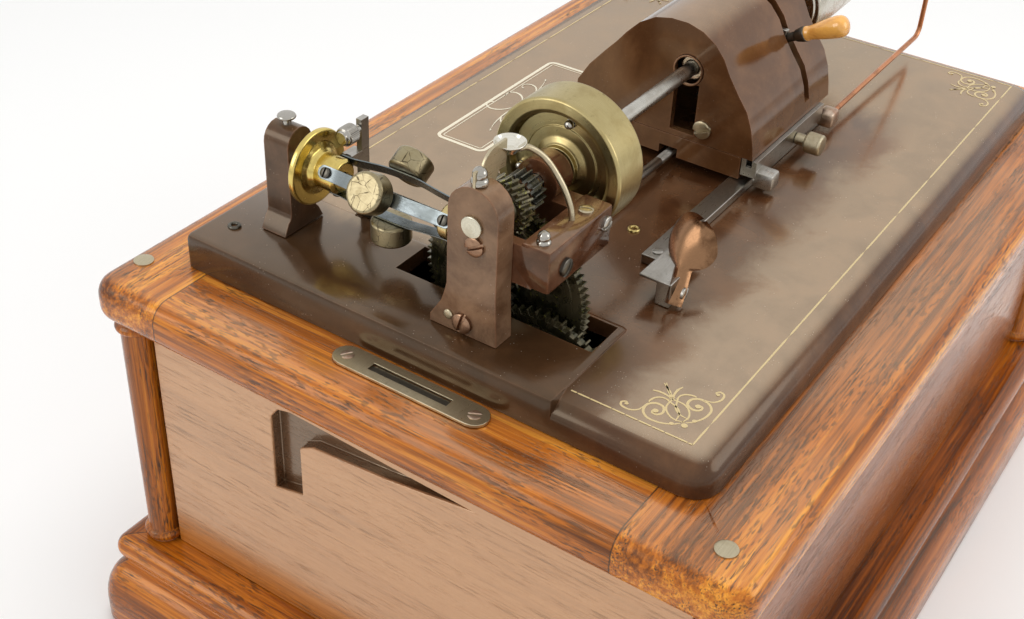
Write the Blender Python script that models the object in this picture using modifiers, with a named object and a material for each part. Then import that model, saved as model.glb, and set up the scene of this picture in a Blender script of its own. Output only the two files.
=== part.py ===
"""Cylinder phonograph: an oak table machine whose mandrel travels on a sliding carriage.

Metres, +Z up. The origin is on the floor at the middle of the case's length, a little in
front of the middle of its width. +X runs along the mandrel, away from the governor end,
and the machine's front faces -Y.
"""
import math

import bmesh
import bpy
from mathutils import Matrix, Vector

# Shared clearances
GAP = 0.0003
OVERRUN = 0.003

# Case
CASE_LENGTH = 0.470
CASE_WIDTH = 0.330
CASE_MIDDLE_Y = 0.0045
CASE_HEIGHT = 0.215
RIM_THICKNESS = 0.023
RIM_RAIL_WIDTH = 0.040
RIM_ROUND = 0.009
PANEL_INSET = 0.013
PANEL_THICKNESS = 0.009
COLUMN_RADIUS = 0.008
COLUMN_BEAD_RADIUS = 0.0105
COLUMN_BEAD_HEIGHT = 0.007
COLUMN_INSET = 0.014
BASE_HEIGHT = 0.055
BASE_STEP_HEIGHT = 0.017
BASE_STEP_OVERHANG = 0.003
BASE_OVERHANG = 0.015
BASE_ROUND = 0.018
BASE_WALL = 0.035
BASE_FLOOR = 0.009

# Finger recess in the left panel, and the catch plate above it
RECESS_WIDTH = 0.108
RECESS_HEIGHT = 0.050
RECESS_DEPTH = 0.006
RECESS_START_Y = 0.074
RECESS_DROP = 0.034
RECESS_OUTLINE_SHARES = (
    (0.0, 1.0), (0.0, 0.16), (0.04, 0.04), (0.11, 0.0), (1.0, 0.06),
    (0.59, 0.20), (0.22, 0.28), (0.15, 0.36), (0.15, 0.92),
)
CATCH_LENGTH = 0.078
CATCH_WIDTH = 0.013
CATCH_THICKNESS = 0.0015
CATCH_CENTRE_Y = 0.006
CATCH_EDGE_MARGIN = 0.0185
CATCH_SLOT_LENGTH = 0.040
CATCH_SLOT_WIDTH = 0.0045

# Bedplate
BED_END_MARGIN = 0.034
BED_WIDTH = 0.265
BED_MIDDLE_Y = 0.007
BED_HEIGHT = 0.016
BED_BEVEL = 0.012
BED_ROOT_DEPTH = 0.030
PLATFORM_BEVEL = 0.003
BED_SKIN = 0.006
BED_LIP = 0.010
PLATFORM_RISE = 0.0015
PLATFORM_RIGHT_FROM_END = 0.095
PLATFORM_FRONT_Y = -0.056
SLOT_LEFT_FROM_END = 0.070
SLOT_RIGHT_FROM_END = 0.091
SLOT_FRONT_Y = -0.052
SLOT_BACK_Y = 0.048

# Main shaft line
SHAFT_Y = -0.006
SHAFT_HEIGHT = 0.069
SHAFT_RADIUS = 0.0035
SHAFT_LEFT_FROM_END = 0.051
SHAFT_RIGHT_FROM_END = 0.335

# Gear train: teeth, modules and places along the shaft
FINE_MODULE = 0.001
SHAFT_PINION_TEETH = 16
INTERMEDIATE_TEETH = 80
COARSE_TEETH_DISTANCE = 0.048
INTERMEDIATE_PINION_TEETH = 12
CENTRE_WHEEL_TEETH = 60
MOTOR_TEETH_DISTANCE = 0.060
CENTRE_PINION_TEETH = 10
BARREL_GEAR_TEETH = 40
INTERMEDIATE_Y = 0.0
CENTRE_Y = -0.026
TOOTH_ADDENDUM_SHARE = 0.80
TOOTH_DEDENDUM_SHARE = 1.25
TOOTH_ROOT_WIDTH_SHARE = 0.48
TOOTH_TIP_WIDTH_SHARE = 0.18
SHAFT_PINION_FROM_END = 0.085
SHAFT_PINION_WIDTH = 0.008
INTERMEDIATE_GEAR_FROM_END = 0.085
INTERMEDIATE_GEAR_WIDTH = 0.004
CENTRE_WHEEL_FROM_END = 0.076
CENTRE_WHEEL_WIDTH = 0.004
INTERMEDIATE_PINION_WIDTH = 0.006
BARREL_GEAR_FROM_END = 0.099
BARREL_GEAR_WIDTH = 0.004
CENTRE_PINION_WIDTH = 0.006

# Worm drive to the governor
WORM_MODULE = 0.001
WORM_WHEEL_TEETH = 24
WORM_STARTS = 2
WORM_RADIUS = 0.005
WORM_HALF_LENGTH = 0.008
WORM_TURN_STEPS = 12
WORM_WHEEL_FROM_END = 0.071
WORM_WHEEL_WIDTH = 0.008

# Flywheel
FLYWHEEL_RADIUS = 0.031
FLYWHEEL_WIDTH = 0.020
FLYWHEEL_RIM = 0.007
FLYWHEEL_DISH = 0.005
FLYWHEEL_LEFT_FROM_END = 0.109
FLYWHEEL_HUB_RADIUS = 0.009
FLYWHEEL_HUB_STAND = 0.0015

# Feed screw, which carries the intermediate gear and pinion at its left end
FEED_RADIUS = 0.0025
FEED_LEFT_FROM_END = 0.052
FEED_RIGHT_FROM_END = 0.3545
FEED_BLOCK_LEFT_FROM_END = 0.349
FEED_BLOCK_LENGTH = 0.010
FEED_BLOCK_WIDTH = 0.018
FEED_BLOCK_RISE = 0.008

# Near post
POST_LEFT_FROM_END = 0.048
POST_THICKNESS = 0.011
POST_FOOT_FRONT_Y = -0.020
POST_FOOT_BACK_Y = 0.013
POST_FOOT_RISE = 0.004
POST_FLARE = ((0.0105, 0.008), (0.0075, 0.013), (0.0060, 0.018))
POST_CENTRE_Y = -0.007
POST_HALF_WIDTH = 0.012
POST_TOP_HEIGHT = 0.088
POST_SHOULDER_HEIGHT = 0.040

# Bridge casting
BRIDGE_FRONT_Y = -0.036
BRIDGE_BACK_Y = -0.022
BRIDGE_BOTTOM_HEIGHT = 0.044
BRIDGE_TOP_HEIGHT = 0.064
BRIDGE_RIGHT_FROM_END = 0.107
BRIDGE_BEVEL = 0.0015
BRIDGE_LUG_THICKNESS = 0.0045
BRIDGE_LUG_BACK_Y = -0.008
BRIDGE_ARM_WIDTH = 0.012
BRIDGE_ARM_BOTTOM_HEIGHT = 0.052
BRIDGE_BOSS_RADIUS = 0.010
GEAR_RUNNING_ROOM = 0.0015

# Governor
SPINDLE_RADIUS = 0.0022
SPINDLE_BACK_Y = 0.108
SPINDLE_FRONT_Y = -0.0305
GOVERNOR_POST_FRONT_Y = 0.101
GOVERNOR_POST_THICKNESS = 0.014
GOVERNOR_POST_HALF_WIDTH = 0.008
GOVERNOR_POST_TOP_HEIGHT = 0.068
GOVERNOR_POST_FOOT_HALF_WIDTH = 0.013
GOVERNOR_POST_FOOT_RISE = 0.010
DISC_RADIUS = 0.0175
DISC_THICKNESS = 0.003
DISC_FRONT_Y = 0.0905
SLEEVE_RADIUS = 0.0080
SLEEVE_LENGTH = 0.014
COLLAR_FRONT_Y = 0.012
COLLAR_LENGTH = 0.010
SPRING_WIDTH = 0.006
SPRING_THICKNESS = 0.0006
SPRING_RISE = 0.0022
WEIGHT_RADIUS = 0.009
WEIGHT_LENGTH = 0.010
WEIGHT_Y = 0.051
WEIGHT_ANGLES = (150.0, 30.0, 270.0)
FRICTION_LEVER_FROM_END = 0.093
FRICTION_LEVER_WIDTH = 0.005
FRICTION_LEVER_Y = 0.084
FRICTION_LEVER_THICKNESS = 0.003
FRICTION_PIVOT_HEIGHT = 0.027
FRICTION_PIVOT_RADIUS = 0.0015
FRICTION_TOP_HEIGHT = 0.0695
FRICTION_PAD_SIZE = 0.005
FRICTION_PAD_TRAVEL = 0.0023
FRICTION_FOOT_LENGTH = 0.016
FRICTION_FOOT_THICKNESS = 0.002
SPEED_SCREW_RADIUS = 0.0045
SPEED_SCREW_LENGTH = 0.012
SPEED_SCREW_NECK_RADIUS = 0.002

# Oil cup over the worm wheel
OIL_PLATE_THICKNESS = 0.0012
OIL_PLATE_WIDTH = 0.012
OIL_PLATE_RISE = 0.007
OIL_DISH_FROM_END = 0.072
OIL_DISH_RADIUS = 0.0065
OIL_DISH_DEPTH = 0.004
OIL_PIPE_RADIUS = 0.0012
OIL_PIPE_X_SHARES = (0.0, 0.6, 0.9, 1.0, 1.0)
OIL_PIPE_Y_SHARES = (0.0, 0.25, 0.65, 1.0, 1.0)
OIL_PIPE_Z_SHARES = (0.0, 0.03, 0.22, 0.62, 1.0)
OIL_PIPE_END_FROM_END = 0.086
OIL_PIPE_END_Y = -0.029

# Carriage
CARRIAGE_LEFT_FROM_END = 0.226
CARRIAGE_RIGHT_FROM_END = 0.315
CARRIAGE_FRONT_Y = -0.039
CARRIAGE_BACK_Y = 0.053
CARRIAGE_BOTTOM_HEIGHT = 0.0213
CARRIAGE_SEAM_HEIGHT = 0.0332
COVER_WALL = 0.004
COVER_OUTLINE = (
    (-0.0450, 0.0332), (0.0545, 0.0332), (0.0541, 0.0459), (0.0480, 0.0560), (0.0400, 0.0655),
    (0.0340, 0.0722), (0.0290, 0.0785), (0.0225, 0.0853), (0.0145, 0.0902), (0.0060, 0.0921),
    (-0.0030, 0.0921), (-0.0110, 0.0899), (-0.0180, 0.0855), (-0.0234, 0.0795),
    (-0.0275, 0.0720), (-0.0331, 0.0640), (-0.0385, 0.0570), (-0.0420, 0.0487),
    (-0.0440, 0.0400),
)
COVER_TOP_HEIGHT = 0.0925
COVER_HOLE_RADIUS = 0.008
COVER_KEYHOLE_HALF_WIDTH = 0.0065
COVER_KEYHOLE_TOP_HEIGHT = 0.0625
COVER_KEYHOLE_BOTTOM_HEIGHT = 0.036
HANDLE_SLOT_FROM_END = 0.288
HANDLE_SLOT_WIDTH = 0.0055
HANDLE_SLOT_BOTTOM_HEIGHT = 0.040
HANDLE_SLOT_BACK_Y = 0.004
NUT_WINDOW_LEFT_FROM_END = 0.272
NUT_WINDOW_RIGHT_FROM_END = 0.292
NUT_WINDOW_HALF_WIDTH = 0.011
FEED_GROOVE_HALF_WIDTH = 0.005
FEED_GROOVE_TOP_HEIGHT = 0.026

# Rails that carry the carriage
RAIL_LEFT_FROM_END = 0.141
RAIL_END_MARGIN = 0.005
FRONT_RAIL_RIGHT_FROM_END = 0.317
RAIL_WIDTH = 0.010
RAIL_HEIGHT = 0.0045
FRONT_RAIL_Y = -0.039
REAR_RAIL_Y = 0.044

# Front fittings of the carriage
CHANNEL_LEFT_FROM_END = 0.2265
CHANNEL_RIGHT_FROM_END = 0.315
CHANNEL_WIDTH = 0.008
CHANNEL_BOTTOM_HEIGHT = 0.024
CHANNEL_TOP_HEIGHT = 0.0329
CHANNEL_GROOVE_WIDTH = 0.003
CHANNEL_GROOVE_DEPTH = 0.004
CLAMP_LENGTH = 0.010
CLAMP_REACH = 0.009
FAR_CLAMP_FRONT_Y = -0.0533
CLAMP_BOTTOM_HEIGHT = 0.019
CLAMP_TOP_HEIGHT = 0.028
CLAMP_ROUND = 0.002
CLAMP_SCREW_FROM_END = 0.273
CLAMP_SCREW_HEIGHT = 0.0265
CLAMP_SCREW_HEAD_RADIUS = 0.0055
CLAMP_SCREW_HEAD_LENGTH = 0.009
CLAMP_SCREW_NECK_RADIUS = 0.003
CLAMP_SCREW_NECK_LENGTH = 0.005
ROD_RADIUS = 0.0015
ROD_BEND_FROM_END = 0.440
ROD_END_HEIGHT = 0.100
ROD_BEND_RADIUS = 0.006

# Lift lever, its wood handle and half nut
LEVER_PIVOT_Y = 0.043
LEVER_PIVOT_HEIGHT = 0.0395
LEVER_PIVOT_RADIUS = 0.0025
LEVER_PIVOT_LEFT_FROM_END = 0.260
LEVER_THICKNESS = 0.003
LEVER_ARM_WIDTH = 0.008
LEVER_ELBOW_Y = -0.018
LEVER_TOP_Y = -0.0241
LEVER_TOP_HEIGHT = 0.0740
PIVOT_LUG_LENGTH = 0.006
PIVOT_LUG_HALF_WIDTH = 0.0045
HANDLE_TIP_Y = -0.0579
HANDLE_TIP_HEIGHT = 0.0854
HANDLE_ROOT_RADIUS = 0.0022
HANDLE_BELLY_RADIUS = 0.0055
HANDLE_ROOT_END_SHARE = 0.35
HANDLE_BELLY_SHARES = ((0.5, 0.98), (0.9, 0.92), (1.0, 0.82), (0.8, 0.62))
NUT_LENGTH = 0.010
NUT_HALF_WIDTH = 0.006
NUT_BOTTOM_RISE = 0.0019
NUT_TOP_HEIGHT = 0.037
NUT_GROOVE_ROOM = 0.0004

# Mandrel
MANDREL_LEFT_FROM_END = 0.326
MANDREL_LENGTH = 0.106
MANDREL_LEFT_RADIUS = 0.0225
MANDREL_RIGHT_RADIUS = 0.0213
MANDREL_WALL = 0.002
MANDREL_SLEEVE_RADIUS = 0.0065
MANDREL_SLEEVE_LEFT_FROM_END = 0.2295
MANDREL_WEB = 0.005

# Stop lever and its bracket
STOP_FROM_END = 0.123
STOP_Y = -0.058
STOP_BLOCK_LENGTH = 0.012
STOP_BLOCK_WIDTH = 0.007
STOP_BLOCK_RISE = 0.012
STOP_PLATE_RIGHT_FROM_END = 0.161
STOP_PLATE_BACK_Y = -0.046
STOP_PLATE_THICKNESS = 0.0015
STOP_LEVER_THICKNESS = 0.003
STOP_LEVER_FOOT_WIDTH = 0.006
STOP_PADDLE_RADIUS = 0.009
STOP_PADDLE_FROM_END = 0.149
STOP_PADDLE_RISE = 0.019
STOP_NECK_WIDTH = 0.004
STOP_PIVOT_RADIUS = 0.0015

# Spring motor under the bed
MOTOR_LEFT_FROM_END = 0.059
MOTOR_RIGHT_FROM_END = 0.189
MOTOR_PLATE_THICKNESS = 0.004
MOTOR_PLATE_HALF_WIDTH = 0.062
MOTOR_PLATE_BOTTOM_DEPTH = 0.136
PILLAR_RADIUS = 0.004
PILLAR_INSET = 0.008
PILLAR_TOP_DEPTH = 0.030
CENTRE_ARBOR_RADIUS = 0.003
CENTRE_ARBOR_OVERHANG = 0.003
BARREL_RADIUS = 0.044
BARREL_RIGHT_FROM_END = 0.173
BARREL_WALL = 0.002
MAINSPRING_CORE_RADIUS = 0.012
WINDING_RADIUS = 0.005
WINDING_END_REACH = 0.020
RATCHET_RADIUS = 0.016
RATCHET_ROOT_RADIUS = 0.013
RATCHET_TEETH = 12
RATCHET_THICKNESS = 0.004
PAWL_LENGTH = 0.024
PAWL_WIDTH = 0.006
PAWL_CLEARANCE = 0.0008
CRANK_LENGTH = 0.075
CRANK_WIDTH = 0.012
CRANK_THICKNESS = 0.006
KNOB_LENGTH = 0.034
KNOB_RADIUS = 0.010
KNOB_NECK_RADIUS = 0.005
KNOB_WAIST_SHARE = 0.82

# Finishes: colour, roughness, metallic
OAK = ((0.33, 0.11, 0.03), 0.32, 0.0)
ENAMEL = ((0.07, 0.025, 0.015), 0.18, 0.0)
NICKEL = ((0.62, 0.58, 0.50), 0.30, 1.0)
BRASS = ((0.62, 0.48, 0.20), 0.28, 1.0)
STEEL = ((0.42, 0.40, 0.37), 0.34, 1.0)
DARK_STEEL = ((0.10, 0.09, 0.07), 0.40, 1.0)
COPPER = ((0.60, 0.26, 0.12), 0.30, 1.0)
HANDLE_WOOD = ((0.55, 0.24, 0.07), 0.25, 0.0)

# Places along the case, from its left end
LEFT_END_X = -CASE_LENGTH / 2
BED_LENGTH = CASE_LENGTH - 2 * BED_END_MARGIN
REAR_RAIL_RIGHT_X = BED_LENGTH / 2 - RAIL_END_MARGIN
FRONT_RAIL_RIGHT_X = LEFT_END_X + FRONT_RAIL_RIGHT_FROM_END
PLATFORM_RIGHT_X = LEFT_END_X + PLATFORM_RIGHT_FROM_END
SLOT_LEFT_X = LEFT_END_X + SLOT_LEFT_FROM_END
SLOT_RIGHT_X = LEFT_END_X + SLOT_RIGHT_FROM_END
SHAFT_LEFT_X = LEFT_END_X + SHAFT_LEFT_FROM_END
SHAFT_RIGHT_X = LEFT_END_X + SHAFT_RIGHT_FROM_END
SHAFT_PINION_X = LEFT_END_X + SHAFT_PINION_FROM_END
INTERMEDIATE_GEAR_X = LEFT_END_X + INTERMEDIATE_GEAR_FROM_END
CENTRE_WHEEL_X = LEFT_END_X + CENTRE_WHEEL_FROM_END
BARREL_GEAR_X = LEFT_END_X + BARREL_GEAR_FROM_END
WORM_WHEEL_X = LEFT_END_X + WORM_WHEEL_FROM_END
FLYWHEEL_LEFT_X = LEFT_END_X + FLYWHEEL_LEFT_FROM_END
FEED_LEFT_X = LEFT_END_X + FEED_LEFT_FROM_END
FEED_RIGHT_X = LEFT_END_X + FEED_RIGHT_FROM_END
FEED_BLOCK_LEFT_X = LEFT_END_X + FEED_BLOCK_LEFT_FROM_END
POST_LEFT_X = LEFT_END_X + POST_LEFT_FROM_END
BRIDGE_RIGHT_X = LEFT_END_X + BRIDGE_RIGHT_FROM_END
FRICTION_LEVER_X = LEFT_END_X + FRICTION_LEVER_FROM_END
OIL_DISH_X = LEFT_END_X + OIL_DISH_FROM_END
OIL_PIPE_END_X = LEFT_END_X + OIL_PIPE_END_FROM_END
CARRIAGE_LEFT_X = LEFT_END_X + CARRIAGE_LEFT_FROM_END
CARRIAGE_RIGHT_X = LEFT_END_X + CARRIAGE_RIGHT_FROM_END
HANDLE_SLOT_X = LEFT_END_X + HANDLE_SLOT_FROM_END
NUT_WINDOW_LEFT_X = LEFT_END_X + NUT_WINDOW_LEFT_FROM_END
NUT_WINDOW_RIGHT_X = LEFT_END_X + NUT_WINDOW_RIGHT_FROM_END
RAIL_LEFT_X = LEFT_END_X + RAIL_LEFT_FROM_END
CHANNEL_LEFT_X = LEFT_END_X + CHANNEL_LEFT_FROM_END
CHANNEL_RIGHT_X = LEFT_END_X + CHANNEL_RIGHT_FROM_END
CLAMP_SCREW_X = LEFT_END_X + CLAMP_SCREW_FROM_END
ROD_BEND_X = LEFT_END_X + ROD_BEND_FROM_END
LEVER_PIVOT_LEFT_X = LEFT_END_X + LEVER_PIVOT_LEFT_FROM_END
MANDREL_LEFT_X = LEFT_END_X + MANDREL_LEFT_FROM_END
MANDREL_SLEEVE_LEFT_X = LEFT_END_X + MANDREL_SLEEVE_LEFT_FROM_END
STOP_X = LEFT_END_X + STOP_FROM_END
STOP_PLATE_RIGHT_X = LEFT_END_X + STOP_PLATE_RIGHT_FROM_END
STOP_PADDLE_X = LEFT_END_X + STOP_PADDLE_FROM_END
MOTOR_LEFT_X = LEFT_END_X + MOTOR_LEFT_FROM_END
MOTOR_RIGHT_X = LEFT_END_X + MOTOR_RIGHT_FROM_END
BARREL_RIGHT_X = LEFT_END_X + BARREL_RIGHT_FROM_END


# Heights turned into places above the floor
def above_rim(height):
    """Give the place of a height that is measured from the top of the case rim."""
    return CASE_HEIGHT + height


SHAFT_Z = above_rim(SHAFT_HEIGHT)
PLATFORM_Z = above_rim(BED_HEIGHT + PLATFORM_RISE)
BED_Z = above_rim(BED_HEIGHT)
FINE_DISTANCE = FINE_MODULE * (SHAFT_PINION_TEETH + INTERMEDIATE_TEETH) / 2
INTERMEDIATE_Z = SHAFT_Z - math.sqrt(FINE_DISTANCE**2 - (INTERMEDIATE_Y - SHAFT_Y)**2)
CENTRE_Z = INTERMEDIATE_Z - math.sqrt(COARSE_TEETH_DISTANCE**2 - (CENTRE_Y - INTERMEDIATE_Y)**2)
BARREL_Y = CENTRE_Y
BARREL_Z = CENTRE_Z - MOTOR_TEETH_DISTANCE
COARSE_MODULE = 2 * COARSE_TEETH_DISTANCE / (INTERMEDIATE_PINION_TEETH + CENTRE_WHEEL_TEETH)
MOTOR_MODULE = 2 * MOTOR_TEETH_DISTANCE / (CENTRE_PINION_TEETH + BARREL_GEAR_TEETH)
WORM_WHEEL_RADIUS = WORM_MODULE * WORM_WHEEL_TEETH / 2
WORM_LEAD = WORM_STARTS * math.pi * WORM_MODULE
GOVERNOR_Z = SHAFT_Z - WORM_WHEEL_RADIUS - WORM_RADIUS
POST_RIGHT_X = POST_LEFT_X + POST_THICKNESS

AXIS_X = Vector((1, 0, 0))
AXIS_Y = Vector((0, 1, 0))
AXIS_Z = Vector((0, 0, 1))
UPRIGHT_ACROSS = Matrix(((0, 0, 1), (1, 0, 0), (0, 1, 0))).to_4x4()
UPRIGHT_ALONG = Matrix(((1, 0, 0), (0, 0, -1), (0, 1, 0))).to_4x4()
LEVEL = Matrix.Identity(4)


def clear_scene():
    """Remove every object that the scene starts with."""
    for item in list(bpy.data.objects):
        bpy.data.objects.remove(item)


clear_scene()
PARTS = bpy.data.collections.new("cylinder_phonograph")
TOOLS = bpy.data.collections.new("cutters")
bpy.context.scene.collection.children.link(PARTS)
bpy.context.scene.collection.children.link(TOOLS)


# Building blocks
def paint(piece, finish):
    """Give a piece its own Principled material."""
    colour, roughness, metallic = finish
    material = bpy.data.materials.new(piece.name)
    material.use_nodes = True
    shader = material.node_tree.nodes["Principled BSDF"]
    shader.inputs["Base Color"].default_value = (*colour, 1.0)
    shader.inputs["Roughness"].default_value = roughness
    shader.inputs["Metallic"].default_value = metallic
    piece.data.materials.append(material)


def add_piece(name, mesh, finish):
    """Put a mesh into the scene, as a painted part, or as a tool if it has no finish."""
    piece = bpy.data.objects.new(name, mesh)
    if finish is None:
        TOOLS.objects.link(piece)
        piece.hide_render = True
        piece.display_type = "WIRE"
    else:
        PARTS.objects.link(piece)
        paint(piece, finish)
    return piece


def turn_to(axis):
    """Give the rotation that takes the local Z axis to an axis."""
    return Vector(axis).to_track_quat("Z", "Y").to_matrix().to_4x4()


def box(name, low, high, finish=None, bevel=0.0, segments=2):
    """Make a box between two corners, with an optional Bevel."""
    low = Vector(low)
    high = Vector(high)
    mesh = bpy.data.meshes.new(name)
    shape = bmesh.new()
    bmesh.ops.create_cube(shape, size=1.0)
    bmesh.ops.scale(shape, vec=high - low, verts=shape.verts)
    shape.to_mesh(mesh)
    shape.free()
    piece = add_piece(name, mesh, finish)
    piece.location = (low + high) / 2
    if bevel:
        edge = piece.modifiers.new("edge", "BEVEL")
        edge.width = bevel
        edge.segments = segments
    return piece


def cylinder(name, start, axis, radius, length, finish=None, sides=24):
    """Make a cylinder from the middle of one end, along an axis."""
    mesh = bpy.data.meshes.new(name)
    shape = bmesh.new()
    bmesh.ops.create_cone(
        shape, cap_ends=True, segments=sides, radius1=radius, radius2=radius, depth=length
    )
    shape.to_mesh(mesh)
    shape.free()
    mesh.shade_smooth()
    mesh.set_sharp_from_angle(angle=math.radians(40))
    piece = add_piece(name, mesh, finish)
    middle = Vector(start) + Vector(axis) * length / 2
    piece.matrix_world = Matrix.Translation(middle) @ turn_to(axis)
    return piece


def turned(name, start, axis, profile, finish=None, steps=32, ring=False):
    """Turn a profile of (radius, height) about an axis, from its top down its outer side."""
    mesh = bpy.data.meshes.new(name)
    edges = [(index, index + 1) for index in range(len(profile) - 1)]
    if ring:
        edges.append((len(profile) - 1, 0))
    mesh.from_pydata([(radius, 0.0, height) for radius, height in profile], edges, [])
    piece = add_piece(name, mesh, finish)
    piece.matrix_world = Matrix.Translation(Vector(start)) @ turn_to(axis)
    screw = piece.modifiers.new("turn", "SCREW")
    screw.steps = steps
    screw.render_steps = steps
    screw.use_merge_vertices = True
    screw.merge_threshold = 0.00001
    screw.use_smooth_shade = True
    return piece


def as_mesh(curve_object, name, finish):
    """Turn a curve object into a mesh piece with welded caps."""
    bpy.context.view_layer.update()
    graph = bpy.context.evaluated_depsgraph_get()
    mesh = bpy.data.meshes.new_from_object(curve_object.evaluated_get(graph))
    shape = bmesh.new()
    shape.from_mesh(mesh)
    bmesh.ops.remove_doubles(shape, verts=shape.verts, dist=0.000001)
    shape.to_mesh(mesh)
    shape.free()
    mesh.materials.clear()
    place = curve_object.matrix_world.copy()
    bpy.data.objects.remove(curve_object)
    piece = add_piece(name, mesh, finish)
    piece.matrix_world = place
    return piece


def flat_shape(name, outline, turn, middle, thickness, finish=None):
    """Make a flat plate from an outline; middle is the place of the outline's own zero."""
    curve = bpy.data.curves.new(name + "_outline", "CURVE")
    curve.dimensions = "2D"
    curve.fill_mode = "BOTH"
    curve.extrude = thickness / 2
    line = curve.splines.new("POLY")
    line.points.add(len(outline) - 1)
    for point, (across, along) in zip(line.points, outline):
        point.co = (across, along, 0.0, 1.0)
    line.use_cyclic_u = True
    outline_object = bpy.data.objects.new(name + "_outline", curve)
    PARTS.objects.link(outline_object)
    outline_object.matrix_world = Matrix.Translation(Vector(middle)) @ turn
    return as_mesh(outline_object, name, finish)


def rod(name, points, radius, finish=None):
    """Make a round rod along a line of points."""
    curve = bpy.data.curves.new(name + "_line", "CURVE")
    curve.dimensions = "3D"
    curve.bevel_depth = radius
    curve.bevel_resolution = 2
    curve.use_fill_caps = True
    line = curve.splines.new("POLY")
    line.points.add(len(points) - 1)
    for point, place in zip(line.points, points):
        point.co = (*place, 1.0)
    line_object = bpy.data.objects.new(name + "_line", curve)
    PARTS.objects.link(line_object)
    return as_mesh(line_object, name, finish)


def combine(piece, other, operation):
    """Join another shape to a piece, or cut it out, with an exact Boolean."""
    bpy.context.view_layer.update()
    other.parent = piece
    other.matrix_parent_inverse = piece.matrix_world.inverted()
    step = piece.modifiers.new(other.name, "BOOLEAN")
    step.operation = operation
    step.solver = "EXACT"
    step.object = other


def cut(piece, *others):
    """Cut shapes out of a piece."""
    for other in others:
        combine(piece, other, "DIFFERENCE")


def join(piece, *others):
    """Join shapes to a piece."""
    for other in others:
        combine(piece, other, "UNION")


def carry(name, point, *pieces):
    """Parent moving pieces to an empty on their joint's axis."""
    pivot = bpy.data.objects.new(name, None)
    pivot.location = point
    pivot.empty_display_size = SHAFT_RADIUS
    PARTS.objects.link(pivot)
    bpy.context.view_layer.update()
    for piece in pieces:
        piece.parent = pivot
        piece.matrix_parent_inverse = pivot.matrix_world.inverted()


def arc(across, along, radius, start, end, count):
    """Give points on an arc, by its middle, radius and angles in degrees."""
    points = []
    for index in range(count + 1):
        angle = math.radians(start + (end - start) * index / count)
        points.append((across + radius * math.cos(angle), along + radius * math.sin(angle)))
    return points


def ring_profile(outer, inner, length):
    """Give the profile of a plain ring that stands on zero."""
    return [(outer, length), (outer, 0.0), (inner, 0.0), (inner, length)]


# Gear shapes
def gear_outline(teeth, module, phase):
    """Give a spur gear's outline, with a tooth's middle at the phase angle."""
    radius = teeth * module / 2
    root = radius - TOOTH_DEDENDUM_SHARE * module
    tip = radius + TOOTH_ADDENDUM_SHARE * module
    pitch = 2 * math.pi / teeth
    corners = (
        (root, -TOOTH_ROOT_WIDTH_SHARE / 2), (tip, -TOOTH_TIP_WIDTH_SHARE / 2),
        (tip, TOOTH_TIP_WIDTH_SHARE / 2), (root, TOOTH_ROOT_WIDTH_SHARE / 2),
    )
    points = []
    for tooth in range(teeth):
        for reach, share in corners:
            angle = phase + pitch * (tooth + share)
            points.append((reach * math.cos(angle), reach * math.sin(angle)))
    return points


def direction(from_y, from_z, to_y, to_z):
    """Give the angle from one centre to another, seen with Y across and Z up."""
    return math.atan2(to_z - from_z, to_y - from_y)


def spur_gear(name, teeth, module, phase, x, y, z, width, finish=None):
    """Make a spur gear about an axis along X, at the middle of its width."""
    outline = gear_outline(teeth, module, phase)
    return flat_shape(name, outline, UPRIGHT_ACROSS, (x, y, z), width, finish)


def twisted_prism(name, section, axis_turn, start, length, twist, steps, finish=None):
    """Sweep a section along its local Z axis while it turns, to a twist in all."""
    mesh = bpy.data.meshes.new(name)
    shape = bmesh.new()
    first = shape.faces.new([shape.verts.new((across, along, 0.0)) for across, along in section])
    ring = list(first.edges)
    turn = Matrix.Rotation(twist / steps, 3, "Z")
    for _step in range(steps):
        swept = bmesh.ops.extrude_edge_only(shape, edges=ring)["geom"]
        verts = [item for item in swept if isinstance(item, bmesh.types.BMVert)]
        edges = [item for item in swept if isinstance(item, bmesh.types.BMEdge)]
        ring = [edge for edge in edges if edge.verts[0] in verts and edge.verts[1] in verts]
        bmesh.ops.translate(shape, vec=(0.0, 0.0, length / steps), verts=verts)
        bmesh.ops.rotate(shape, cent=(0.0, 0.0, 0.0), matrix=turn, verts=verts)
    bmesh.ops.contextual_create(shape, geom=ring)
    bmesh.ops.recalc_face_normals(shape, faces=shape.faces)
    bmesh.ops.triangulate(shape, faces=shape.faces)
    shape.to_mesh(mesh)
    shape.free()
    piece = add_piece(name, mesh, finish)
    piece.matrix_world = Matrix.Translation(Vector(start)) @ axis_turn
    return piece


def worm_section():
    """Give the worm's cross-section, with one thread's middle at angle zero."""
    root = WORM_RADIUS - TOOTH_DEDENDUM_SHARE * WORM_MODULE
    tip = WORM_RADIUS + TOOTH_ADDENDUM_SHARE * WORM_MODULE
    pitch = 2 * math.pi / WORM_STARTS
    half_root = TOOTH_ROOT_WIDTH_SHARE / 2
    half_tip = TOOTH_TIP_WIDTH_SHARE / 2
    valley_shares = (half_root, (1 + half_root) / 3, (2 - half_root) / 3)
    points = []
    for start in range(WORM_STARTS):
        for reach, share in ((root, -half_root), (tip, -half_tip), (tip, half_tip)):
            angle = pitch * (start + share)
            points.append((reach * math.cos(angle), reach * math.sin(angle)))
        for share in valley_shares:
            angle = pitch * (start + share)
            points.append((root * math.cos(angle), root * math.sin(angle)))
    return points


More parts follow.
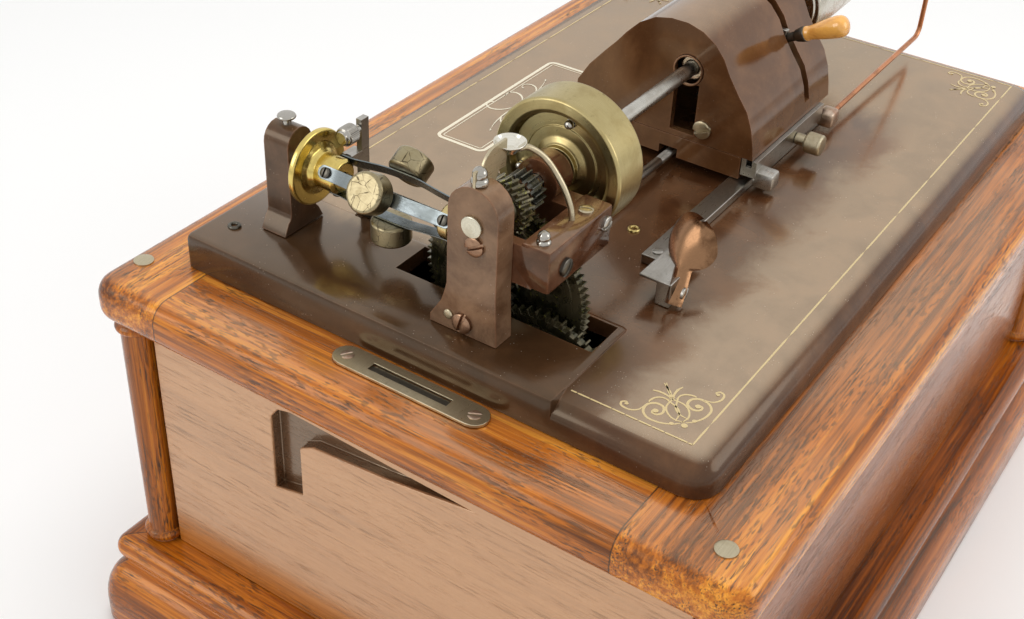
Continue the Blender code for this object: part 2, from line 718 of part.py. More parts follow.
# Oak case
def make_base():
    """Make the base moulding with its step and floor board."""
    half_x = CASE_LENGTH / 2
    half_y = CASE_WIDTH / 2
    wide_x = half_x + BASE_OVERHANG
    wide_y = half_y + BASE_OVERHANG
    step_x = half_x + BASE_STEP_OVERHANG
    step_y = half_y + BASE_STEP_OVERHANG
    shelf = BASE_HEIGHT - BASE_STEP_HEIGHT
    y = CASE_MIDDLE_Y
    low = (-wide_x, y - wide_y, 0)
    base = box("base_moulding", low, (wide_x, y + wide_y, shelf), OAK, BASE_ROUND, 3)
    low_half = box("base_square_foot", low, (wide_x, y + wide_y, shelf / 2))
    step = box("base_step", (-step_x, y - step_y, shelf / 2), (step_x, y + step_y, BASE_HEIGHT))
    hollow = box(
        "base_hollow",
        (BASE_WALL - wide_x, y + BASE_WALL - wide_y, BASE_FLOOR),
        (wide_x - BASE_WALL, y + wide_y - BASE_WALL, BASE_HEIGHT + OVERRUN),
    )
    join(base, low_half, step)
    cut(base, hollow)


def make_columns():
    """Make the four corner columns, each with a bead ring at its foot."""
    height = CASE_HEIGHT - RIM_THICKNESS - BASE_HEIGHT - 2 * GAP
    bead_top = COLUMN_BEAD_HEIGHT
    bead_middle = bead_top / 2
    soft = bead_middle / 2
    profile = [
        (0.0, height), (COLUMN_RADIUS, height), (COLUMN_RADIUS, bead_top),
        (COLUMN_BEAD_RADIUS, bead_middle + soft), (COLUMN_BEAD_RADIUS, bead_middle - soft),
        (COLUMN_RADIUS, 0.0), (0.0, 0.0),
    ]
    across = CASE_LENGTH / 2 - COLUMN_INSET
    deep = CASE_WIDTH / 2 - COLUMN_INSET
    for side, x in (("left", -across), ("right", across)):
        for face, y in (("front", -deep), ("back", deep)):
            name = "column_" + face + "_" + side
            foot = (x, CASE_MIDDLE_Y + y, BASE_HEIGHT + GAP)
            turned(name, foot, AXIS_Z, profile, OAK, 14)


def make_panels():
    """Make the four side panels between the columns, the left one with its finger recess."""
    bottom = BASE_HEIGHT + GAP
    top = CASE_HEIGHT - RIM_THICKNESS - GAP
    outer_x = CASE_LENGTH / 2 - PANEL_INSET
    outer_y = CASE_WIDTH / 2 - PANEL_INSET
    inner_x = outer_x - PANEL_THICKNESS
    inner_y = outer_y - PANEL_THICKNESS
    end_x = CASE_LENGTH / 2 - COLUMN_INSET - COLUMN_BEAD_RADIUS - GAP
    end_y = CASE_WIDTH / 2 - COLUMN_INSET - COLUMN_BEAD_RADIUS - GAP
    y = CASE_MIDDLE_Y
    left = box("panel_left", (-outer_x, y - end_y, bottom), (-inner_x, y + end_y, top), OAK)
    right = box("panel_right", (inner_x, y - end_y, bottom), (outer_x, y + end_y, top), OAK)
    box("panel_front", (-end_x, y - outer_y, bottom), (end_x, y - inner_y, top), OAK)
    box("panel_back", (-end_x, y + inner_y, bottom), (end_x, y + outer_y, top), OAK)
    outline = []
    for across, down in RECESS_OUTLINE_SHARES:
        y = RECESS_START_Y - across * RECESS_WIDTH
        z = above_rim(-RECESS_DROP - down * RECESS_HEIGHT)
        outline.append((y, z))
    middle_x = -outer_x - OVERRUN + (OVERRUN + RECESS_DEPTH) / 2
    recess = flat_shape(
        "finger_recess", outline, UPRIGHT_ACROSS, (middle_x, 0, 0), OVERRUN + RECESS_DEPTH
    )
    cut(left, recess)
    hole = cylinder(
        "winding_hole", (inner_x - OVERRUN, BARREL_Y, BARREL_Z), AXIS_X,
        WINDING_RADIUS + PAWL_CLEARANCE, PANEL_THICKNESS + 2 * OVERRUN,
    )
    cut(right, hole)


def make_rim():
    """Make the rounded rim that frames the bedplate."""
    half_x = CASE_LENGTH / 2
    half_y = CASE_WIDTH / 2
    bottom = CASE_HEIGHT - RIM_THICKNESS
    y = CASE_MIDDLE_Y
    low = (-half_x, y - half_y, bottom)
    high = (half_x, y + half_y, CASE_HEIGHT)
    rim = box("case_rim", low, high, OAK, RIM_ROUND, 3)
    hollow_x = half_x - RIM_RAIL_WIDTH
    hollow_y = half_y - RIM_RAIL_WIDTH
    hollow = box(
        "rim_hollow", (-hollow_x, y - hollow_y, bottom - OVERRUN),
        (hollow_x, y + hollow_y, CASE_HEIGHT + OVERRUN),
    )
    cut(rim, hollow)


def make_catch_plate():
    """Make the nickel lid-catch plate with round ends and a slot."""
    half = CATCH_LENGTH / 2
    radius = CATCH_WIDTH / 2
    outline = arc(0.0, half - radius, radius, 0, 180, 8)
    outline += arc(0.0, radius - half, radius, 180, 360, 8)
    x = CATCH_EDGE_MARGIN + radius - CASE_LENGTH / 2
    z = CASE_HEIGHT + GAP + CATCH_THICKNESS / 2
    plate = flat_shape(
        "lid_catch_plate", outline, LEVEL, (x, CATCH_CENTRE_Y, z), CATCH_THICKNESS, NICKEL
    )
    slot = box(
        "catch_slot",
        (x - CATCH_SLOT_WIDTH / 2, CATCH_CENTRE_Y - CATCH_SLOT_LENGTH / 2, CASE_HEIGHT - OVERRUN),
        (x + CATCH_SLOT_WIDTH / 2, CATCH_CENTRE_Y + CATCH_SLOT_LENGTH / 2, z + OVERRUN),
    )
    cut(plate, slot)


# Bed and rails
def make_bed():
    """Make the bedplate: a cast shell with a raised platform and the gear slot."""
    half_x = BED_LENGTH / 2
    front = BED_MIDDLE_Y - BED_WIDTH / 2
    back = BED_MIDDLE_Y + BED_WIDTH / 2
    bottom = CASE_HEIGHT + GAP
    root = BED_Z - BED_ROOT_DEPTH
    bed = box(
        "bedplate", (-half_x, front, root), (half_x, back, BED_Z), ENAMEL, BED_BEVEL, 3
    )
    platform = box(
        "platform", (-half_x, PLATFORM_FRONT_Y, root), (PLATFORM_RIGHT_X, back, PLATFORM_Z),
        None, PLATFORM_BEVEL,
    )
    below = box(
        "below_bed", (-half_x - OVERRUN, front - OVERRUN, root - OVERRUN),
        (half_x + OVERRUN, back + OVERRUN, bottom),
    )
    pocket = box(
        "bed_pocket", (BED_LIP - half_x, BED_LIP + front, bottom - OVERRUN),
        (half_x - BED_LIP, back - BED_LIP, BED_Z - BED_SKIN),
    )
    slot = box(
        "bed_slot", (SLOT_LEFT_X, SLOT_FRONT_Y, bottom),
        (SLOT_RIGHT_X, SLOT_BACK_Y, PLATFORM_Z + OVERRUN),
    )
    wheel_reach = COARSE_MODULE * CENTRE_WHEEL_TEETH / 2 + COARSE_MODULE + GEAR_RUNNING_ROOM
    wheel_room = cylinder(
        "wheel_room", (CENTRE_WHEEL_X - CENTRE_WHEEL_WIDTH, CENTRE_Y, CENTRE_Z), AXIS_X,
        wheel_reach, 2 * CENTRE_WHEEL_WIDTH, None, 64,
    )
    join(bed, platform)
    cut(bed, below, pocket, slot, wheel_room)


def make_rails():
    """Make the two flat rails and the block that holds the feed screw's right end."""
    bottom = BED_Z + GAP
    for name, y, end in (
        ("front_rail", FRONT_RAIL_Y, FRONT_RAIL_RIGHT_X),
        ("rear_rail", REAR_RAIL_Y, REAR_RAIL_RIGHT_X),
    ):
        box(
            name, (RAIL_LEFT_X, y - RAIL_WIDTH / 2, bottom),
            (end, y + RAIL_WIDTH / 2, bottom + RAIL_HEIGHT), STEEL,
        )
    right = FEED_BLOCK_LEFT_X + FEED_BLOCK_LENGTH
    block = box(
        "feed_bearing",
        (FEED_BLOCK_LEFT_X, INTERMEDIATE_Y - FEED_BLOCK_WIDTH / 2, bottom),
        (right, INTERMEDIATE_Y + FEED_BLOCK_WIDTH / 2, INTERMEDIATE_Z + FEED_BLOCK_RISE),
        ENAMEL, BRIDGE_BEVEL,
    )
    bore = cylinder(
        "feed_bore", (FEED_BLOCK_LEFT_X - OVERRUN, INTERMEDIATE_Y, INTERMEDIATE_Z), AXIS_X,
        FEED_RADIUS + GAP, FEED_RIGHT_X + GAP - FEED_BLOCK_LEFT_X + OVERRUN, None, 20,
    )
    cut(block, bore)


# Posts and bridge
def make_near_post():
    """Make the near bearing post with its shaft and feed-screw bores."""
    foot_top = PLATFORM_Z + POST_FOOT_RISE
    front = POST_CENTRE_Y - POST_HALF_WIDTH
    back = POST_CENTRE_Y + POST_HALF_WIDTH
    top = above_rim(POST_TOP_HEIGHT)
    outline = [
        (POST_FOOT_FRONT_Y, PLATFORM_Z + GAP), (POST_FOOT_BACK_Y, PLATFORM_Z + GAP),
        (POST_FOOT_BACK_Y, foot_top),
    ]
    outline += [(y, PLATFORM_Z + rise) for y, rise in POST_FLARE]
    outline += [(back, above_rim(POST_SHOULDER_HEIGHT))]
    outline += arc(POST_CENTRE_Y, top - POST_HALF_WIDTH, POST_HALF_WIDTH, 0, 180, 12)
    outline += [(front, above_rim(POST_SHOULDER_HEIGHT)), (POST_FOOT_FRONT_Y, foot_top)]
    middle = (POST_LEFT_X + POST_THICKNESS / 2, 0, 0)
    post = flat_shape("near_post", outline, UPRIGHT_ACROSS, middle, POST_THICKNESS, ENAMEL)
    shaft_bore = cylinder(
        "shaft_bore", (SHAFT_LEFT_X - GAP, SHAFT_Y, SHAFT_Z), AXIS_X,
        SHAFT_RADIUS + GAP, POST_THICKNESS + OVERRUN,
    )
    feed_bore = cylinder(
        "feed_bore_near", (FEED_LEFT_X - GAP, INTERMEDIATE_Y, INTERMEDIATE_Z), AXIS_X,
        FEED_RADIUS + GAP, POST_THICKNESS + OVERRUN, None, 20,
    )
    cut(post, shaft_bore, feed_bore)


def make_bridge():
    """Make the bridge casting: a beam from the post to the main bearing."""
    low = above_rim(BRIDGE_BOTTOM_HEIGHT)
    high = above_rim(BRIDGE_TOP_HEIGHT)
    start = POST_RIGHT_X + GAP
    arm_left = BRIDGE_RIGHT_X - BRIDGE_ARM_WIDTH
    bridge = box(
        "bridge_casting", (start, BRIDGE_FRONT_Y, low), (BRIDGE_RIGHT_X, BRIDGE_BACK_Y, high),
        ENAMEL, BRIDGE_BEVEL,
    )
    lug = box(
        "bridge_lug", (start, BRIDGE_BACK_Y - BRIDGE_ARM_WIDTH / 2, low),
        (start + BRIDGE_LUG_THICKNESS, BRIDGE_LUG_BACK_Y, high - BRIDGE_BEVEL),
    )
    arm = box(
        "bridge_arm",
        (arm_left, BRIDGE_BACK_Y - BRIDGE_ARM_WIDTH / 2, above_rim(BRIDGE_ARM_BOTTOM_HEIGHT)),
        (BRIDGE_RIGHT_X - GAP, SHAFT_Y, high - BRIDGE_BEVEL),
    )
    boss = cylinder(
        "bridge_boss", (arm_left - GAP, SHAFT_Y, SHAFT_Z), AXIS_X,
        BRIDGE_BOSS_RADIUS, BRIDGE_ARM_WIDTH,
    )
    join(bridge, lug, arm, boss)
    bore = cylinder(
        "bridge_bore", (arm_left - OVERRUN, SHAFT_Y, SHAFT_Z), AXIS_X,
        SHAFT_RADIUS + GAP, BRIDGE_ARM_WIDTH + 2 * OVERRUN,
    )
    gear_reach = FINE_MODULE * INTERMEDIATE_TEETH / 2 + FINE_MODULE + GEAR_RUNNING_ROOM
    gear_room = cylinder(
        "gear_room",
        (INTERMEDIATE_GEAR_X - INTERMEDIATE_GEAR_WIDTH, INTERMEDIATE_Y, INTERMEDIATE_Z), AXIS_X,
        gear_reach, 2 * INTERMEDIATE_GEAR_WIDTH, None, 64,
    )
    spindle_bore = cylinder(
        "spindle_bore", (WORM_WHEEL_X, SPINDLE_FRONT_Y - GAP, GOVERNOR_Z), AXIS_Y,
        SPINDLE_RADIUS + GAP, BRIDGE_BACK_Y - SPINDLE_FRONT_Y + OVERRUN, None, 20,
    )
    cut(bridge, bore, gear_room, spindle_bore)


def make_governor_post():
    """Make the governor post with a flared foot and a round top."""
    bottom = PLATFORM_Z + GAP
    top = above_rim(GOVERNOR_POST_TOP_HEIGHT)
    half = GOVERNOR_POST_HALF_WIDTH
    foot = GOVERNOR_POST_FOOT_HALF_WIDTH
    left = WORM_WHEEL_X - foot
    right = WORM_WHEEL_X + foot
    outline = [(left, bottom), (right, bottom)]
    outline += arc(right, bottom + GOVERNOR_POST_FOOT_RISE, foot - half, 235, 180, 3)
    outline += arc(WORM_WHEEL_X, top - half, half, 0, 180, 10)
    outline += arc(left, bottom + GOVERNOR_POST_FOOT_RISE, foot - half, 0, -55, 3)
    middle = (0, GOVERNOR_POST_FRONT_Y + GOVERNOR_POST_THICKNESS / 2, 0)
    post = flat_shape(
        "governor_post", outline, UPRIGHT_ALONG, middle, GOVERNOR_POST_THICKNESS, ENAMEL
    )
    bore = cylinder(
        "governor_bore", (WORM_WHEEL_X, GOVERNOR_POST_FRONT_Y - OVERRUN, GOVERNOR_Z), AXIS_Y,
        SPINDLE_RADIUS + GAP, SPINDLE_BACK_Y - GOVERNOR_POST_FRONT_Y + OVERRUN + GAP, None, 20,
    )
    cut(post, bore)


# Main shaft
def make_main_shaft():
    """Make the main shaft with its worm wheel, pinion and flywheel."""
    length = SHAFT_RIGHT_X - SHAFT_LEFT_X
    shaft = cylinder(
        "main_shaft", (SHAFT_LEFT_X, SHAFT_Y, SHAFT_Z), AXIS_X, SHAFT_RADIUS, length, STEEL
    )
    down = -math.pi / 2
    twist = WORM_WHEEL_WIDTH * WORM_LEAD / (2 * math.pi * WORM_RADIUS) / WORM_WHEEL_RADIUS
    wheel = twisted_prism(
        "worm_wheel", gear_outline(WORM_WHEEL_TEETH, WORM_MODULE, down - twist / 2),
        UPRIGHT_ACROSS, (WORM_WHEEL_X - WORM_WHEEL_WIDTH / 2, SHAFT_Y, SHAFT_Z),
        WORM_WHEEL_WIDTH, twist, 2, BRASS,
    )
    phase = direction(SHAFT_Y, SHAFT_Z, INTERMEDIATE_Y, INTERMEDIATE_Z)
    pinion = spur_gear(
        "shaft_pinion", SHAFT_PINION_TEETH, FINE_MODULE, phase, SHAFT_PINION_X,
        SHAFT_Y, SHAFT_Z, SHAFT_PINION_WIDTH, DARK_STEEL,
    )
    for gear, x, width in (
        (wheel, WORM_WHEEL_X, WORM_WHEEL_WIDTH), (pinion, SHAFT_PINION_X, SHAFT_PINION_WIDTH)
    ):
        start = (x - width / 2 - OVERRUN, SHAFT_Y, SHAFT_Z)
        bore = cylinder(
            gear.name + "_bore", start, AXIS_X, SHAFT_RADIUS + GAP, width + 2 * OVERRUN
        )
        cut(gear, bore)
    inner = SHAFT_RADIUS + GAP
    floor = FLYWHEEL_DISH
    rim_inner = FLYWHEEL_RADIUS - FLYWHEEL_RIM
    hub = FLYWHEEL_HUB_RADIUS
    width = FLYWHEEL_WIDTH
    profile = [
        (inner, width), (hub, width), (hub, width - floor), (rim_inner, width - floor),
        (rim_inner, width), (FLYWHEEL_RADIUS, width), (FLYWHEEL_RADIUS, 0.0), (rim_inner, 0.0),
        (rim_inner, floor), (hub, floor), (hub, -FLYWHEEL_HUB_STAND),
        (inner, -FLYWHEEL_HUB_STAND),
    ]
    flywheel = turned(
        "flywheel", (FLYWHEEL_LEFT_X, SHAFT_Y, SHAFT_Z), AXIS_X, profile, BRASS, 40, True
    )
    carry("main_shaft_axis", (SHAFT_LEFT_X, SHAFT_Y, SHAFT_Z), shaft, wheel, pinion, flywheel)


def make_feed_screw():
    """Make the feed screw with its own pinion, and the intermediate gear on it."""
    screw = cylinder(
        "feed_screw", (FEED_LEFT_X, INTERMEDIATE_Y, INTERMEDIATE_Z), AXIS_X, FEED_RADIUS,
        FEED_RIGHT_X - FEED_LEFT_X, STEEL, 20,
    )
    to_centre = direction(INTERMEDIATE_Y, INTERMEDIATE_Z, CENTRE_Y, CENTRE_Z)
    pinion = spur_gear(
        "intermediate_pinion", INTERMEDIATE_PINION_TEETH, COARSE_MODULE, to_centre,
        CENTRE_WHEEL_X, INTERMEDIATE_Y, INTERMEDIATE_Z, INTERMEDIATE_PINION_WIDTH,
    )
    join(screw, pinion)
    to_shaft = direction(INTERMEDIATE_Y, INTERMEDIATE_Z, SHAFT_Y, SHAFT_Z)
    gear = spur_gear(
        "intermediate_gear", INTERMEDIATE_TEETH, FINE_MODULE,
        to_shaft + math.pi / INTERMEDIATE_TEETH, INTERMEDIATE_GEAR_X,
        INTERMEDIATE_Y, INTERMEDIATE_Z, INTERMEDIATE_GEAR_WIDTH, BRASS,
    )
    bore = cylinder(
        "intermediate_bore",
        (INTERMEDIATE_GEAR_X - INTERMEDIATE_GEAR_WIDTH, INTERMEDIATE_Y, INTERMEDIATE_Z), AXIS_X,
        FEED_RADIUS + GAP, 2 * INTERMEDIATE_GEAR_WIDTH, None, 20,
    )
    cut(gear, bore)
    carry("feed_screw_axis", (FEED_LEFT_X, INTERMEDIATE_Y, INTERMEDIATE_Z), screw, gear)


# Spring motor
def make_motor_plates():
    """Make the two motor plates, the left one with its four riveted pillars."""
    top = BED_Z - BED_SKIN - GAP
    bottom = above_rim(-MOTOR_PLATE_BOTTOM_DEPTH)
    plates = []
    for name, x in (("motor_plate_left", MOTOR_LEFT_X), ("motor_plate_right", MOTOR_RIGHT_X)):
        plate = box(
            name, (x, BARREL_Y - MOTOR_PLATE_HALF_WIDTH, bottom),
            (x + MOTOR_PLATE_THICKNESS, BARREL_Y + MOTOR_PLATE_HALF_WIDTH, top), STEEL,
        )
        centre_bore = cylinder(
            name + "_centre_bore", (x - OVERRUN, CENTRE_Y, CENTRE_Z), AXIS_X,
            CENTRE_ARBOR_RADIUS + GAP, MOTOR_PLATE_THICKNESS + 2 * OVERRUN, None, 20,
        )
        winding_bore = cylinder(
            name + "_winding_bore", (x - OVERRUN, BARREL_Y, BARREL_Z), AXIS_X,
            WINDING_RADIUS + GAP, MOTOR_PLATE_THICKNESS + 2 * OVERRUN,
        )
        cut(plate, centre_bore, winding_bore)
        plates.append(plate)
    reach = MOTOR_PLATE_HALF_WIDTH - PILLAR_INSET
    start = MOTOR_LEFT_X + MOTOR_PLATE_THICKNESS / 2
    length = MOTOR_RIGHT_X - GAP - start
    for face, y in (("front", BARREL_Y - reach), ("back", BARREL_Y + reach)):
        for level, z in (("low", bottom + PILLAR_INSET), ("high", above_rim(-PILLAR_TOP_DEPTH))):
            name = "pillar_" + face + "_" + level
            join(plates[0], cylinder(name, (start, y, z), AXIS_X, PILLAR_RADIUS, length, None, 12))


def make_centre_arbor():
    """Make the centre arbor with its pinion, and the centre wheel that shows in the slot."""
    start = MOTOR_LEFT_X - CENTRE_ARBOR_OVERHANG
    end = MOTOR_RIGHT_X + MOTOR_PLATE_THICKNESS + CENTRE_ARBOR_OVERHANG
    arbor = cylinder(
        "centre_arbor", (start, CENTRE_Y, CENTRE_Z), AXIS_X, CENTRE_ARBOR_RADIUS,
        end - start, STEEL, 20,
    )
    to_barrel = direction(CENTRE_Y, CENTRE_Z, BARREL_Y, BARREL_Z)
    pinion = spur_gear(
        "centre_pinion", CENTRE_PINION_TEETH, MOTOR_MODULE, to_barrel, BARREL_GEAR_X,
        CENTRE_Y, CENTRE_Z, CENTRE_PINION_WIDTH,
    )
    join(arbor, pinion)
    to_pinion = direction(CENTRE_Y, CENTRE_Z, INTERMEDIATE_Y, INTERMEDIATE_Z)
    wheel = spur_gear(
        "centre_wheel", CENTRE_WHEEL_TEETH, COARSE_MODULE,
        to_pinion + math.pi / CENTRE_WHEEL_TEETH, CENTRE_WHEEL_X, CENTRE_Y, CENTRE_Z,
        CENTRE_WHEEL_WIDTH, BRASS,
    )
    bore = cylinder(
        "centre_wheel_bore", (CENTRE_WHEEL_X - CENTRE_WHEEL_WIDTH, CENTRE_Y, CENTRE_Z), AXIS_X,
        CENTRE_ARBOR_RADIUS + GAP, 2 * CENTRE_WHEEL_WIDTH, None, 20,
    )
    cut(wheel, bore)
    carry("centre_arbor_axis", (start, CENTRE_Y, CENTRE_Z), arbor, wheel)


def make_barrel():
    """Make the spring barrel, the gear that closes it and the spring inside."""
    to_centre = direction(BARREL_Y, BARREL_Z, CENTRE_Y, CENTRE_Z)
    gear = spur_gear(
        "barrel_gear", BARREL_GEAR_TEETH, MOTOR_MODULE,
        to_centre + math.pi / BARREL_GEAR_TEETH, BARREL_GEAR_X, BARREL_Y, BARREL_Z,
        BARREL_GEAR_WIDTH, BRASS,
    )
    bore = cylinder(
        "barrel_gear_bore", (BARREL_GEAR_X - BARREL_GEAR_WIDTH, BARREL_Y, BARREL_Z), AXIS_X,
        WINDING_RADIUS + GAP, 2 * BARREL_GEAR_WIDTH,
    )
    cut(gear, bore)
    start = BARREL_GEAR_X + BARREL_GEAR_WIDTH / 2 + GAP
    length = BARREL_RIGHT_X - start
    inner = BARREL_RADIUS - BARREL_WALL
    hole = WINDING_RADIUS + GAP
    profile = [
        (BARREL_RADIUS, length), (BARREL_RADIUS, 0.0), (inner, 0.0),
        (inner, length - BARREL_WALL), (hole, length - BARREL_WALL), (hole, length),
    ]
    barrel = turned(
        "spring_barrel", (start, BARREL_Y, BARREL_Z), AXIS_X, profile, STEEL, 24, True
    )
    spring_length = length - BARREL_WALL - 2 * GAP
    spring = turned(
        "mainspring", (start + GAP, BARREL_Y, BARREL_Z), AXIS_X,
        ring_profile(inner - GAP, MAINSPRING_CORE_RADIUS, spring_length), DARK_STEEL, 24, True,
    )
    carry("barrel_axis", (start, BARREL_Y, BARREL_Z), gear, barrel, spring)


def ratchet_outline():
    """Give the outline of the ratchet wheel's saw teeth."""
    points = []
    pitch = 2 * math.pi / RATCHET_TEETH
    for tooth in range(RATCHET_TEETH):
        across = math.cos(pitch * tooth)
        along = math.sin(pitch * tooth)
        points.append((RATCHET_ROOT_RADIUS * across, RATCHET_ROOT_RADIUS * along))
        points.append((RATCHET_RADIUS * across, RATCHET_RADIUS * along))
    return points


def make_winding():
    """Make the winding arbor with its ratchet wheel, the pawl, the crank and its knob."""
    start = MOTOR_LEFT_X - CENTRE_ARBOR_OVERHANG
    end = CASE_LENGTH / 2 + WINDING_END_REACH
    arbor = cylinder(
        "winding_arbor", (start, BARREL_Y, BARREL_Z), AXIS_X, WINDING_RADIUS, end - start, STEEL
    )
    ratchet_x = MOTOR_RIGHT_X + MOTOR_PLATE_THICKNESS + RATCHET_THICKNESS / 2 + GAP
    ratchet = flat_shape(
        "ratchet_wheel", ratchet_outline(), UPRIGHT_ACROSS, (ratchet_x, BARREL_Y, BARREL_Z),
        RATCHET_THICKNESS,
    )
    join(arbor, ratchet)
    crank_x = end + GAP - CRANK_THICKNESS / 2
    half = CRANK_WIDTH / 2
    outline = arc(0.0, -CRANK_LENGTH, half, 180, 360, 8) + arc(0.0, 0.0, half, 0, 180, 8)
    crank = flat_shape(
        "crank_arm", outline, UPRIGHT_ACROSS, (crank_x, BARREL_Y, BARREL_Z), CRANK_THICKNESS,
        NICKEL,
    )
    hub_bore = cylinder(
        "crank_bore", (crank_x - CRANK_THICKNESS, BARREL_Y, BARREL_Z), AXIS_X,
        WINDING_RADIUS + GAP, 2 * CRANK_THICKNESS,
    )
    cut(crank, hub_bore)
    knob_start = crank_x + CRANK_THICKNESS / 2 + GAP
    thirds = KNOB_LENGTH / 3
    profile = [
        (0.0, KNOB_LENGTH), (KNOB_NECK_RADIUS, KNOB_LENGTH), (KNOB_RADIUS, 2 * thirds),
        (KNOB_RADIUS * KNOB_WAIST_SHARE, thirds), (KNOB_NECK_RADIUS, 0.0), (0.0, 0.0),
    ]
    knob = turned(
        "crank_knob", (knob_start, BARREL_Y, BARREL_Z - CRANK_LENGTH), AXIS_X, profile,
        HANDLE_WOOD, 20,
    )
    carry("winding_axis", (start, BARREL_Y, BARREL_Z), arbor, crank)
    carry("knob_axis", (knob_start, BARREL_Y, BARREL_Z - CRANK_LENGTH), knob)
    pawl_y = BARREL_Y - RATCHET_RADIUS - PAWL_CLEARANCE - PAWL_WIDTH / 2
    half = PAWL_WIDTH / 2
    outline = [(-half, -PAWL_LENGTH), (half, -PAWL_LENGTH)] + arc(0.0, 0.0, half, 0, 180, 8)
    pawl_z = BARREL_Z + PAWL_LENGTH
    pawl = flat_shape(
        "ratchet_pawl", outline, UPRIGHT_ACROSS, (ratchet_x, pawl_y, pawl_z),
        RATCHET_THICKNESS - GAP, STEEL,
    )
    carry("pawl_axis", (ratchet_x, pawl_y, pawl_z), pawl)


# Governor
def make_governor():
    """Make the spindle with its worm and collar, the sliding disc, springs and weights."""
    spindle = cylinder(
        "governor_spindle", (WORM_WHEEL_X, SPINDLE_FRONT_Y, GOVERNOR_Z), AXIS_Y,
        SPINDLE_RADIUS, SPINDLE_BACK_Y - SPINDLE_FRONT_Y, STEEL, 20,
    )
    length = 2 * WORM_HALF_LENGTH
    twist = 2 * math.pi * length / WORM_LEAD
    half_turn = Matrix.Rotation(math.pi / 2 - twist / 2, 4, "Z")
    local = turn_to(AXIS_Y)
    up = (local.inverted() @ AXIS_Z.to_4d()).to_3d()
    up_turn = Matrix.Rotation(math.atan2(up.y, up.x), 4, "Z")
    steps = round(WORM_TURN_STEPS * length / WORM_LEAD)
    worm = twisted_prism(
        "governor_worm", worm_section(), local @ up_turn @ half_turn,
        (WORM_WHEEL_X, SHAFT_Y - WORM_HALF_LENGTH, GOVERNOR_Z), length, twist, steps,
    )
    collar = cylinder(
        "governor_collar", (WORM_WHEEL_X, COLLAR_FRONT_Y, GOVERNOR_Z), AXIS_Y,
        SLEEVE_RADIUS, COLLAR_LENGTH,
    )
    join(spindle, worm, collar)
    inner = SPINDLE_RADIUS + GAP
    back = SLEEVE_LENGTH + DISC_THICKNESS
    profile = [
        (inner, back), (DISC_RADIUS, back), (DISC_RADIUS, SLEEVE_LENGTH),
        (SLEEVE_RADIUS, SLEEVE_LENGTH), (SLEEVE_RADIUS, 0.0), (inner, 0.0),
    ]
    disc = turned(
        "governor_disc", (WORM_WHEEL_X, DISC_FRONT_Y - SLEEVE_LENGTH, GOVERNOR_Z), AXIS_Y,
        profile, BRASS, 32, True,
    )
    axis_point = (WORM_WHEEL_X, SPINDLE_FRONT_Y, GOVERNOR_Z)
    carry("governor_axis", axis_point, spindle)
    carry("governor_disc_axis", axis_point, disc)
    front = COLLAR_FRONT_Y + COLLAR_LENGTH / 4
    end = DISC_FRONT_Y - SLEEVE_LENGTH + COLLAR_LENGTH * 3 / 4
    flat_front = COLLAR_FRONT_Y + COLLAR_LENGTH
    flat_end = DISC_FRONT_Y - SLEEVE_LENGTH
    base = SLEEVE_RADIUS + GAP
    crown = base + SPRING_RISE
    lower = [(front, base), (flat_front, base), (WEIGHT_Y - WEIGHT_RADIUS, crown)]
    lower += [(WEIGHT_Y + WEIGHT_RADIUS, crown), (flat_end, base), (end, base)]
    outline = lower + [(y, radial + SPRING_THICKNESS) for y, radial in reversed(lower)]
    seat = crown + SPRING_THICKNESS + GAP
    for number, angle in enumerate(WEIGHT_ANGLES, start=1):
        radians = math.radians(angle)
        outward = Vector((math.cos(radians), 0.0, math.sin(radians)))
        frame = Matrix((AXIS_Y, outward, AXIS_Y.cross(outward))).transposed().to_4x4()
        spring = flat_shape(
            "governor_spring_" + str(number), outline, frame, (WORM_WHEEL_X, 0, GOVERNOR_Z),
            SPRING_WIDTH, STEEL,
        )
        start = Vector((WORM_WHEEL_X, WEIGHT_Y, GOVERNOR_Z)) + outward * seat
        weight = cylinder(
            "governor_weight_" + str(number), start, outward, WEIGHT_RADIUS, WEIGHT_LENGTH,
            NICKEL, 32,
        )
        carry("spring_axis_" + str(number), axis_point, spring)
        carry("weight_axis_" + str(number), start, weight)


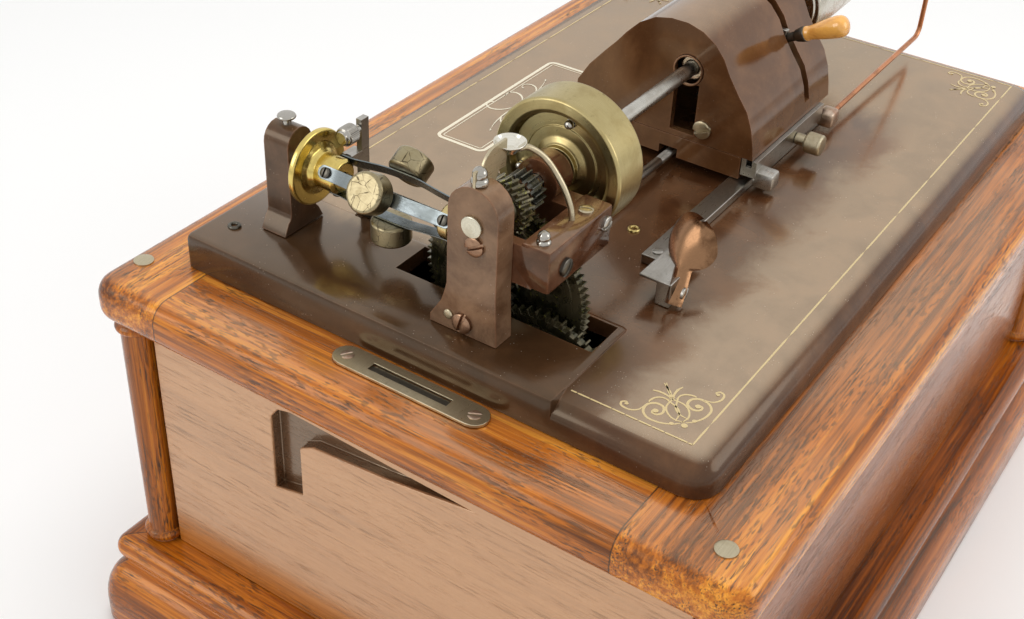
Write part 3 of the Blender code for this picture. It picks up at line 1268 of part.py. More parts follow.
def make_friction():
    """Make the friction lever on its foot, with the speed screw at the top."""
    pivot_z = above_rim(FRICTION_PIVOT_HEIGHT)
    half = FRICTION_LEVER_THICKNESS / 2
    left = FRICTION_LEVER_X - FRICTION_LEVER_WIDTH / 2
    right = FRICTION_LEVER_X + FRICTION_LEVER_WIDTH / 2
    foot_left = right + GAP
    bracket = box(
        "friction_bracket",
        (foot_left, FRICTION_LEVER_Y - FRICTION_FOOT_LENGTH / 2, BED_Z + GAP),
        (foot_left + FRICTION_LEVER_WIDTH, FRICTION_LEVER_Y + FRICTION_FOOT_LENGTH / 2,
         BED_Z + FRICTION_FOOT_THICKNESS), NICKEL,
    )
    ear = box(
        "friction_ear", (foot_left, FRICTION_LEVER_Y - FRICTION_LEVER_WIDTH, BED_Z + 2 * GAP),
        (foot_left + FRICTION_FOOT_THICKNESS, FRICTION_LEVER_Y + FRICTION_LEVER_WIDTH,
         pivot_z + FRICTION_LEVER_WIDTH / 2),
    )
    pin = cylinder(
        "friction_pin", (left, FRICTION_LEVER_Y, pivot_z), AXIS_X, FRICTION_PIVOT_RADIUS,
        foot_left + FRICTION_FOOT_THICKNESS / 2 - left, None, 12,
    )
    join(bracket, ear, pin)
    top = above_rim(FRICTION_TOP_HEIGHT)
    lever = box(
        "friction_lever", (left, FRICTION_LEVER_Y - half, pivot_z - FRICTION_LEVER_WIDTH),
        (right, FRICTION_LEVER_Y + half, top), BRASS,
    )
    eye = cylinder(
        "friction_eye", (left, FRICTION_LEVER_Y, pivot_z), AXIS_X,
        FRICTION_PIVOT_RADIUS + half, FRICTION_LEVER_WIDTH,
    )
    pad_x = WORM_WHEEL_X + DISC_RADIUS - FRICTION_PAD_SIZE
    pad_front = FRICTION_LEVER_Y - half
    pad = box(
        "friction_pad", (pad_x, pad_front, GOVERNOR_Z - FRICTION_PAD_SIZE / 2),
        (left + half, DISC_FRONT_Y - FRICTION_PAD_TRAVEL, GOVERNOR_Z + FRICTION_PAD_SIZE / 2),
    )
    hole = cylinder(
        "friction_hole", (left - OVERRUN, FRICTION_LEVER_Y, pivot_z), AXIS_X,
        FRICTION_PIVOT_RADIUS + GAP, FRICTION_LEVER_WIDTH + 2 * OVERRUN, None, 12,
    )
    join(lever, eye, pad)
    cut(lever, hole)
    screw_z = top - SPEED_SCREW_RADIUS
    profile = [
        (0.0, SPEED_SCREW_LENGTH), (SPEED_SCREW_RADIUS, SPEED_SCREW_LENGTH),
        (SPEED_SCREW_RADIUS, SPEED_SCREW_LENGTH / 4),
        (SPEED_SCREW_NECK_RADIUS, SPEED_SCREW_LENGTH / 4), (SPEED_SCREW_NECK_RADIUS, 0.0),
        (0.0, 0.0),
    ]
    screw_start = (left - GAP, FRICTION_LEVER_Y, screw_z)
    screw = turned("speed_screw", screw_start, -AXIS_X, profile, NICKEL, 20)
    carry("friction_axis", (left, FRICTION_LEVER_Y, pivot_z), lever)
    carry("speed_screw_axis", screw_start, screw)


def make_oil_cup():
    """Make the oil cup: a plate on the near post, a dish and a feed pipe to the bridge."""
    bottom = above_rim(POST_TOP_HEIGHT) + GAP
    top = bottom + OIL_PLATE_RISE
    plate = box(
        "oil_cup", (POST_LEFT_X, POST_CENTRE_Y - OIL_PLATE_WIDTH / 2, bottom),
        (POST_RIGHT_X, POST_CENTRE_Y + OIL_PLATE_WIDTH / 2, bottom + OIL_PLATE_THICKNESS), NICKEL,
    )
    upright = box(
        "oil_upright",
        (POST_RIGHT_X - OIL_PLATE_THICKNESS, POST_CENTRE_Y - OIL_PLATE_WIDTH / 2, bottom),
        (POST_RIGHT_X, POST_CENTRE_Y + OIL_PLATE_WIDTH / 2, top),
    )
    shelf = box(
        "oil_shelf", (POST_RIGHT_X - OIL_PLATE_THICKNESS, POST_CENTRE_Y - OIL_PLATE_WIDTH / 2,
                      top - OIL_PLATE_THICKNESS),
        (OIL_DISH_X, POST_CENTRE_Y + OIL_PLATE_WIDTH / 2, top),
    )
    rim = OIL_DISH_RADIUS
    half = rim / 2
    lip = rim - OIL_PLATE_THICKNESS / 2
    profile = [
        (0.0, OIL_DISH_DEPTH / 2), (half, OIL_DISH_DEPTH / 2), (lip, OIL_DISH_DEPTH),
        (rim, OIL_DISH_DEPTH), (half, 0.0), (0.0, 0.0),
    ]
    dish_z = top - OIL_PLATE_THICKNESS
    dish = turned("oil_dish", (OIL_DISH_X, POST_CENTRE_Y, dish_z), AXIS_Z, profile, None, 20)
    pipe_top = dish_z + OIL_PLATE_THICKNESS / 2
    pipe_bottom = above_rim(BRIDGE_TOP_HEIGHT) + GAP
    points = []
    for x_share, y_share, z_share in zip(OIL_PIPE_X_SHARES, OIL_PIPE_Y_SHARES, OIL_PIPE_Z_SHARES):
        points.append((
            OIL_DISH_X + x_share * (OIL_PIPE_END_X - OIL_DISH_X),
            POST_CENTRE_Y + y_share * (OIL_PIPE_END_Y - POST_CENTRE_Y),
            pipe_top + z_share * (pipe_bottom - pipe_top),
        ))
    pipe = rod("oil_pipe", points, OIL_PIPE_RADIUS)
    join(plate, upright, shelf, dish, pipe)


# Carriage
def cover_outline(inset):
    """Give the arched cover's outline, drawn in from its outside by an inset."""
    points = [Vector((y, above_rim(height))) for y, height in COVER_OUTLINE]
    outline = []
    for number, point in enumerate(points):
        after = points[(number + 1) % len(points)] - point
        before = point - points[number - 1]
        inward_before = Vector((-before.y, before.x)).normalized()
        inward_after = Vector((-after.y, after.x)).normalized()
        inward = (inward_before + inward_after).normalized()
        moved = point + inward * (inset / inward.dot(inward_after))
        outline.append((moved.x, moved.y))
    return outline


def make_carriage():
    """Make the carriage base and its arched cover."""
    low = above_rim(CARRIAGE_BOTTOM_HEIGHT)
    seam = above_rim(CARRIAGE_SEAM_HEIGHT)
    base = box(
        "carriage_base", (CARRIAGE_LEFT_X, CARRIAGE_FRONT_Y, low),
        (CARRIAGE_RIGHT_X, CARRIAGE_BACK_Y, seam - GAP), ENAMEL,
    )
    groove = box(
        "feed_groove",
        (CARRIAGE_LEFT_X - OVERRUN, INTERMEDIATE_Y - FEED_GROOVE_HALF_WIDTH, low - OVERRUN),
        (CARRIAGE_RIGHT_X + OVERRUN, INTERMEDIATE_Y + FEED_GROOVE_HALF_WIDTH,
         above_rim(FEED_GROOVE_TOP_HEIGHT)),
    )
    window = box(
        "nut_window",
        (NUT_WINDOW_LEFT_X, INTERMEDIATE_Y - NUT_WINDOW_HALF_WIDTH, low - OVERRUN),
        (NUT_WINDOW_RIGHT_X, INTERMEDIATE_Y + NUT_WINDOW_HALF_WIDTH, seam + OVERRUN),
    )
    pivot_z = above_rim(LEVER_PIVOT_HEIGHT)
    lug = box(
        "pivot_lug", (LEVER_PIVOT_LEFT_X, LEVER_PIVOT_Y - PIVOT_LUG_HALF_WIDTH, low + OVERRUN),
        (LEVER_PIVOT_LEFT_X + PIVOT_LUG_LENGTH, LEVER_PIVOT_Y + PIVOT_LUG_HALF_WIDTH,
         pivot_z + PIVOT_LUG_HALF_WIDTH),
    )
    lug_bore = cylinder(
        "lug_bore", (LEVER_PIVOT_LEFT_X - OVERRUN, LEVER_PIVOT_Y, pivot_z), AXIS_X,
        LEVER_PIVOT_RADIUS + GAP, PIVOT_LUG_LENGTH + 2 * OVERRUN, None, 20,
    )
    join(base, lug)
    cut(base, lug_bore, groove, window)
    length = CARRIAGE_RIGHT_X - CARRIAGE_LEFT_X
    middle_x = (CARRIAGE_RIGHT_X + CARRIAGE_LEFT_X) / 2
    cover = flat_shape(
        "carriage_cover", cover_outline(0.0), UPRIGHT_ACROSS, (middle_x, 0, 0), length, ENAMEL
    )
    inside = flat_shape(
        "cover_inside", cover_outline(COVER_WALL), UPRIGHT_ACROSS, (middle_x, 0, 0),
        length - 2 * COVER_WALL,
    )
    mouth_front, mouth_back = COVER_OUTLINE[0][0], COVER_OUTLINE[1][0]
    mouth = box(
        "cover_mouth",
        (CARRIAGE_LEFT_X + COVER_WALL, mouth_front + COVER_WALL, seam - OVERRUN),
        (CARRIAGE_RIGHT_X - COVER_WALL, mouth_back - COVER_WALL, seam + COVER_WALL),
    )
    hole = cylinder(
        "cover_hole", (CARRIAGE_LEFT_X - OVERRUN, SHAFT_Y, SHAFT_Z), AXIS_X,
        COVER_HOLE_RADIUS, COVER_WALL + 2 * OVERRUN,
    )
    sleeve_hole = cylinder(
        "sleeve_hole", (CARRIAGE_RIGHT_X - COVER_WALL - OVERRUN, SHAFT_Y, SHAFT_Z), AXIS_X,
        MANDREL_SLEEVE_RADIUS + GAP, COVER_WALL + 2 * OVERRUN,
    )
    slot = box(
        "handle_slot",
        (HANDLE_SLOT_X - HANDLE_SLOT_WIDTH / 2, mouth_front - OVERRUN,
         above_rim(HANDLE_SLOT_BOTTOM_HEIGHT)),
        (HANDLE_SLOT_X + HANDLE_SLOT_WIDTH / 2, HANDLE_SLOT_BACK_Y,
         above_rim(COVER_TOP_HEIGHT) + OVERRUN),
    )
    keyhole = box(
        "cover_keyhole",
        (CARRIAGE_LEFT_X - OVERRUN, SHAFT_Y - COVER_KEYHOLE_HALF_WIDTH,
         above_rim(COVER_KEYHOLE_BOTTOM_HEIGHT)),
        (CARRIAGE_LEFT_X + COVER_WALL + OVERRUN, SHAFT_Y + COVER_KEYHOLE_HALF_WIDTH,
         above_rim(COVER_KEYHOLE_TOP_HEIGHT)),
    )
    cut(cover, inside, mouth, hole, sleeve_hole, slot, keyhole)
    return base, cover


def make_front_fittings():
    """Make the channel bar, the clamps, the clamp screw and the thin rod."""
    back = CARRIAGE_FRONT_Y - GAP
    front = back - CHANNEL_WIDTH
    top = above_rim(CHANNEL_TOP_HEIGHT)
    far_left = CHANNEL_RIGHT_X - CLAMP_LENGTH
    channel = box(
        "guide_channel", (CHANNEL_LEFT_X, front, above_rim(CHANNEL_BOTTOM_HEIGHT)),
        (far_left - GAP, back, top), STEEL,
    )
    middle = (front + back) / 2
    groove = box(
        "channel_groove",
        (CHANNEL_LEFT_X - OVERRUN, middle - CHANNEL_GROOVE_WIDTH / 2, top - CHANNEL_GROOVE_DEPTH),
        (CHANNEL_RIGHT_X + OVERRUN, middle + CHANNEL_GROOVE_WIDTH / 2, top + OVERRUN),
    )
    clamp_low = above_rim(CLAMP_BOTTOM_HEIGHT)
    clamp_high = above_rim(CLAMP_TOP_HEIGHT)
    near = box(
        "clamp_near", (CHANNEL_LEFT_X + GAP, front - CLAMP_REACH, clamp_low),
        (CHANNEL_LEFT_X + CLAMP_LENGTH, front + CLAMP_ROUND, clamp_high), None, CLAMP_ROUND,
    )
    cut(channel, groove)
    join(channel, near)
    far = box(
        "clamp_block_far", (far_left, FAR_CLAMP_FRONT_Y, clamp_low),
        (CHANNEL_RIGHT_X, FAR_CLAMP_FRONT_Y + CLAMP_REACH, clamp_high), COPPER, CLAMP_ROUND,
    )
    neck = CLAMP_SCREW_NECK_LENGTH
    whole = neck + CLAMP_SCREW_HEAD_LENGTH
    profile = [
        (0.0, whole), (CLAMP_SCREW_HEAD_RADIUS, whole), (CLAMP_SCREW_HEAD_RADIUS, neck),
        (CLAMP_SCREW_NECK_RADIUS, neck), (CLAMP_SCREW_NECK_RADIUS, 0.0), (0.0, 0.0),
    ]
    screw_place = (CLAMP_SCREW_X, front - GAP, above_rim(CLAMP_SCREW_HEIGHT))
    screw = turned("clamp_screw", screw_place, -AXIS_Y, profile, NICKEL, 20)
    rod_y = FAR_CLAMP_FRONT_Y + CLAMP_REACH / 2
    rod_z = (clamp_low + clamp_high) / 2
    points = [(CHANNEL_RIGHT_X + GAP, rod_y, rod_z)]
    bend = arc(ROD_BEND_X - ROD_BEND_RADIUS, rod_z + ROD_BEND_RADIUS, ROD_BEND_RADIUS, -90, 0, 5)
    points += [(x, rod_y, z) for x, z in bend]
    points.append((ROD_BEND_X, rod_y, above_rim(ROD_END_HEIGHT)))
    wire = rod("swing_rod", points, ROD_RADIUS, COPPER)
    return (channel, far), screw, screw_place, wire, points[0]


def make_lift_lever():
    """Make the lift lever with its pivot pin, the half nut and the wood handle."""
    pivot_z = above_rim(LEVER_PIVOT_HEIGHT)
    half = LEVER_ARM_WIDTH / 2
    top_z = above_rim(LEVER_TOP_HEIGHT)
    outline = arc(LEVER_PIVOT_Y, pivot_z, half, 90, -90, 8)
    outline += [(LEVER_ELBOW_Y - half, pivot_z - half), (LEVER_TOP_Y - half, top_z)]
    outline += [(LEVER_TOP_Y + half, top_z), (LEVER_ELBOW_Y + half, pivot_z + half)]
    plate = flat_shape(
        "lift_lever", outline, UPRIGHT_ACROSS, (HANDLE_SLOT_X, 0, 0), LEVER_THICKNESS, STEEL
    )
    pin_end = CARRIAGE_RIGHT_X - COVER_WALL - GAP
    pin = cylinder(
        "lever_pin", (LEVER_PIVOT_LEFT_X, LEVER_PIVOT_Y, pivot_z), AXIS_X,
        LEVER_PIVOT_RADIUS, pin_end - LEVER_PIVOT_LEFT_X, None, 20,
    )
    join(plate, pin)
    nut_right = HANDLE_SLOT_X - LEVER_THICKNESS / 2 - GAP
    nut = box(
        "half_nut",
        (nut_right - NUT_LENGTH, INTERMEDIATE_Y - NUT_HALF_WIDTH, INTERMEDIATE_Z + NUT_BOTTOM_RISE),
        (nut_right, INTERMEDIATE_Y + NUT_HALF_WIDTH, above_rim(NUT_TOP_HEIGHT)), BRASS,
    )
    groove = cylinder(
        "nut_groove", (nut_right - NUT_LENGTH - OVERRUN, INTERMEDIATE_Y, INTERMEDIATE_Z), AXIS_X,
        FEED_RADIUS + NUT_GROOVE_ROOM, NUT_LENGTH + 2 * OVERRUN,
    )
    cut(nut, groove)
    root_y = LEVER_TOP_Y - half - HANDLE_ROOT_RADIUS / 3 - GAP
    root = Vector((HANDLE_SLOT_X, root_y, top_z - half))
    tip = Vector((HANDLE_SLOT_X, HANDLE_TIP_Y, above_rim(HANDLE_TIP_HEIGHT)))
    along = tip - root
    reach = along.length
    profile = [(0.0, reach)]
    for wide_share, along_share in HANDLE_BELLY_SHARES:
        profile.append((HANDLE_BELLY_RADIUS * wide_share, reach * along_share))
    profile += [
        (HANDLE_ROOT_RADIUS, reach * HANDLE_ROOT_END_SHARE), (HANDLE_ROOT_RADIUS, 0.0), (0.0, 0.0)
    ]
    handle = turned("lift_handle", root, along.normalized(), profile, HANDLE_WOOD, 20)
    return (plate, nut, handle), (HANDLE_SLOT_X, LEVER_PIVOT_Y, pivot_z)


def make_mandrel():
    """Make the tapered mandrel with the sleeve that slides on the main shaft."""
    left = MANDREL_LEFT_X - MANDREL_SLEEVE_LEFT_X
    right = left + MANDREL_LENGTH
    sleeve = MANDREL_SLEEVE_RADIUS
    bore = SHAFT_RADIUS + GAP
    profile = [
        (0.0, right), (sleeve, right), (sleeve, left + MANDREL_WEB),
        (MANDREL_LEFT_RADIUS - MANDREL_WALL, left + MANDREL_WEB),
        (MANDREL_RIGHT_RADIUS - MANDREL_WALL, right), (MANDREL_RIGHT_RADIUS, right),
        (MANDREL_LEFT_RADIUS, left), (sleeve, left), (sleeve, 0.0), (bore, 0.0),
        (bore, right - MANDREL_WEB), (0.0, right - MANDREL_WEB),
    ]
    place = (MANDREL_SLEEVE_LEFT_X, SHAFT_Y, SHAFT_Z)
    return turned("mandrel", place, AXIS_X, profile, NICKEL, 28), place


def make_stop_lever():
    """Make the stop lever with its round paddle, and the bracket that it turns on."""
    bottom = BED_Z + GAP
    left = STOP_X - STOP_BLOCK_LENGTH / 2
    right = STOP_X + STOP_BLOCK_LENGTH / 2
    top = bottom + STOP_BLOCK_RISE
    front = STOP_Y - STOP_BLOCK_WIDTH / 2
    back = STOP_Y + STOP_BLOCK_WIDTH / 2
    bracket = box("stop_bracket", (left, front, bottom), (right, back, top), DARK_STEEL)
    plate = box(
        "stop_plate", (left, back - STOP_PLATE_THICKNESS, top - STOP_PLATE_THICKNESS),
        (STOP_PLATE_RIGHT_X, STOP_PLATE_BACK_Y, top),
    )
    pivot_z = bottom + STOP_BLOCK_RISE / 2
    pin = cylinder(
        "stop_pin", (STOP_X, back - STOP_PLATE_THICKNESS, pivot_z), -AXIS_Y, STOP_PIVOT_RADIUS,
        STOP_BLOCK_WIDTH + STOP_LEVER_THICKNESS, None, 12,
    )
    join(bracket, plate, pin)
    half = STOP_LEVER_FOOT_WIDTH / 2
    neck = STOP_NECK_WIDTH / 2
    paddle_x = STOP_PADDLE_X - STOP_X
    outline = arc(0.0, 0.0, half, 135, 270, 6)
    outline += [(paddle_x - STOP_PADDLE_RADIUS, neck - half)]
    outline += arc(paddle_x, STOP_PADDLE_RISE, STOP_PADDLE_RADIUS, -110, 180, 16)
    outline += [(paddle_x - STOP_PADDLE_RADIUS, STOP_PADDLE_RISE / 2), (0.0, half)]
    lever_y = front - GAP - STOP_LEVER_THICKNESS / 2
    lever = flat_shape(
        "stop_lever", outline, UPRIGHT_ALONG, (STOP_X, lever_y, pivot_z), STOP_LEVER_THICKNESS,
        COPPER,
    )
    hole = cylinder(
        "stop_hole", (STOP_X, front + OVERRUN, pivot_z), -AXIS_Y, STOP_PIVOT_RADIUS + GAP,
        STOP_LEVER_THICKNESS + 2 * OVERRUN, None, 12,
    )
    cut(lever, hole)
    carry("stop_axis", (STOP_X, lever_y, pivot_z), lever)


def make_moving_carriage():
    """Make everything that travels with the carriage and parent it to one empty."""
    base, cover = make_carriage()
    fittings, screw, screw_place, wire, rod_place = make_front_fittings()
    lever_parts, lever_place = make_lift_lever()
    mandrel, mandrel_place = make_mandrel()
    carry("carriage_origin", (CARRIAGE_LEFT_X, SHAFT_Y, SHAFT_Z), base, cover, *fittings)
    carry("clamp_screw_axis", screw_place, screw)
    carry("swing_rod_axis", rod_place, wire)
    carry("lift_lever_axis", lever_place, *lever_parts)
    carry("mandrel_axis", mandrel_place, mandrel)


def main():
    """Build the whole machine."""
    make_base()
    make_columns()
    make_panels()
    make_rim()
    make_catch_plate()
    make_bed()
    make_rails()
    make_near_post()
    make_bridge()
    make_governor_post()
    make_main_shaft()
    make_feed_screw()
    make_motor_plates()
    make_centre_arbor()
    make_barrel()
    make_winding()
    make_governor()
    make_friction()
    make_oil_cup()
    make_moving_carriage()
    make_stop_lever()


main()
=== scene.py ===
"""Looks of the cylinder phonograph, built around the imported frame.

Metres, +Z up. The case stands on the floor at the origin, the mandrel lies along +X and the
machine's front faces -Y. Each sub-assembly is a class. Surfaces are worked out as numpy grids,
and every finish is a node material on object coordinates.
"""
import logging
from dataclasses import dataclass
from enum import Enum
from math import atan2, cos, pi, radians, sin, sqrt
from typing import Any, Callable, Optional, Sequence, Union

import bmesh
import bpy
import numpy as np
from mathutils import Matrix, Vector


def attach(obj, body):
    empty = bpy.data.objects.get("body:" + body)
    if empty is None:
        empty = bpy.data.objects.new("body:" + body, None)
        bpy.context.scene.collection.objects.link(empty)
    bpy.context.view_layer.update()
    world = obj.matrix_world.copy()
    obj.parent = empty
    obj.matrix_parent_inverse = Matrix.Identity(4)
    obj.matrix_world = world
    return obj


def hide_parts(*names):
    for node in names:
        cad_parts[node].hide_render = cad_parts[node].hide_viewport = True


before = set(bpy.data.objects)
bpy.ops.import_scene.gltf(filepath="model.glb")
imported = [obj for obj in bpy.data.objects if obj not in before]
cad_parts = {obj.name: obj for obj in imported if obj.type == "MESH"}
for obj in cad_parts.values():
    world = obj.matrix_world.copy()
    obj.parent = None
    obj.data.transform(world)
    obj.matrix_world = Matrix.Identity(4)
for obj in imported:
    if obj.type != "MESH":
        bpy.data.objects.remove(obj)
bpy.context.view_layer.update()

LOG = logging.getLogger("phonograph")

# Levels of the rim, the bed and its raised platform
RIM = 0.215
BED = 0.231
PLATFORM = 0.2325
# The main shaft, the governor and the arbors, each two geared arbors the same way apart
GEARS_APART = 0.048
SHAFT = np.array((0.0, -0.006, 0.284))
WHEEL_X = -0.164
GOVERNOR_Z = 0.267
CENTRE_Y = -0.026
FEED_Z = SHAFT[2] - sqrt(GEARS_APART ** 2 - SHAFT[1] ** 2)
CENTRE_Z = FEED_Z - sqrt(GEARS_APART ** 2 - CENTRE_Y ** 2)
X_AXIS, Y_AXIS, Z_AXIS = (1.0, 0.0, 0.0), (0.0, 1.0, 0.0), (0.0, 0.0, 1.0)
LEFT, FRONT = (-1.0, 0.0, 0.0), (0.0, -1.0, 0.0)
SLOT_SHARE = 0.16

Number = Union[int, float]
Point = Sequence[float]
Colour = tuple[float, float, float]
Grid = np.ndarray
Nodes = Sequence[str]
Piece = bpy.types.Object
Material = bpy.types.Material


class Side(Enum):
    """The axis that a grain, a turned mark or a plate's thickness follows."""

    X = 0
    Y = 1
    Z = 2


# Shader expressions
class Channel:
    """A grey socket of a node tree, with arithmetic that adds Math nodes."""

    def __init__(self, graph: "Graph", socket: bpy.types.NodeSocket) -> None:
        """Wrap an output socket of a graph."""
        self.graph = graph
        self.socket = socket

    def calc(self, operation: str, *others: Any, clamp: bool = False) -> "Channel":
        """Add a Math node.

        Args:
            operation: The Math node's operation.
            others: Its further inputs.
            clamp: Whether the result is held between 0 and 1.

        Returns:
            The node's value.
        """
        settings = {"operation": operation, "use_clamp": clamp}
        inputs = dict(enumerate((self, *others)))
        return self.graph.add("ShaderNodeMath", settings, inputs).value()

    def __add__(self, other: Any) -> "Channel":
        """Add."""
        return self.calc("ADD", other)

    __radd__ = __add__

    def __sub__(self, other: Any) -> "Channel":
        """Subtract."""
        return self.calc("SUBTRACT", other)

    def __rsub__(self, other: Number) -> "Channel":
        """Subtract from a number."""
        return (self * -1.0) + other

    def __mul__(self, other: Any) -> "Channel":
        """Multiply."""
        return self.calc("MULTIPLY", other)

    __rmul__ = __mul__

    def __pow__(self, other: Any) -> "Channel":
        """Raise to a power."""
        return self.calc("POWER", other)

    def above(self, low: Number, high: Number) -> "Channel":
        """Rise smoothly from 0 at low to 1 at high, or fall if low is above high.

        Args:
            low: Where it is 0.
            high: Where it is 1.

        Returns:
            The step.
        """
        inputs = {"Value": self, "From Min": low, "From Max": high}
        settings = {"interpolation_type": "SMOOTHSTEP"}
        return self.graph.add("ShaderNodeMapRange", settings, inputs).value("Result")

    def to(self, low: Number, high: Number) -> "Channel":
        """Stretch 0 to 1 over another range."""
        return self * (high - low) + low

    def size(self) -> "Channel":
        """Give the absolute value."""
        return self.calc("ABSOLUTE")


class NodeHandle:
    """A node that was added to a graph."""

    def __init__(self, graph: "Graph", node: bpy.types.Node) -> None:
        """Keep the graph and the node."""
        self.graph = graph
        self.node = node

    def value(self, name: Union[str, int] = 0) -> Channel:
        """Give an output as a channel."""
        return Channel(self.graph, self.node.outputs[name])


class Graph:
    """The node tree of one material, built by expressions."""

    def __init__(self, name: str) -> None:
        """Start a material with a Principled shader and Object coordinates.

        Args:
            name: The material's name.
        """
        self.material = bpy.data.materials.new(name)
        self.material.use_nodes = True
        self.tree = self.material.node_tree
        self.shader = self.tree.nodes["Principled BSDF"]
        self.output = self.tree.nodes["Material Output"]
        self.place = self.add("ShaderNodeTexCoord").value("Object")

    def add(
        self, kind: str, settings: Optional[dict] = None, inputs: Optional[dict] = None
    ) -> NodeHandle:
        """Add one node.

        Args:
            kind: The node's type.
            settings: Its properties; "stops" gives a ramp's positions and greys or colours.
            inputs: Values or channels for its sockets, by name or number.

        Returns:
            The node.
        """
        node = self.tree.nodes.new(kind)
        for key, setting in (settings or {}).items():
            if key == "stops":
                self.set_stops(node.color_ramp, setting)
            else:
                setattr(node, key, setting)
        for key, setting in (inputs or {}).items():
            self.feed(node.inputs[key], setting)
        return NodeHandle(self, node)

    def set_stops(self, ramp: bpy.types.ColorRamp, stops: Sequence[tuple]) -> None:
        """Set a colour ramp's stops.

        Args:
            ramp: The ramp.
            stops: Positions and colours.
        """
        while len(ramp.elements) < len(stops):
            ramp.elements.new(0.5)
        for element, (position, colour) in zip(ramp.elements, stops):
            element.position = position
            element.color = (*colour, 1.0)

    def feed(self, socket: bpy.types.NodeSocket, setting: Any) -> None:
        """Link a channel to a socket, or set the socket's own value.

        Args:
            socket: An input.
            setting: A channel, a number or a colour.
        """
        if isinstance(setting, Channel):
            self.tree.links.new(setting.socket, socket)
        elif isinstance(setting, tuple) and len(setting) == 3 and socket.type == "RGBA":
            socket.default_value = (*setting, 1.0)
        else:
            socket.default_value = setting

    def scaled(self, factors: Point, centre: Point = (0.0, 0.0, 0.0)) -> Channel:
        """Give object coordinates about a centre, stretched by factors.

        Args:
            factors: The stretch along each axis.
            centre: The place of zero.

        Returns:
            The vector.
        """
        location = tuple(-c * f for c, f in zip(centre, factors))
        inputs = {"Vector": self.place, "Location": location, "Scale": tuple(factors)}
        return self.add("ShaderNodeMapping", None, inputs).value("Vector")

    def noise(
        self, vector: Channel, scale: float = 1.0, detail: float = 3.0, rough: float = 0.55,
        warp: float = 0.0,
    ) -> Channel:
        """Give fractal noise between 0 and 1.

        Args:
            vector: Where it is read.
            scale, detail, rough, warp: Its settings.

        Returns:
            The noise.
        """
        inputs = {
            "Vector": vector, "Scale": scale, "Detail": detail, "Roughness": rough,
            "Distortion": warp,
        }
        return self.add("ShaderNodeTexNoise", None, inputs).value(0)

    def cells(self, vector: Channel, scale: float, feature: str = "F1") -> Channel:
        """Give a Voronoi distance."""
        inputs = {"Vector": vector, "Scale": scale}
        return self.add("ShaderNodeTexVoronoi", {"feature": feature}, inputs).value("Distance")

    def split(self, vector: Channel) -> tuple[Channel, Channel, Channel]:
        """Give a vector's three parts."""
        node = self.add("ShaderNodeSeparateXYZ", None, {0: vector})
        return node.value(0), node.value(1), node.value(2)

    def join(self, across: Any, deep: Any, high: Any) -> Channel:
        """Make a vector of three parts."""
        return self.add("ShaderNodeCombineXYZ", None, {0: across, 1: deep, 2: high}).value()

    def mix(self, share: Any, low: Any, high: Any, blend: str = "MIX") -> Channel:
        """Mix two colours by a share."""
        settings = {"data_type": "RGBA", "blend_type": blend}
        return self.add("ShaderNodeMix", settings, {0: share, 6: low, 7: high}).value(2)

    def ramp(self, share: Channel, stops: Sequence[tuple]) -> Channel:
        """Turn a share into a colour through a ramp."""
        return self.add("ShaderNodeValToRGB", {"stops": stops}, {0: share}).value("Color")

    def finish(
        self, colour: Any, rough: Any, metal: Any = 0.0, coat: Any = 0.0,
        bump: Optional[Channel] = None, depth: float = 0.0001, strength: float = 0.6,
        gloss: tuple[float, float, float] = (1.5, 1.5, 0.08), tint: Colour = (1.0, 1.0, 1.0),
        glaze: Any = None,
    ) -> Material:
        """Feed the shader and give the material.

        Args:
            colour: Base colour.
            rough: Roughness.
            metal: Metallic share.
            coat: Clear coat weight, a number or a channel.
            bump: Height between 0 and 1.
            depth: The depth of that height in metres.
            strength: The strength of the bump.
            gloss: The index below the coat, and the coat's index and roughness.
            tint: The tint of what the surface under the coat reflects.
            glaze: The share of a plain index 1.5 surface, or None where there is one surface.

        Returns:
            The material.
        """
        wanted = {
            "Base Color": colour, "Roughness": rough, "Metallic": metal, "Coat Weight": coat,
        }
        if bump is not None:
            inputs = {"Height": bump, "Distance": depth, "Strength": strength}
            wanted["Normal"] = self.add("ShaderNodeBump", None, inputs).value("Normal")
        under, index, blur = gloss
        self.surface(self.shader, wanted, under, tint, index, blur)
        if glaze is not None:
            plain = self.tree.nodes.new("ShaderNodeBsdfPrincipled")
            self.surface(plain, wanted, 1.5, tint, index, blur)
            mixed = self.add("ShaderNodeMixShader", None, {"Fac": glaze})
            self.tree.links.new(self.shader.outputs["BSDF"], mixed.node.inputs[1])
            self.tree.links.new(plain.outputs["BSDF"], mixed.node.inputs[2])
            self.tree.links.new(mixed.node.outputs[0], self.output.inputs["Surface"])
        return self.material

    def surface(
        self, shader: bpy.types.Node, wanted: dict, under: float, tint: Colour, index: float,
        blur: float,
    ) -> None:
        """Feed one Principled shader its channels and its constant settings.

        Args:
            shader: The shader.
            wanted: Channels by socket.
            under, tint, index, blur: As in finish.
        """
        for name, setting in wanted.items():
            self.feed(shader.inputs[name], setting)
        shader.inputs["IOR"].default_value = under
        shader.inputs["Specular Tint"].default_value = (*tint, 1.0)
        shader.inputs["Coat IOR"].default_value = index
        shader.inputs["Coat Roughness"].default_value = blur


def facing_up(graph: Graph) -> Channel:
    """Give 1 where a surface faces up and 0 where it is steep, from its normal's height."""
    normal = graph.add("ShaderNodeNewGeometry").value("Normal")
    return graph.split(normal)[2].above(0.8, 0.985)


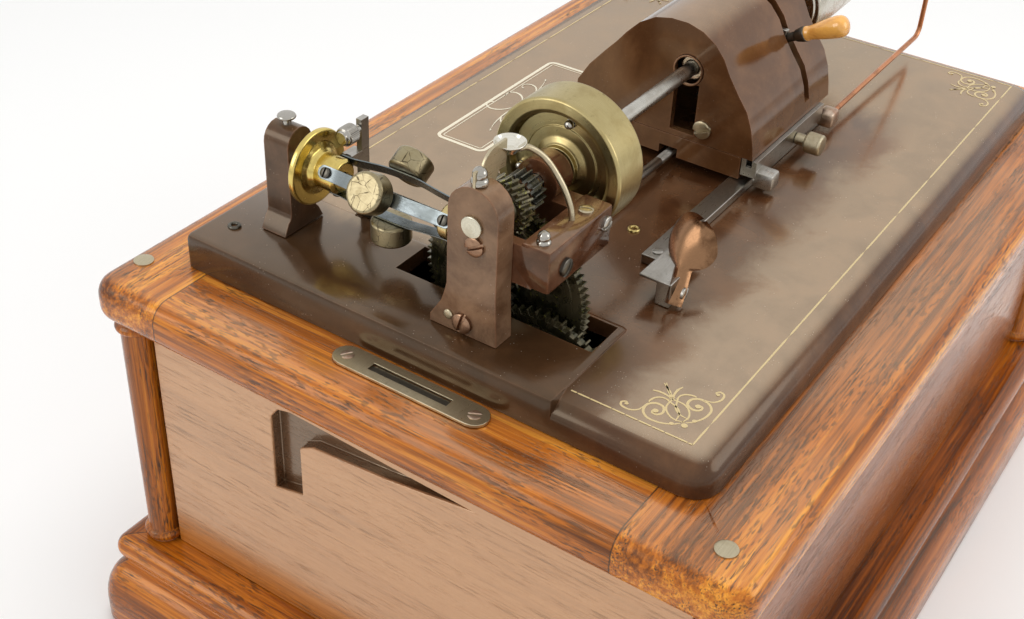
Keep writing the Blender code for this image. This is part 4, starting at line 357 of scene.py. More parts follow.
# Finishes
PORE_BROWN, JOINT_BROWN = (0.055, 0.018, 0.007), (0.02, 0.007, 0.003)
# Painted shade for the end panel's finger recess and the band under the rim above it.
RECESS_SHADE_BROWN = (0.06, 0.024, 0.01)
OAK_SHEEN, ENAMEL_SHEEN = (1.0, 0.8, 0.56), (1.0, 0.82, 0.6)
# Below: a darker patch at the bed's left end, and lighter enamel edges that are part rubbed wear and
# part painted highlight.
LEFT_PATCH_BROWN, EDGE_WEAR_HIGHLIGHT_BROWN = (0.03, 0.02, 0.009), (0.24, 0.105, 0.055)
# Below: painted pale sheen for end panels, painted tan sheen for up-facing enamel, grey dust.
PANEL_SHEEN_TAN, TOP_SHEEN_TAN, GREY_DUST = (0.54, 0.305, 0.17), (0.36, 0.22, 0.105), (0.42, 0.36, 0.3)
PANEL_MIDDLE_Y, PANEL_FACE_X, RECESS_MIDDLE_Y = 0.0045, -0.222, -0.02


@dataclass(frozen=True)
class Oak:
    """Varnished red-brown oak: long streaks, dark pores, short strokes and a thin coat.

    A crossing or a mitre turns the grain where rails meet. A panel sheen marks an end panel,
    which gets a painted pale sheen and painted shade in its finger recess.
    """

    name: str
    grain: Side = Side.X
    dark: Colour = (0.09, 0.018, 0.002)
    middle: Colour = (0.4, 0.105, 0.009)
    light: Colour = (0.8, 0.29, 0.025)
    crossing: float = 0.0
    crossing_middle: float = 0.0
    mitre: Optional[float] = None
    # The share of a painted pale sheen on an end panel, which also gets painted recess shade.
    panel_sheen: float = 0.0
    index: float = 2.2
    strokes: float = 0.85

    def streaks(self, graph: Graph, along: Side) -> tuple[Channel, Channel]:
        """Work out figure and pores for wood whose grain lies along one axis.

        Args:
            graph: The material's graph.
            along: The grain's axis.

        Returns:
            The figure between 0 and 1, and the pores between 0 and 1.
        """
        def stretched(long: float, wide: float) -> Channel:
            """Scale the place by one factor along the grain and by another across it."""
            factors = [wide, wide, wide]
            factors[along.value] = long
            return graph.scaled(factors)

        waves = graph.noise(stretched(2.6, 34.0), 1.0, 4.0, 0.6, 0.55)
        stripes = graph.noise(stretched(7.0, 420.0), 1.0, 4.0, 0.65, 0.2)
        figure = waves.above(0.27, 0.73) * 0.55 + stripes.above(0.3, 0.72) * 0.45
        pores = graph.noise(stretched(60.0, 1300.0), 1.0, 2.0, 0.5).above(0.54, 0.66)
        rows = graph.noise(stretched(4.0, 150.0), 1.0, 2.0, 0.5).above(0.36, 0.6)
        strokes = graph.noise(stretched(170.0, 1050.0), 1.0, 1.0, 0.4, 0.3).above(0.54, 0.62)
        patches = graph.noise(stretched(26.0, 90.0), 1.0, 2.0, 0.5).above(0.42, 0.6)
        return figure, pores * rows.to(0.2, 0.9) + strokes * patches * self.strokes

    def joint_line(self, graph: Graph) -> Channel:
        """Give the signed distance from the joint: below zero on the end rails.

        A butt joint lies where the distance across from the crossing's middle reaches the
        crossing, between the long rails only; a mitre lies where |x| - |y| reaches its offset.

        Args:
            graph: The material's graph.

        Returns:
            The distance.
        """
        x, y, _z = graph.split(graph.place)
        across = (y - self.crossing_middle).size()
        if self.mitre is not None:
            return (x.size() - across - self.mitre) * -0.7071
        return across - self.crossing

    def build(self) -> Material:
        """Make the oak, with the grain turned where rails cross if it has a crossing.

        Returns:
            The material.
        """
        graph = Graph(self.name)
        figure, pores = self.streaks(graph, self.grain)
        joint: Any = None
        if self.crossing or self.mitre is not None:
            other, other_pores = self.streaks(graph, Side.Y)
            edge = self.joint_line(graph)
            end_rail = edge.above(0.00005, -0.00005)
            figure = figure + (other - figure) * end_rail
            pores = pores + (other_pores - pores) * end_rail
            joint = edge.size().above(0.0005, 0.00012)
        stops = ((0.12, self.dark), (0.52, self.middle), (0.92, self.light))
        colour = graph.mix(pores * 0.78, graph.ramp(figure, stops), PORE_BROWN)
        blotch = graph.noise(graph.place, 9.0, 3.0, 0.6)
        colour = graph.mix(blotch.above(0.48, 0.8) * 0.25, colour, self.dark)
        if joint is not None:
            colour = graph.mix(joint * 0.85, colour, JOINT_BROWN)
        glaze: Any = None
        # End panels: a painted pale sheen, and painted shade in the finger recess.
        if self.panel_sheen:
            colour = self.end_panel(graph, colour, figure, pores)
        else:
            glaze = 1.0 - facing_up(graph) * blotch.above(0.3, 0.62).to(0.35, 1.0)
        marks = graph.noise(graph.place, 60.0, 4.0, 0.65)
        rough = marks.to(0.1, 0.28) + pores * 0.15
        height = figure * 0.25 - pores
        return graph.finish(
            colour, rough, 0.0, 0.12, height, 0.00012, 0.45, (self.index, 1.5, 0.03), OAK_SHEEN,
            glaze,
        )

    def end_panel(self, graph: Graph, colour: Channel, figure: Channel, pores: Channel) -> Channel:
        """Paint a pale sheen on the middle of an end panel, and paint shade in its finger recess.

        The painted sheen fades towards the panel's ends and foot, and is thinner in pores and
        streaks. The painted recess shade covers all that lies inward of the left panel's face, and
        the band under the rim above it. The last factor keeps the right panel out of it.

        Args:
            graph: The material's graph.
            colour: The oak's colour.
            figure, pores: As streaks gives them.

        Returns:
            The new colour.
        """
        x, y, z = graph.split(graph.place)
        inside = (y - PANEL_MIDDLE_Y).size().above(0.15, 0.138) * z.above(0.057, 0.082)
        # Painted sheen: a pale colour over the panel's middle.
        painted_sheen = inside * (1.0 - pores * 0.45 - (1.0 - figure) * 0.22) * self.panel_sheen
        colour = graph.mix(painted_sheen, colour, PANEL_SHEEN_TAN)
        # Painted shade: darken the finger recess and the band under the rim above it.
        hollow = (x - PANEL_FACE_X).above(0.0006, 0.0018)
        near = (y - RECESS_MIDDLE_Y).size().above(0.048, 0.0465)
        rim_shade_strip = z.above(0.1835, 0.185) * near
        inner = (hollow + rim_shade_strip).above(0.1, 0.9) * x.above(0.0, -0.1)
        return graph.mix(inner * 0.9, colour, RECESS_SHADE_BROWN)


@dataclass(frozen=True)
class Enamel:
    """Maroon-brown stoved enamel with dust, lighter edges and a painted tan sheen on top.

    The lighter edges are part rubbed wear and part painted highlight. Where the painted sheen
    lies the surface reflects strongly. Elsewhere, and on steep faces, the glaze gives a plain
    surface. The bed's enamel is also darker on a patch at its left end, and leaves the painted
    sheen out in its middle, which paints the dark reflection of the cover.
    """

    name: str
    deep: Colour = (0.056, 0.0195, 0.0075)
    worn: Colour = (0.135, 0.056, 0.022)
    rough: float = 0.16
    dust: float = 0.5
    # The width of the lighter edges, which are part rubbed wear and part painted highlight.
    rubbed: float = 0.0035
    # The share of a painted tan sheen laid on up-facing surfaces.
    film: float = 0.1
    index: float = 3.3
    # The share of the darker patch at the bed's left end, under the wheels.
    left_patch: float = 0.0

    def build(self) -> Material:
        """Make the enamel.

        Returns:
            The material.
        """
        graph = Graph(self.name)
        cloud = graph.noise(graph.place, 34.0, 5.0, 0.62, 0.3)
        fine = graph.noise(graph.place, 950.0, 3.0, 0.6)
        specks = graph.cells(graph.place, 520.0).above(0.16, 0.07)
        some = graph.noise(graph.place, 120.0, 2.0, 0.5).above(0.52, 0.66)
        specks = specks * some * self.dust
        colour = graph.mix(cloud.above(0.38, 0.72) * 0.75, self.deep, self.worn)
        colour = graph.mix(fine.above(0.5, 0.8) * 0.2, colour, self.worn)
        # Lighter edges: part rubbed wear, part painted highlight.
        colour = self.worn_and_highlit_edges(graph, colour, cloud)
        # Painted tan sheen on up-facing surfaces, left out on the darker left patch and where the
        # cover's dark reflection is painted.
        sheen_place = facing_up(graph)
        if self.left_patch:
            oily, cover_reflection = self.patch_and_reflection(graph, cloud)
            sheen_place = sheen_place * (1.0 - oily) * (1.0 - cover_reflection)
            # Darken the patch at the bed's left end.
            colour = graph.mix(oily * 0.6, colour, LEFT_PATCH_BROWN)
        # The painted tan sheen, its share clouded.
        film = sheen_place * cloud.to(0.6, 1.0) * self.film
        colour = graph.mix(film, colour, TOP_SHEEN_TAN)
        colour = graph.mix(specks, colour, GREY_DUST)
        rough = cloud.to(self.rough * 0.7, self.rough * 1.7) + specks * 0.5
        height = fine + specks * 2.0
        glaze = 1.0 - sheen_place * cloud.above(0.2, 0.6).to(0.8, 1.0)
        return graph.finish(
            colour, rough, 0.0, 0.1, height, 0.00004, 0.35, (self.index, 1.5, 0.03), ENAMEL_SHEEN,
            glaze,
        )

    def worn_and_highlit_edges(self, graph: Graph, colour: Channel, cloud: Channel) -> Channel:
        """Lighten edges: partly rubbed wear, partly a painted highlight.

        The edges are where the Bevel node's rounded normal leans away from the plain one.

        Args:
            graph: The material's graph.
            colour: The enamel's colour.
            cloud: Its cloudy noise.

        Returns:
            The new colour.
        """
        bevel = graph.add("ShaderNodeBevel", {"samples": 4}, {"Radius": self.rubbed * 0.35})
        plain = graph.add("ShaderNodeNewGeometry").value("Normal")
        inputs = {0: bevel.value("Normal"), 1: plain}
        dot = graph.add("ShaderNodeVectorMath", {"operation": "DOT_PRODUCT"}, inputs)
        edge = dot.value("Value").above(0.985, 0.9) * cloud.above(0.3, 0.62)
        # Lighter edges: part rubbed wear, part painted highlight.
        return graph.mix(edge * 0.75, colour, EDGE_WEAR_HIGHLIGHT_BROWN)

    def patch_and_reflection(self, graph: Graph, cloud: Channel) -> tuple[Channel, Channel]:
        """Find the darker patch under the wheels and the painted reflection of the cover.

        The patch is at the bed's left end. The reflection is in the bed's middle, where the painted
        sheen is left out.

        Each is a product of smooth steps along X and Y, whose edges waver with the cloud.

        Args:
            graph: The material's graph.
            cloud: The enamel's cloudy noise.

        Returns:
            The patch's share and the share of the painted cover reflection.
        """
        x, y, _z = graph.split(graph.place)
        # A darker patch at the bed's left end, under the wheels, its edge clouded.
        oily = (cloud * 0.03 + x).above(-0.118, -0.14) * (cloud * 0.02 + y).above(-0.07, -0.045)
        # Painted reflection of the dark cover: a place in the bed's middle without the painted sheen.
        drift = cloud * 0.05 - 0.025
        across, deep = x + drift, y + drift
        cover_reflection = deep.above(-0.09, -0.066) * deep.above(0.045, 0.015) * across.above(0.12, 0.085)
        return oily * self.left_patch, cover_reflection * 0.8


class Marks(Enum):
    """How a metal surface was finished."""

    TURNED = "turned about an axis"
    BRUSHED = "brushed along an axis"
    CAST = "plain"


@dataclass(frozen=True)
class Metal:
    """Bare or plated metal with tool marks, tarnish and dark spots."""

    name: str
    bright: Colour
    tarnish: Colour
    rough: tuple[float, float] = (0.2, 0.4)
    marks: Marks = Marks.BRUSHED
    axis: Side = Side.X
    centre: tuple[float, float, float] = (0.0, 0.0, 0.0)
    patina: float = 0.5
    spots: float = 0.4
    cracks: float = 0.0

    def tool_marks(self, graph: Graph) -> Channel:
        """Work out fine tool marks between 0 and 1.

        Turned marks follow the distance from the axis plus the distance along it, brushed
        marks are noise that is stretched along the axis.

        Args:
            graph: The material's graph.

        Returns:
            The marks.
        """
        if self.marks is Marks.TURNED:
            unit = graph.split(graph.scaled((1.0, 1.0, 1.0), self.centre))
            along = unit[self.axis.value]
            across = [part for index, part in enumerate(unit) if index != self.axis.value]
            radius = (across[0] * across[0] + across[1] * across[1]) ** 0.5
            line = graph.join((along + radius) * 2100.0, along * 300.0, 0.0)
            return graph.noise(line, 1.0, 3.0, 0.7)
        factors = [1500.0] * 3
        if self.marks is Marks.BRUSHED:
            factors[self.axis.value] = 30.0
        return graph.noise(graph.scaled(factors), 1.0, 3.0, 0.6)

    def build(self) -> Material:
        """Make the metal.

        Returns:
            The material.
        """
        graph = Graph(self.name)
        marks = self.tool_marks(graph)
        cloud = graph.noise(graph.place, 85.0, 5.0, 0.65, 0.5)
        spots = graph.noise(graph.place, 420.0, 4.0, 0.7)
        stain = cloud.above(0.42, 0.72) * self.patina
        colour = graph.mix(stain, self.bright, self.tarnish)
        dark = tuple(part * 0.3 for part in self.tarnish)
        pits = spots.above(0.6, 0.72)
        colour = graph.mix(pits * self.spots, colour, dark)
        colour = graph.mix(marks.above(0.35, 0.9) * 0.22, colour, dark)
        height = marks
        if self.cracks:
            bent = graph.noise(graph.place, 260.0, 3.0, 0.6)
            seam = graph.cells(graph.place, 210.0, "DISTANCE_TO_EDGE")
            seam = (seam + bent * 0.16 - 0.08).above(0.035, 0.0) * cloud.above(0.35, 0.55)
            colour = graph.mix(seam * self.cracks, colour, (0.05, 0.035, 0.02))
            height = marks - seam * 2.0
        low, high = self.rough
        rough = marks.to(low, high) + stain * 0.18 + pits * 0.15
        return graph.finish(colour, rough, 1.0, 0.0, height, 0.00003, 0.35)


@dataclass(frozen=True)
class Greased:
    """Dark oily metal with clots of yellow-green grease."""

    name: str
    metal: Colour = (0.12, 0.1, 0.055)
    grease: Colour = (0.34, 0.33, 0.035)
    amount: float = 0.5

    def build(self) -> Material:
        """Make the greased metal.

        Returns:
            The material.
        """
        graph = Graph(self.name)
        film = graph.noise(graph.place, 130.0, 4.0, 0.6, 0.6)
        clots = graph.noise(graph.place, 480.0, 3.0, 0.6, 0.8)
        cover = film.above(0.42, 0.68)
        colour = graph.mix(cover * 0.85, self.metal, (0.022, 0.028, 0.014))
        clot = clots.above(0.64 - 0.12 * self.amount, 0.74) * film.above(0.35, 0.6)
        colour = graph.mix(clot * self.amount * 1.6, colour, self.grease)
        rough = cover.to(0.3, 0.12) + clot * 0.1
        return graph.finish(colour, rough, 0.75, 0.35, clots + cover, 0.0001, 0.2)


@dataclass(frozen=True)
class TurnedWood:
    """Polished orange-brown handle wood with fine dark streaks."""

    name: str
    along: tuple[float, float, float] = (1.0, 0.0, 0.0)
    light: Colour = (0.92, 0.47, 0.1)
    dark: Colour = (0.52, 0.2, 0.035)

    def build(self) -> Material:
        """Make the handle wood, its streaks noise that is short across the grain.

        Returns:
            The material.
        """
        graph = Graph(self.name)
        factors = [420.0 - 385.0 * abs(part) for part in self.along]
        fibre = graph.noise(graph.scaled(factors), 1.0, 4.0, 0.65, 0.3)
        cloud = graph.noise(graph.place, 70.0, 3.0, 0.5)
        share = fibre.above(0.35, 0.75) * 0.6 + cloud.above(0.4, 0.8) * 0.35
        colour = graph.mix(share, self.light, self.dark)
        return graph.finish(colour, cloud.to(0.1, 0.26), 0.0, 0.6, fibre, 0.00003, 0.3)


@dataclass(frozen=True)
class Gilding:
    """Thin gold or cream transfer paint that is rubbed through in places."""

    name: str
    paint: Colour = (0.66, 0.52, 0.27)
    ground: Colour = (0.07, 0.03, 0.018)
    wear: float = 0.5
    metallic: float = 0.35

    def build(self) -> Material:
        """Make the paint.

        Returns:
            The material.
        """
        graph = Graph(self.name)
        rub = graph.noise(graph.place, 260.0, 4.0, 0.7)
        cloud = graph.noise(graph.place, 24.0, 2.0, 0.5)
        gone = rub.above(0.62, 0.72) * cloud.above(0.35, 0.6) * self.wear
        colour = graph.mix(gone, self.paint, self.ground)
        return graph.finish(colour, rub.to(0.3, 0.5), self.metallic, 0.2, rub, 0.00001, 0.2)


class Finishes:
    """Every finish of the machine, made once and handed out by name."""

    def __init__(self) -> None:
        """Make the finishes that many pieces share."""
        self.made: dict[str, Material] = {}
        kinds = (
            Oak("oak_along", Side.X), Oak("oak_upright", Side.Z),
            Oak("oak_side_along", Side.X, (0.1, 0.022, 0.003), (0.3, 0.08, 0.008),
                (0.52, 0.18, 0.026)),
            # The end panels: a painted pale sheen, and painted shade in the finger recess.
            Oak("oak_side_across", Side.Y, (0.16, 0.04, 0.006), (0.44, 0.15, 0.022),
                (0.6, 0.24, 0.05), panel_sheen=0.88, index=2.0, strokes=0.2),
            Oak("oak_rim", Side.X, (0.1, 0.02, 0.002), (0.5, 0.14, 0.012),
                (0.92, 0.38, 0.04), crossing=0.1165, crossing_middle=0.0115, index=2.6),
            Oak("oak_base", Side.X, (0.08, 0.016, 0.002), (0.38, 0.095, 0.007),
                (0.74, 0.25, 0.02), crossing_middle=0.0045, mitre=0.07, index=1.5),
            # The bed's enamel has the darker left patch and the painted cover reflection.
            Enamel("enamel_bed", index=4.0, left_patch=0.85),
            Enamel("enamel_cover", (0.09, 0.035, 0.013), (0.19, 0.085, 0.034), dust=0.25,
                   rough=0.1, film=0.16, index=2.6),
            Enamel("enamel_cast", (0.085, 0.038, 0.018), (0.3, 0.175, 0.1), 0.17, 0.35, 0.004,
                   0.15, 1.9),
            Enamel("enamel_post", (0.044, 0.02, 0.01), (0.13, 0.066, 0.036), 0.17, 0.35, 0.004,
                   0.15, 1.5),
            Enamel("enamel_bridge", (0.062, 0.022, 0.01), (0.19, 0.08, 0.04), 0.09, 0.35, 0.004,
                   0.1, 2.0),
            Metal("brown_steel", (0.36, 0.22, 0.14), (0.12, 0.055, 0.03), (0.2, 0.4)),
            Metal("copper_dark", (0.27, 0.145, 0.075), (0.06, 0.027, 0.012), (0.12, 0.32),
                  patina=0.9),
            Metal("clamp_metal", (0.56, 0.44, 0.34), (0.36, 0.15, 0.075), (0.2, 0.4), patina=0.8),
            Metal("nickel_aged", (0.52, 0.45, 0.31), (0.36, 0.28, 0.16)),
            Metal("nickel_bright", (0.42, 0.4, 0.36), (0.22, 0.19, 0.14), (0.06, 0.18),
                  Marks.CAST, patina=0.2, spots=0.2),
            Metal("steel_plain", (0.46, 0.44, 0.4), (0.22, 0.19, 0.15), (0.2, 0.38)),
            Metal("steel_blue", (0.23, 0.26, 0.27), (0.09, 0.1, 0.09), (0.16, 0.34),
                  axis=Side.Y, patina=0.5),
            Metal("steel_dark", (0.13, 0.12, 0.1), (0.04, 0.035, 0.025), (0.22, 0.42)),
            Metal("copper_worn", (0.62, 0.27, 0.13), (0.2, 0.085, 0.045), (0.18, 0.38),
                  patina=0.65),
            Metal("brass_oiled", (0.62, 0.48, 0.19), (0.27, 0.19, 0.05), (0.15, 0.34),
                  Marks.CAST, patina=0.6),
            Greased("greased_gear"), Greased("greased_wheel", amount=0.9),
            Greased("oily_teeth", (0.1, 0.095, 0.08), amount=0.12),
            TurnedWood("handle_polished", (0.0, 0.89, 0.46)),
            TurnedWood("knob_polished", (1.0, 0.0, 0.0)),
            Gilding("gold_transfer"),
            Gilding("cream_transfer", (0.8, 0.74, 0.58), wear=0.2, metallic=0.0),
            # Black paint for the painted shade under the bed's slot.
            Gilding("shade_black", (0.012, 0.009, 0.007), (0.03, 0.02, 0.015), metallic=0.0),
        )
        for kind in kinds:
            self.made[kind.name] = kind.build()

    def __getitem__(self, name: str) -> Material:
        """Give a finish by name."""
        return self.made[name]

    def turned(
        self, name: str, bright: Colour, tarnish: Colour, axis: Side, centre: Point,
        rough: tuple[float, float] = (0.16, 0.36), cracks: float = 0.0, patina: float = 0.5,
    ) -> str:
        """Add a turned metal about its own axis and give its name.

        Args:
            name, bright, tarnish, rough, cracks, patina: As in Metal.
            axis, centre: What it was turned about.

        Returns:
            The name.
        """
        kind = Metal(
            name, bright, tarnish, rough, Marks.TURNED, axis, tuple(float(c) for c in centre),
            patina, 0.35, cracks,
        )
        self.made[name] = kind.build()
        return name


# Mesh building
def put_in_scene(name: str, data: bpy.types.ID) -> Piece:
    """Make an object of a mesh, a camera or a light, and link it to the scene.

    Args:
        name: The object's name.
        data: Its mesh, camera or light.

    Returns:
        The object.
    """
    item = bpy.data.objects.new(name, data)
    bpy.context.scene.collection.objects.link(item)
    return item


def unit(vectors: Grid) -> Grid:
    """Scale each row to length one."""
    return vectors / np.maximum(np.linalg.norm(vectors, axis=-1, keepdims=True), 1e-12)


def basis(direction: Point) -> tuple[Grid, Grid, Grid]:
    """Give two directions square to a third, and that third.

    Args:
        direction: The third direction.

    Returns:
        The two directions and the third.
    """
    along = unit(np.array(direction, float))
    guide = np.array(Z_AXIS) if abs(along[2]) < 0.9 else np.array(X_AXIS)
    across = unit(np.cross(guide, along))
    return across, np.cross(along, across), along


def soften(corners: Sequence[Point], radius: float, steps: int = 3, ring: bool = False) -> Grid:
    """Round the corners of a flat line by quadratic curves with a support point on each side.

    Args:
        corners: The line's points.
        radius: How far each rounding reaches from its corner.
        steps: Steps in each rounding.
        ring: Whether the line closes on itself.

    Returns:
        The new points, n by 2.
    """
    line = np.array(corners, float)
    before, here, after = np.roll(line, 1, 0), line, np.roll(line, -1, 0)
    if not ring:
        before, here, after = line[:-2], line[1:-1], line[2:]
    back, ahead = before - here, after - here
    reach = 0.42 * np.minimum(np.linalg.norm(back, axis=1), np.linalg.norm(ahead, axis=1))
    reach = np.minimum(reach, radius)[:, None]
    start, end = here + unit(back) * reach, here + unit(ahead) * reach
    share = np.linspace(0.0, 1.0, steps + 1)[None, :, None]
    curve = (1 - share) ** 2 * start[:, None] + 2 * share * (1 - share) * here[:, None]
    curve = curve + share ** 2 * end[:, None]
    lead = (start + unit(back) * reach * 0.15)[:, None]
    trail = (end + unit(ahead) * reach * 0.15)[:, None]
    points = np.concatenate((lead, curve, trail), axis=1).reshape(-1, 2)
    if ring:
        return points
    return np.concatenate((line[:1], points, line[-1:]))


def arc(middle: Point, radius: float, start: float, end: float, count: int = 12) -> Grid:
    """Give points on an arc between two angles in degrees."""
    angle = np.radians(np.linspace(start, end, count + 1))
    return np.stack((middle[0] + radius * np.cos(angle), middle[1] + radius * np.sin(angle)), 1)


def grid_faces(rows: int, columns: int, wrap_rows: bool, wrap_columns: bool) -> Grid:
    """Give the quads of a grid as corner numbers, wrapped round where it closes.

    Args:
        rows, columns: The grid's size in points.
        wrap_rows: Whether the last row joins the first.
        wrap_columns: Whether each row closes on itself.

    Returns:
        The faces, n by 4.
    """
    row = np.arange(rows if wrap_rows else rows - 1)[:, None]
    column = np.arange(columns if wrap_columns else columns - 1)[None, :]
    next_row, next_column = (row + 1) % rows, (column + 1) % columns
    corners = (
        row * columns + column, row * columns + next_column,
        next_row * columns + next_column, next_row * columns + column,
    )
    return np.stack(np.broadcast_arrays(*corners), axis=-1).reshape(-1, 4)


@dataclass
class Maker:
    """A group of pieces, with the ways to make them from grids and CAD nodes and dress them."""

    finishes: Finishes
    count: int = 0

    def settle(
        self, name: str, points: Grid, faces: Sequence, finish: str, body: str,
        nodes: Nodes = (), smooth: float = 35.0,
    ) -> Piece:
        """Turn points and faces into a finished piece that rides on a body.

        Args:
            name: The piece's name.
            points: Corner places, n by 3.
            faces: Corner numbers of each face.
            finish: The finish's name.
            body: The CAD body that it moves with.
            nodes: The CAD nodes that it replaces.
            smooth: The angle in degrees above which an edge stays sharp.

        Returns:
            The piece.
        """
        mesh = bpy.data.meshes.new(name)
        mesh.from_pydata(np.asarray(points, float).reshape(-1, 3).tolist(), [], list(faces))
        shape = bmesh.new()
        shape.from_mesh(mesh)
        bmesh.ops.remove_doubles(shape, verts=shape.verts, dist=2e-7)
        bmesh.ops.dissolve_degenerate(shape, edges=shape.edges, dist=1e-8)
        bmesh.ops.recalc_face_normals(shape, faces=shape.faces)
        shape.to_mesh(mesh)
        shape.free()
        return self.dress(name, mesh, finish, body, nodes, smooth)

    def dress(
        self, name: str, mesh: bpy.types.Mesh, finish: str, body: str, nodes: Nodes,
        smooth: float,
    ) -> Piece:
        """Make an object of a mesh, shade and paint it, and put it on its body.

        Args:
            name, finish, body, nodes, smooth: As in settle.
            mesh: The mesh.

        Returns:
            The piece.
        """
        mesh.shade_smooth()
        mesh.set_sharp_from_angle(angle=radians(smooth))
        mesh.materials.clear()
        mesh.materials.append(self.finishes[finish])
        piece = put_in_scene(name, mesh)
        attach(piece, body)
        if nodes:
            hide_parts(*nodes)
        self.count += 1
        LOG.info("%s rides on %s", name, body)
        return piece

    def soft_edges(self, piece: Piece, width: float, segments: int = 2) -> None:
        """Round a piece's sharp edges with a Bevel that keeps flat faces flat.

        Args:
            piece: The piece.
            width, segments: The Bevel's size and steps.
        """
        bevel = piece.modifiers.new("edges", "BEVEL")
        bevel.width = width
        bevel.segments = segments
        bevel.limit_method = "ANGLE"
        bevel.angle_limit = radians(32)
        bevel.harden_normals = True
        bevel.use_clamp_overlap = True

    def refine(
        self, node: str, finish: str, body: str, edge: float = 0.0004, smooth: float = 35.0,
        segments: int = 2,
    ) -> None:
        """Copy a CAD node, weld it, round its edges and paint it.

        Args:
            node: The CAD node.
            finish: The finish's name.
            body: Its body.
            edge: The Bevel's width.
            smooth: The angle above which an edge stays sharp.
            segments: The Bevel's steps.
        """
        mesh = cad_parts[node].data.copy()
        for attribute in [item.name for item in mesh.attributes if item.name == "custom_normal"]:
            mesh.attributes.remove(mesh.attributes[attribute])
        shape = bmesh.new()
        shape.from_mesh(mesh)
        bmesh.ops.remove_doubles(shape, verts=shape.verts, dist=5e-6)
        bmesh.ops.dissolve_limit(
            shape, angle_limit=radians(0.5), verts=shape.verts, edges=shape.edges
        )
        shape.to_mesh(mesh)
        shape.free()
        piece = self.dress(node + "_shown", mesh, finish, body, (node,), smooth)
        if edge:
            self.soft_edges(piece, edge, segments)

    def refine_all(self, *rows: tuple) -> None:
        """Refine several CAD nodes, each row holding one call's arguments."""
        for row in rows:
            self.refine(*row)

    def turn(
        self, name: str, profile: Grid, start: Point, axis: Point, finish: str, body: str,
        nodes: Nodes = (), steps: int = 64, ring: bool = False,
        swell: Optional[Callable] = None, smooth: float = 50.0,
    ) -> None:
        """Turn a profile about an axis.

        A point's place is its radius times the cosine and sine of the turn angle, plus its
        height along the axis. The radius may swell with the angle and the height.

        Args:
            name, finish, body, nodes: As in settle.
            profile: Radius and height of each point.
            start: The axis's zero.
            axis: The axis's direction.
            steps: Steps round the axis.
            ring: Whether the profile closes on itself.
            swell: Gives the radius from angle, height and plain radius.
            smooth: The sharp angle.
        """
        points = turned_points(profile, start, axis, steps, swell)
        faces = grid_faces(len(points), steps, ring, True)
        self.settle(name, points, faces.tolist(), finish, body, nodes, smooth)

    def sweep(
        self, name: str, path: Grid, section: Grid, finish: str, body: str,
        nodes: Nodes = (), guide: Point = Z_AXIS, scale: Optional[Grid] = None,
    ) -> None:
        """Carry a section along a path and close its two ends.

        A point's place is the path's point plus the section's two parts along the path's
        side and up directions, which come from its tangent and a fixed guide direction.

        Args:
            name, finish, body, nodes: As in settle.
            path: Places along the path, n by 3.
            section: The section, m by 2.
            guide: The direction that the section's second part leans to.
            scale: The section's scale at each point, n by 2.
        """
        points = swept_points(path, section, guide, scale)
        rows, columns = points.shape[:2]
        faces = grid_faces(rows, columns, False, True).tolist()
        faces += [list(range(columns)), list(range((rows - 1) * columns, rows * columns))]
        self.settle(name, points, faces, finish, body, nodes, 50.0)

    def tube(
        self, name: str, path: Sequence[Point], radius: Any, finish: str, body: str,
        nodes: Nodes = (), guide: Point = Z_AXIS, sides: int = 20,
    ) -> None:
        """Carry a circle along a path, with one radius or one for each point.

        Args:
            radius: One radius or a row of them.
            sides: Sides of the circle.
            name, path, finish, body, nodes, guide: As in sweep.
        """
        line = np.array(path, float)
        scale = np.broadcast_to(np.array(radius, float), (len(line),))[:, None] * np.ones(2)
        self.sweep(name, line, circle(sides), finish, body, nodes, guide, scale)

    def slab(
        self, name: str, outline: Sequence[Point], middle: Point, flat: Side, thickness: float,
        finish: str, body: str, nodes: Nodes = (), edge: float = 0.0004, segments: int = 2,
    ) -> None:
        """Make a flat plate of an outline, with rounded edges.

        Args:
            name, finish, body, nodes: As in settle.
            outline: The outline in the two directions left when the flat one is taken out.
            middle: The place of the outline's zero, in the middle of the thickness.
            flat: The direction that the plate is flat across.
            thickness: Its thickness.
            edge: The Bevel's width.
            segments: The Bevel's steps.
        """
        line = np.array(outline, float)
        half = np.full((len(line), 1), thickness / 2)
        kept = [index for index in range(3) if index != flat.value]
        points = np.zeros((2, len(line), 3))
        points[:, :, kept] = line
        points[0, :, flat.value:flat.value + 1] = -half
        points[1, :, flat.value:flat.value + 1] = half
        points += np.array(middle, float)
        count = len(line)
        faces = grid_faces(2, count, False, True).tolist()
        faces += [list(range(count)), list(range(count, 2 * count))]
        piece = self.settle(name, points, faces, finish, body, nodes)
        self.soft_edges(piece, edge, segments)

    def block(self, name: str, low: Point, high: Point, finish: str, body: str) -> None:
        """Make a block with rounded edges between two corners.

        Args:
            name, finish, body: As in settle.
            low, high: The corners.
        """
        (left, front, bottom), (right, back, top) = low, high
        outline = ((left, front), (right, front), (right, back), (left, back))
        middle = (0.0, 0.0, (bottom + top) / 2)
        self.slab(
            name, outline, middle, Side.Z, top - bottom, finish, body, edge=0.0006, segments=3
        )

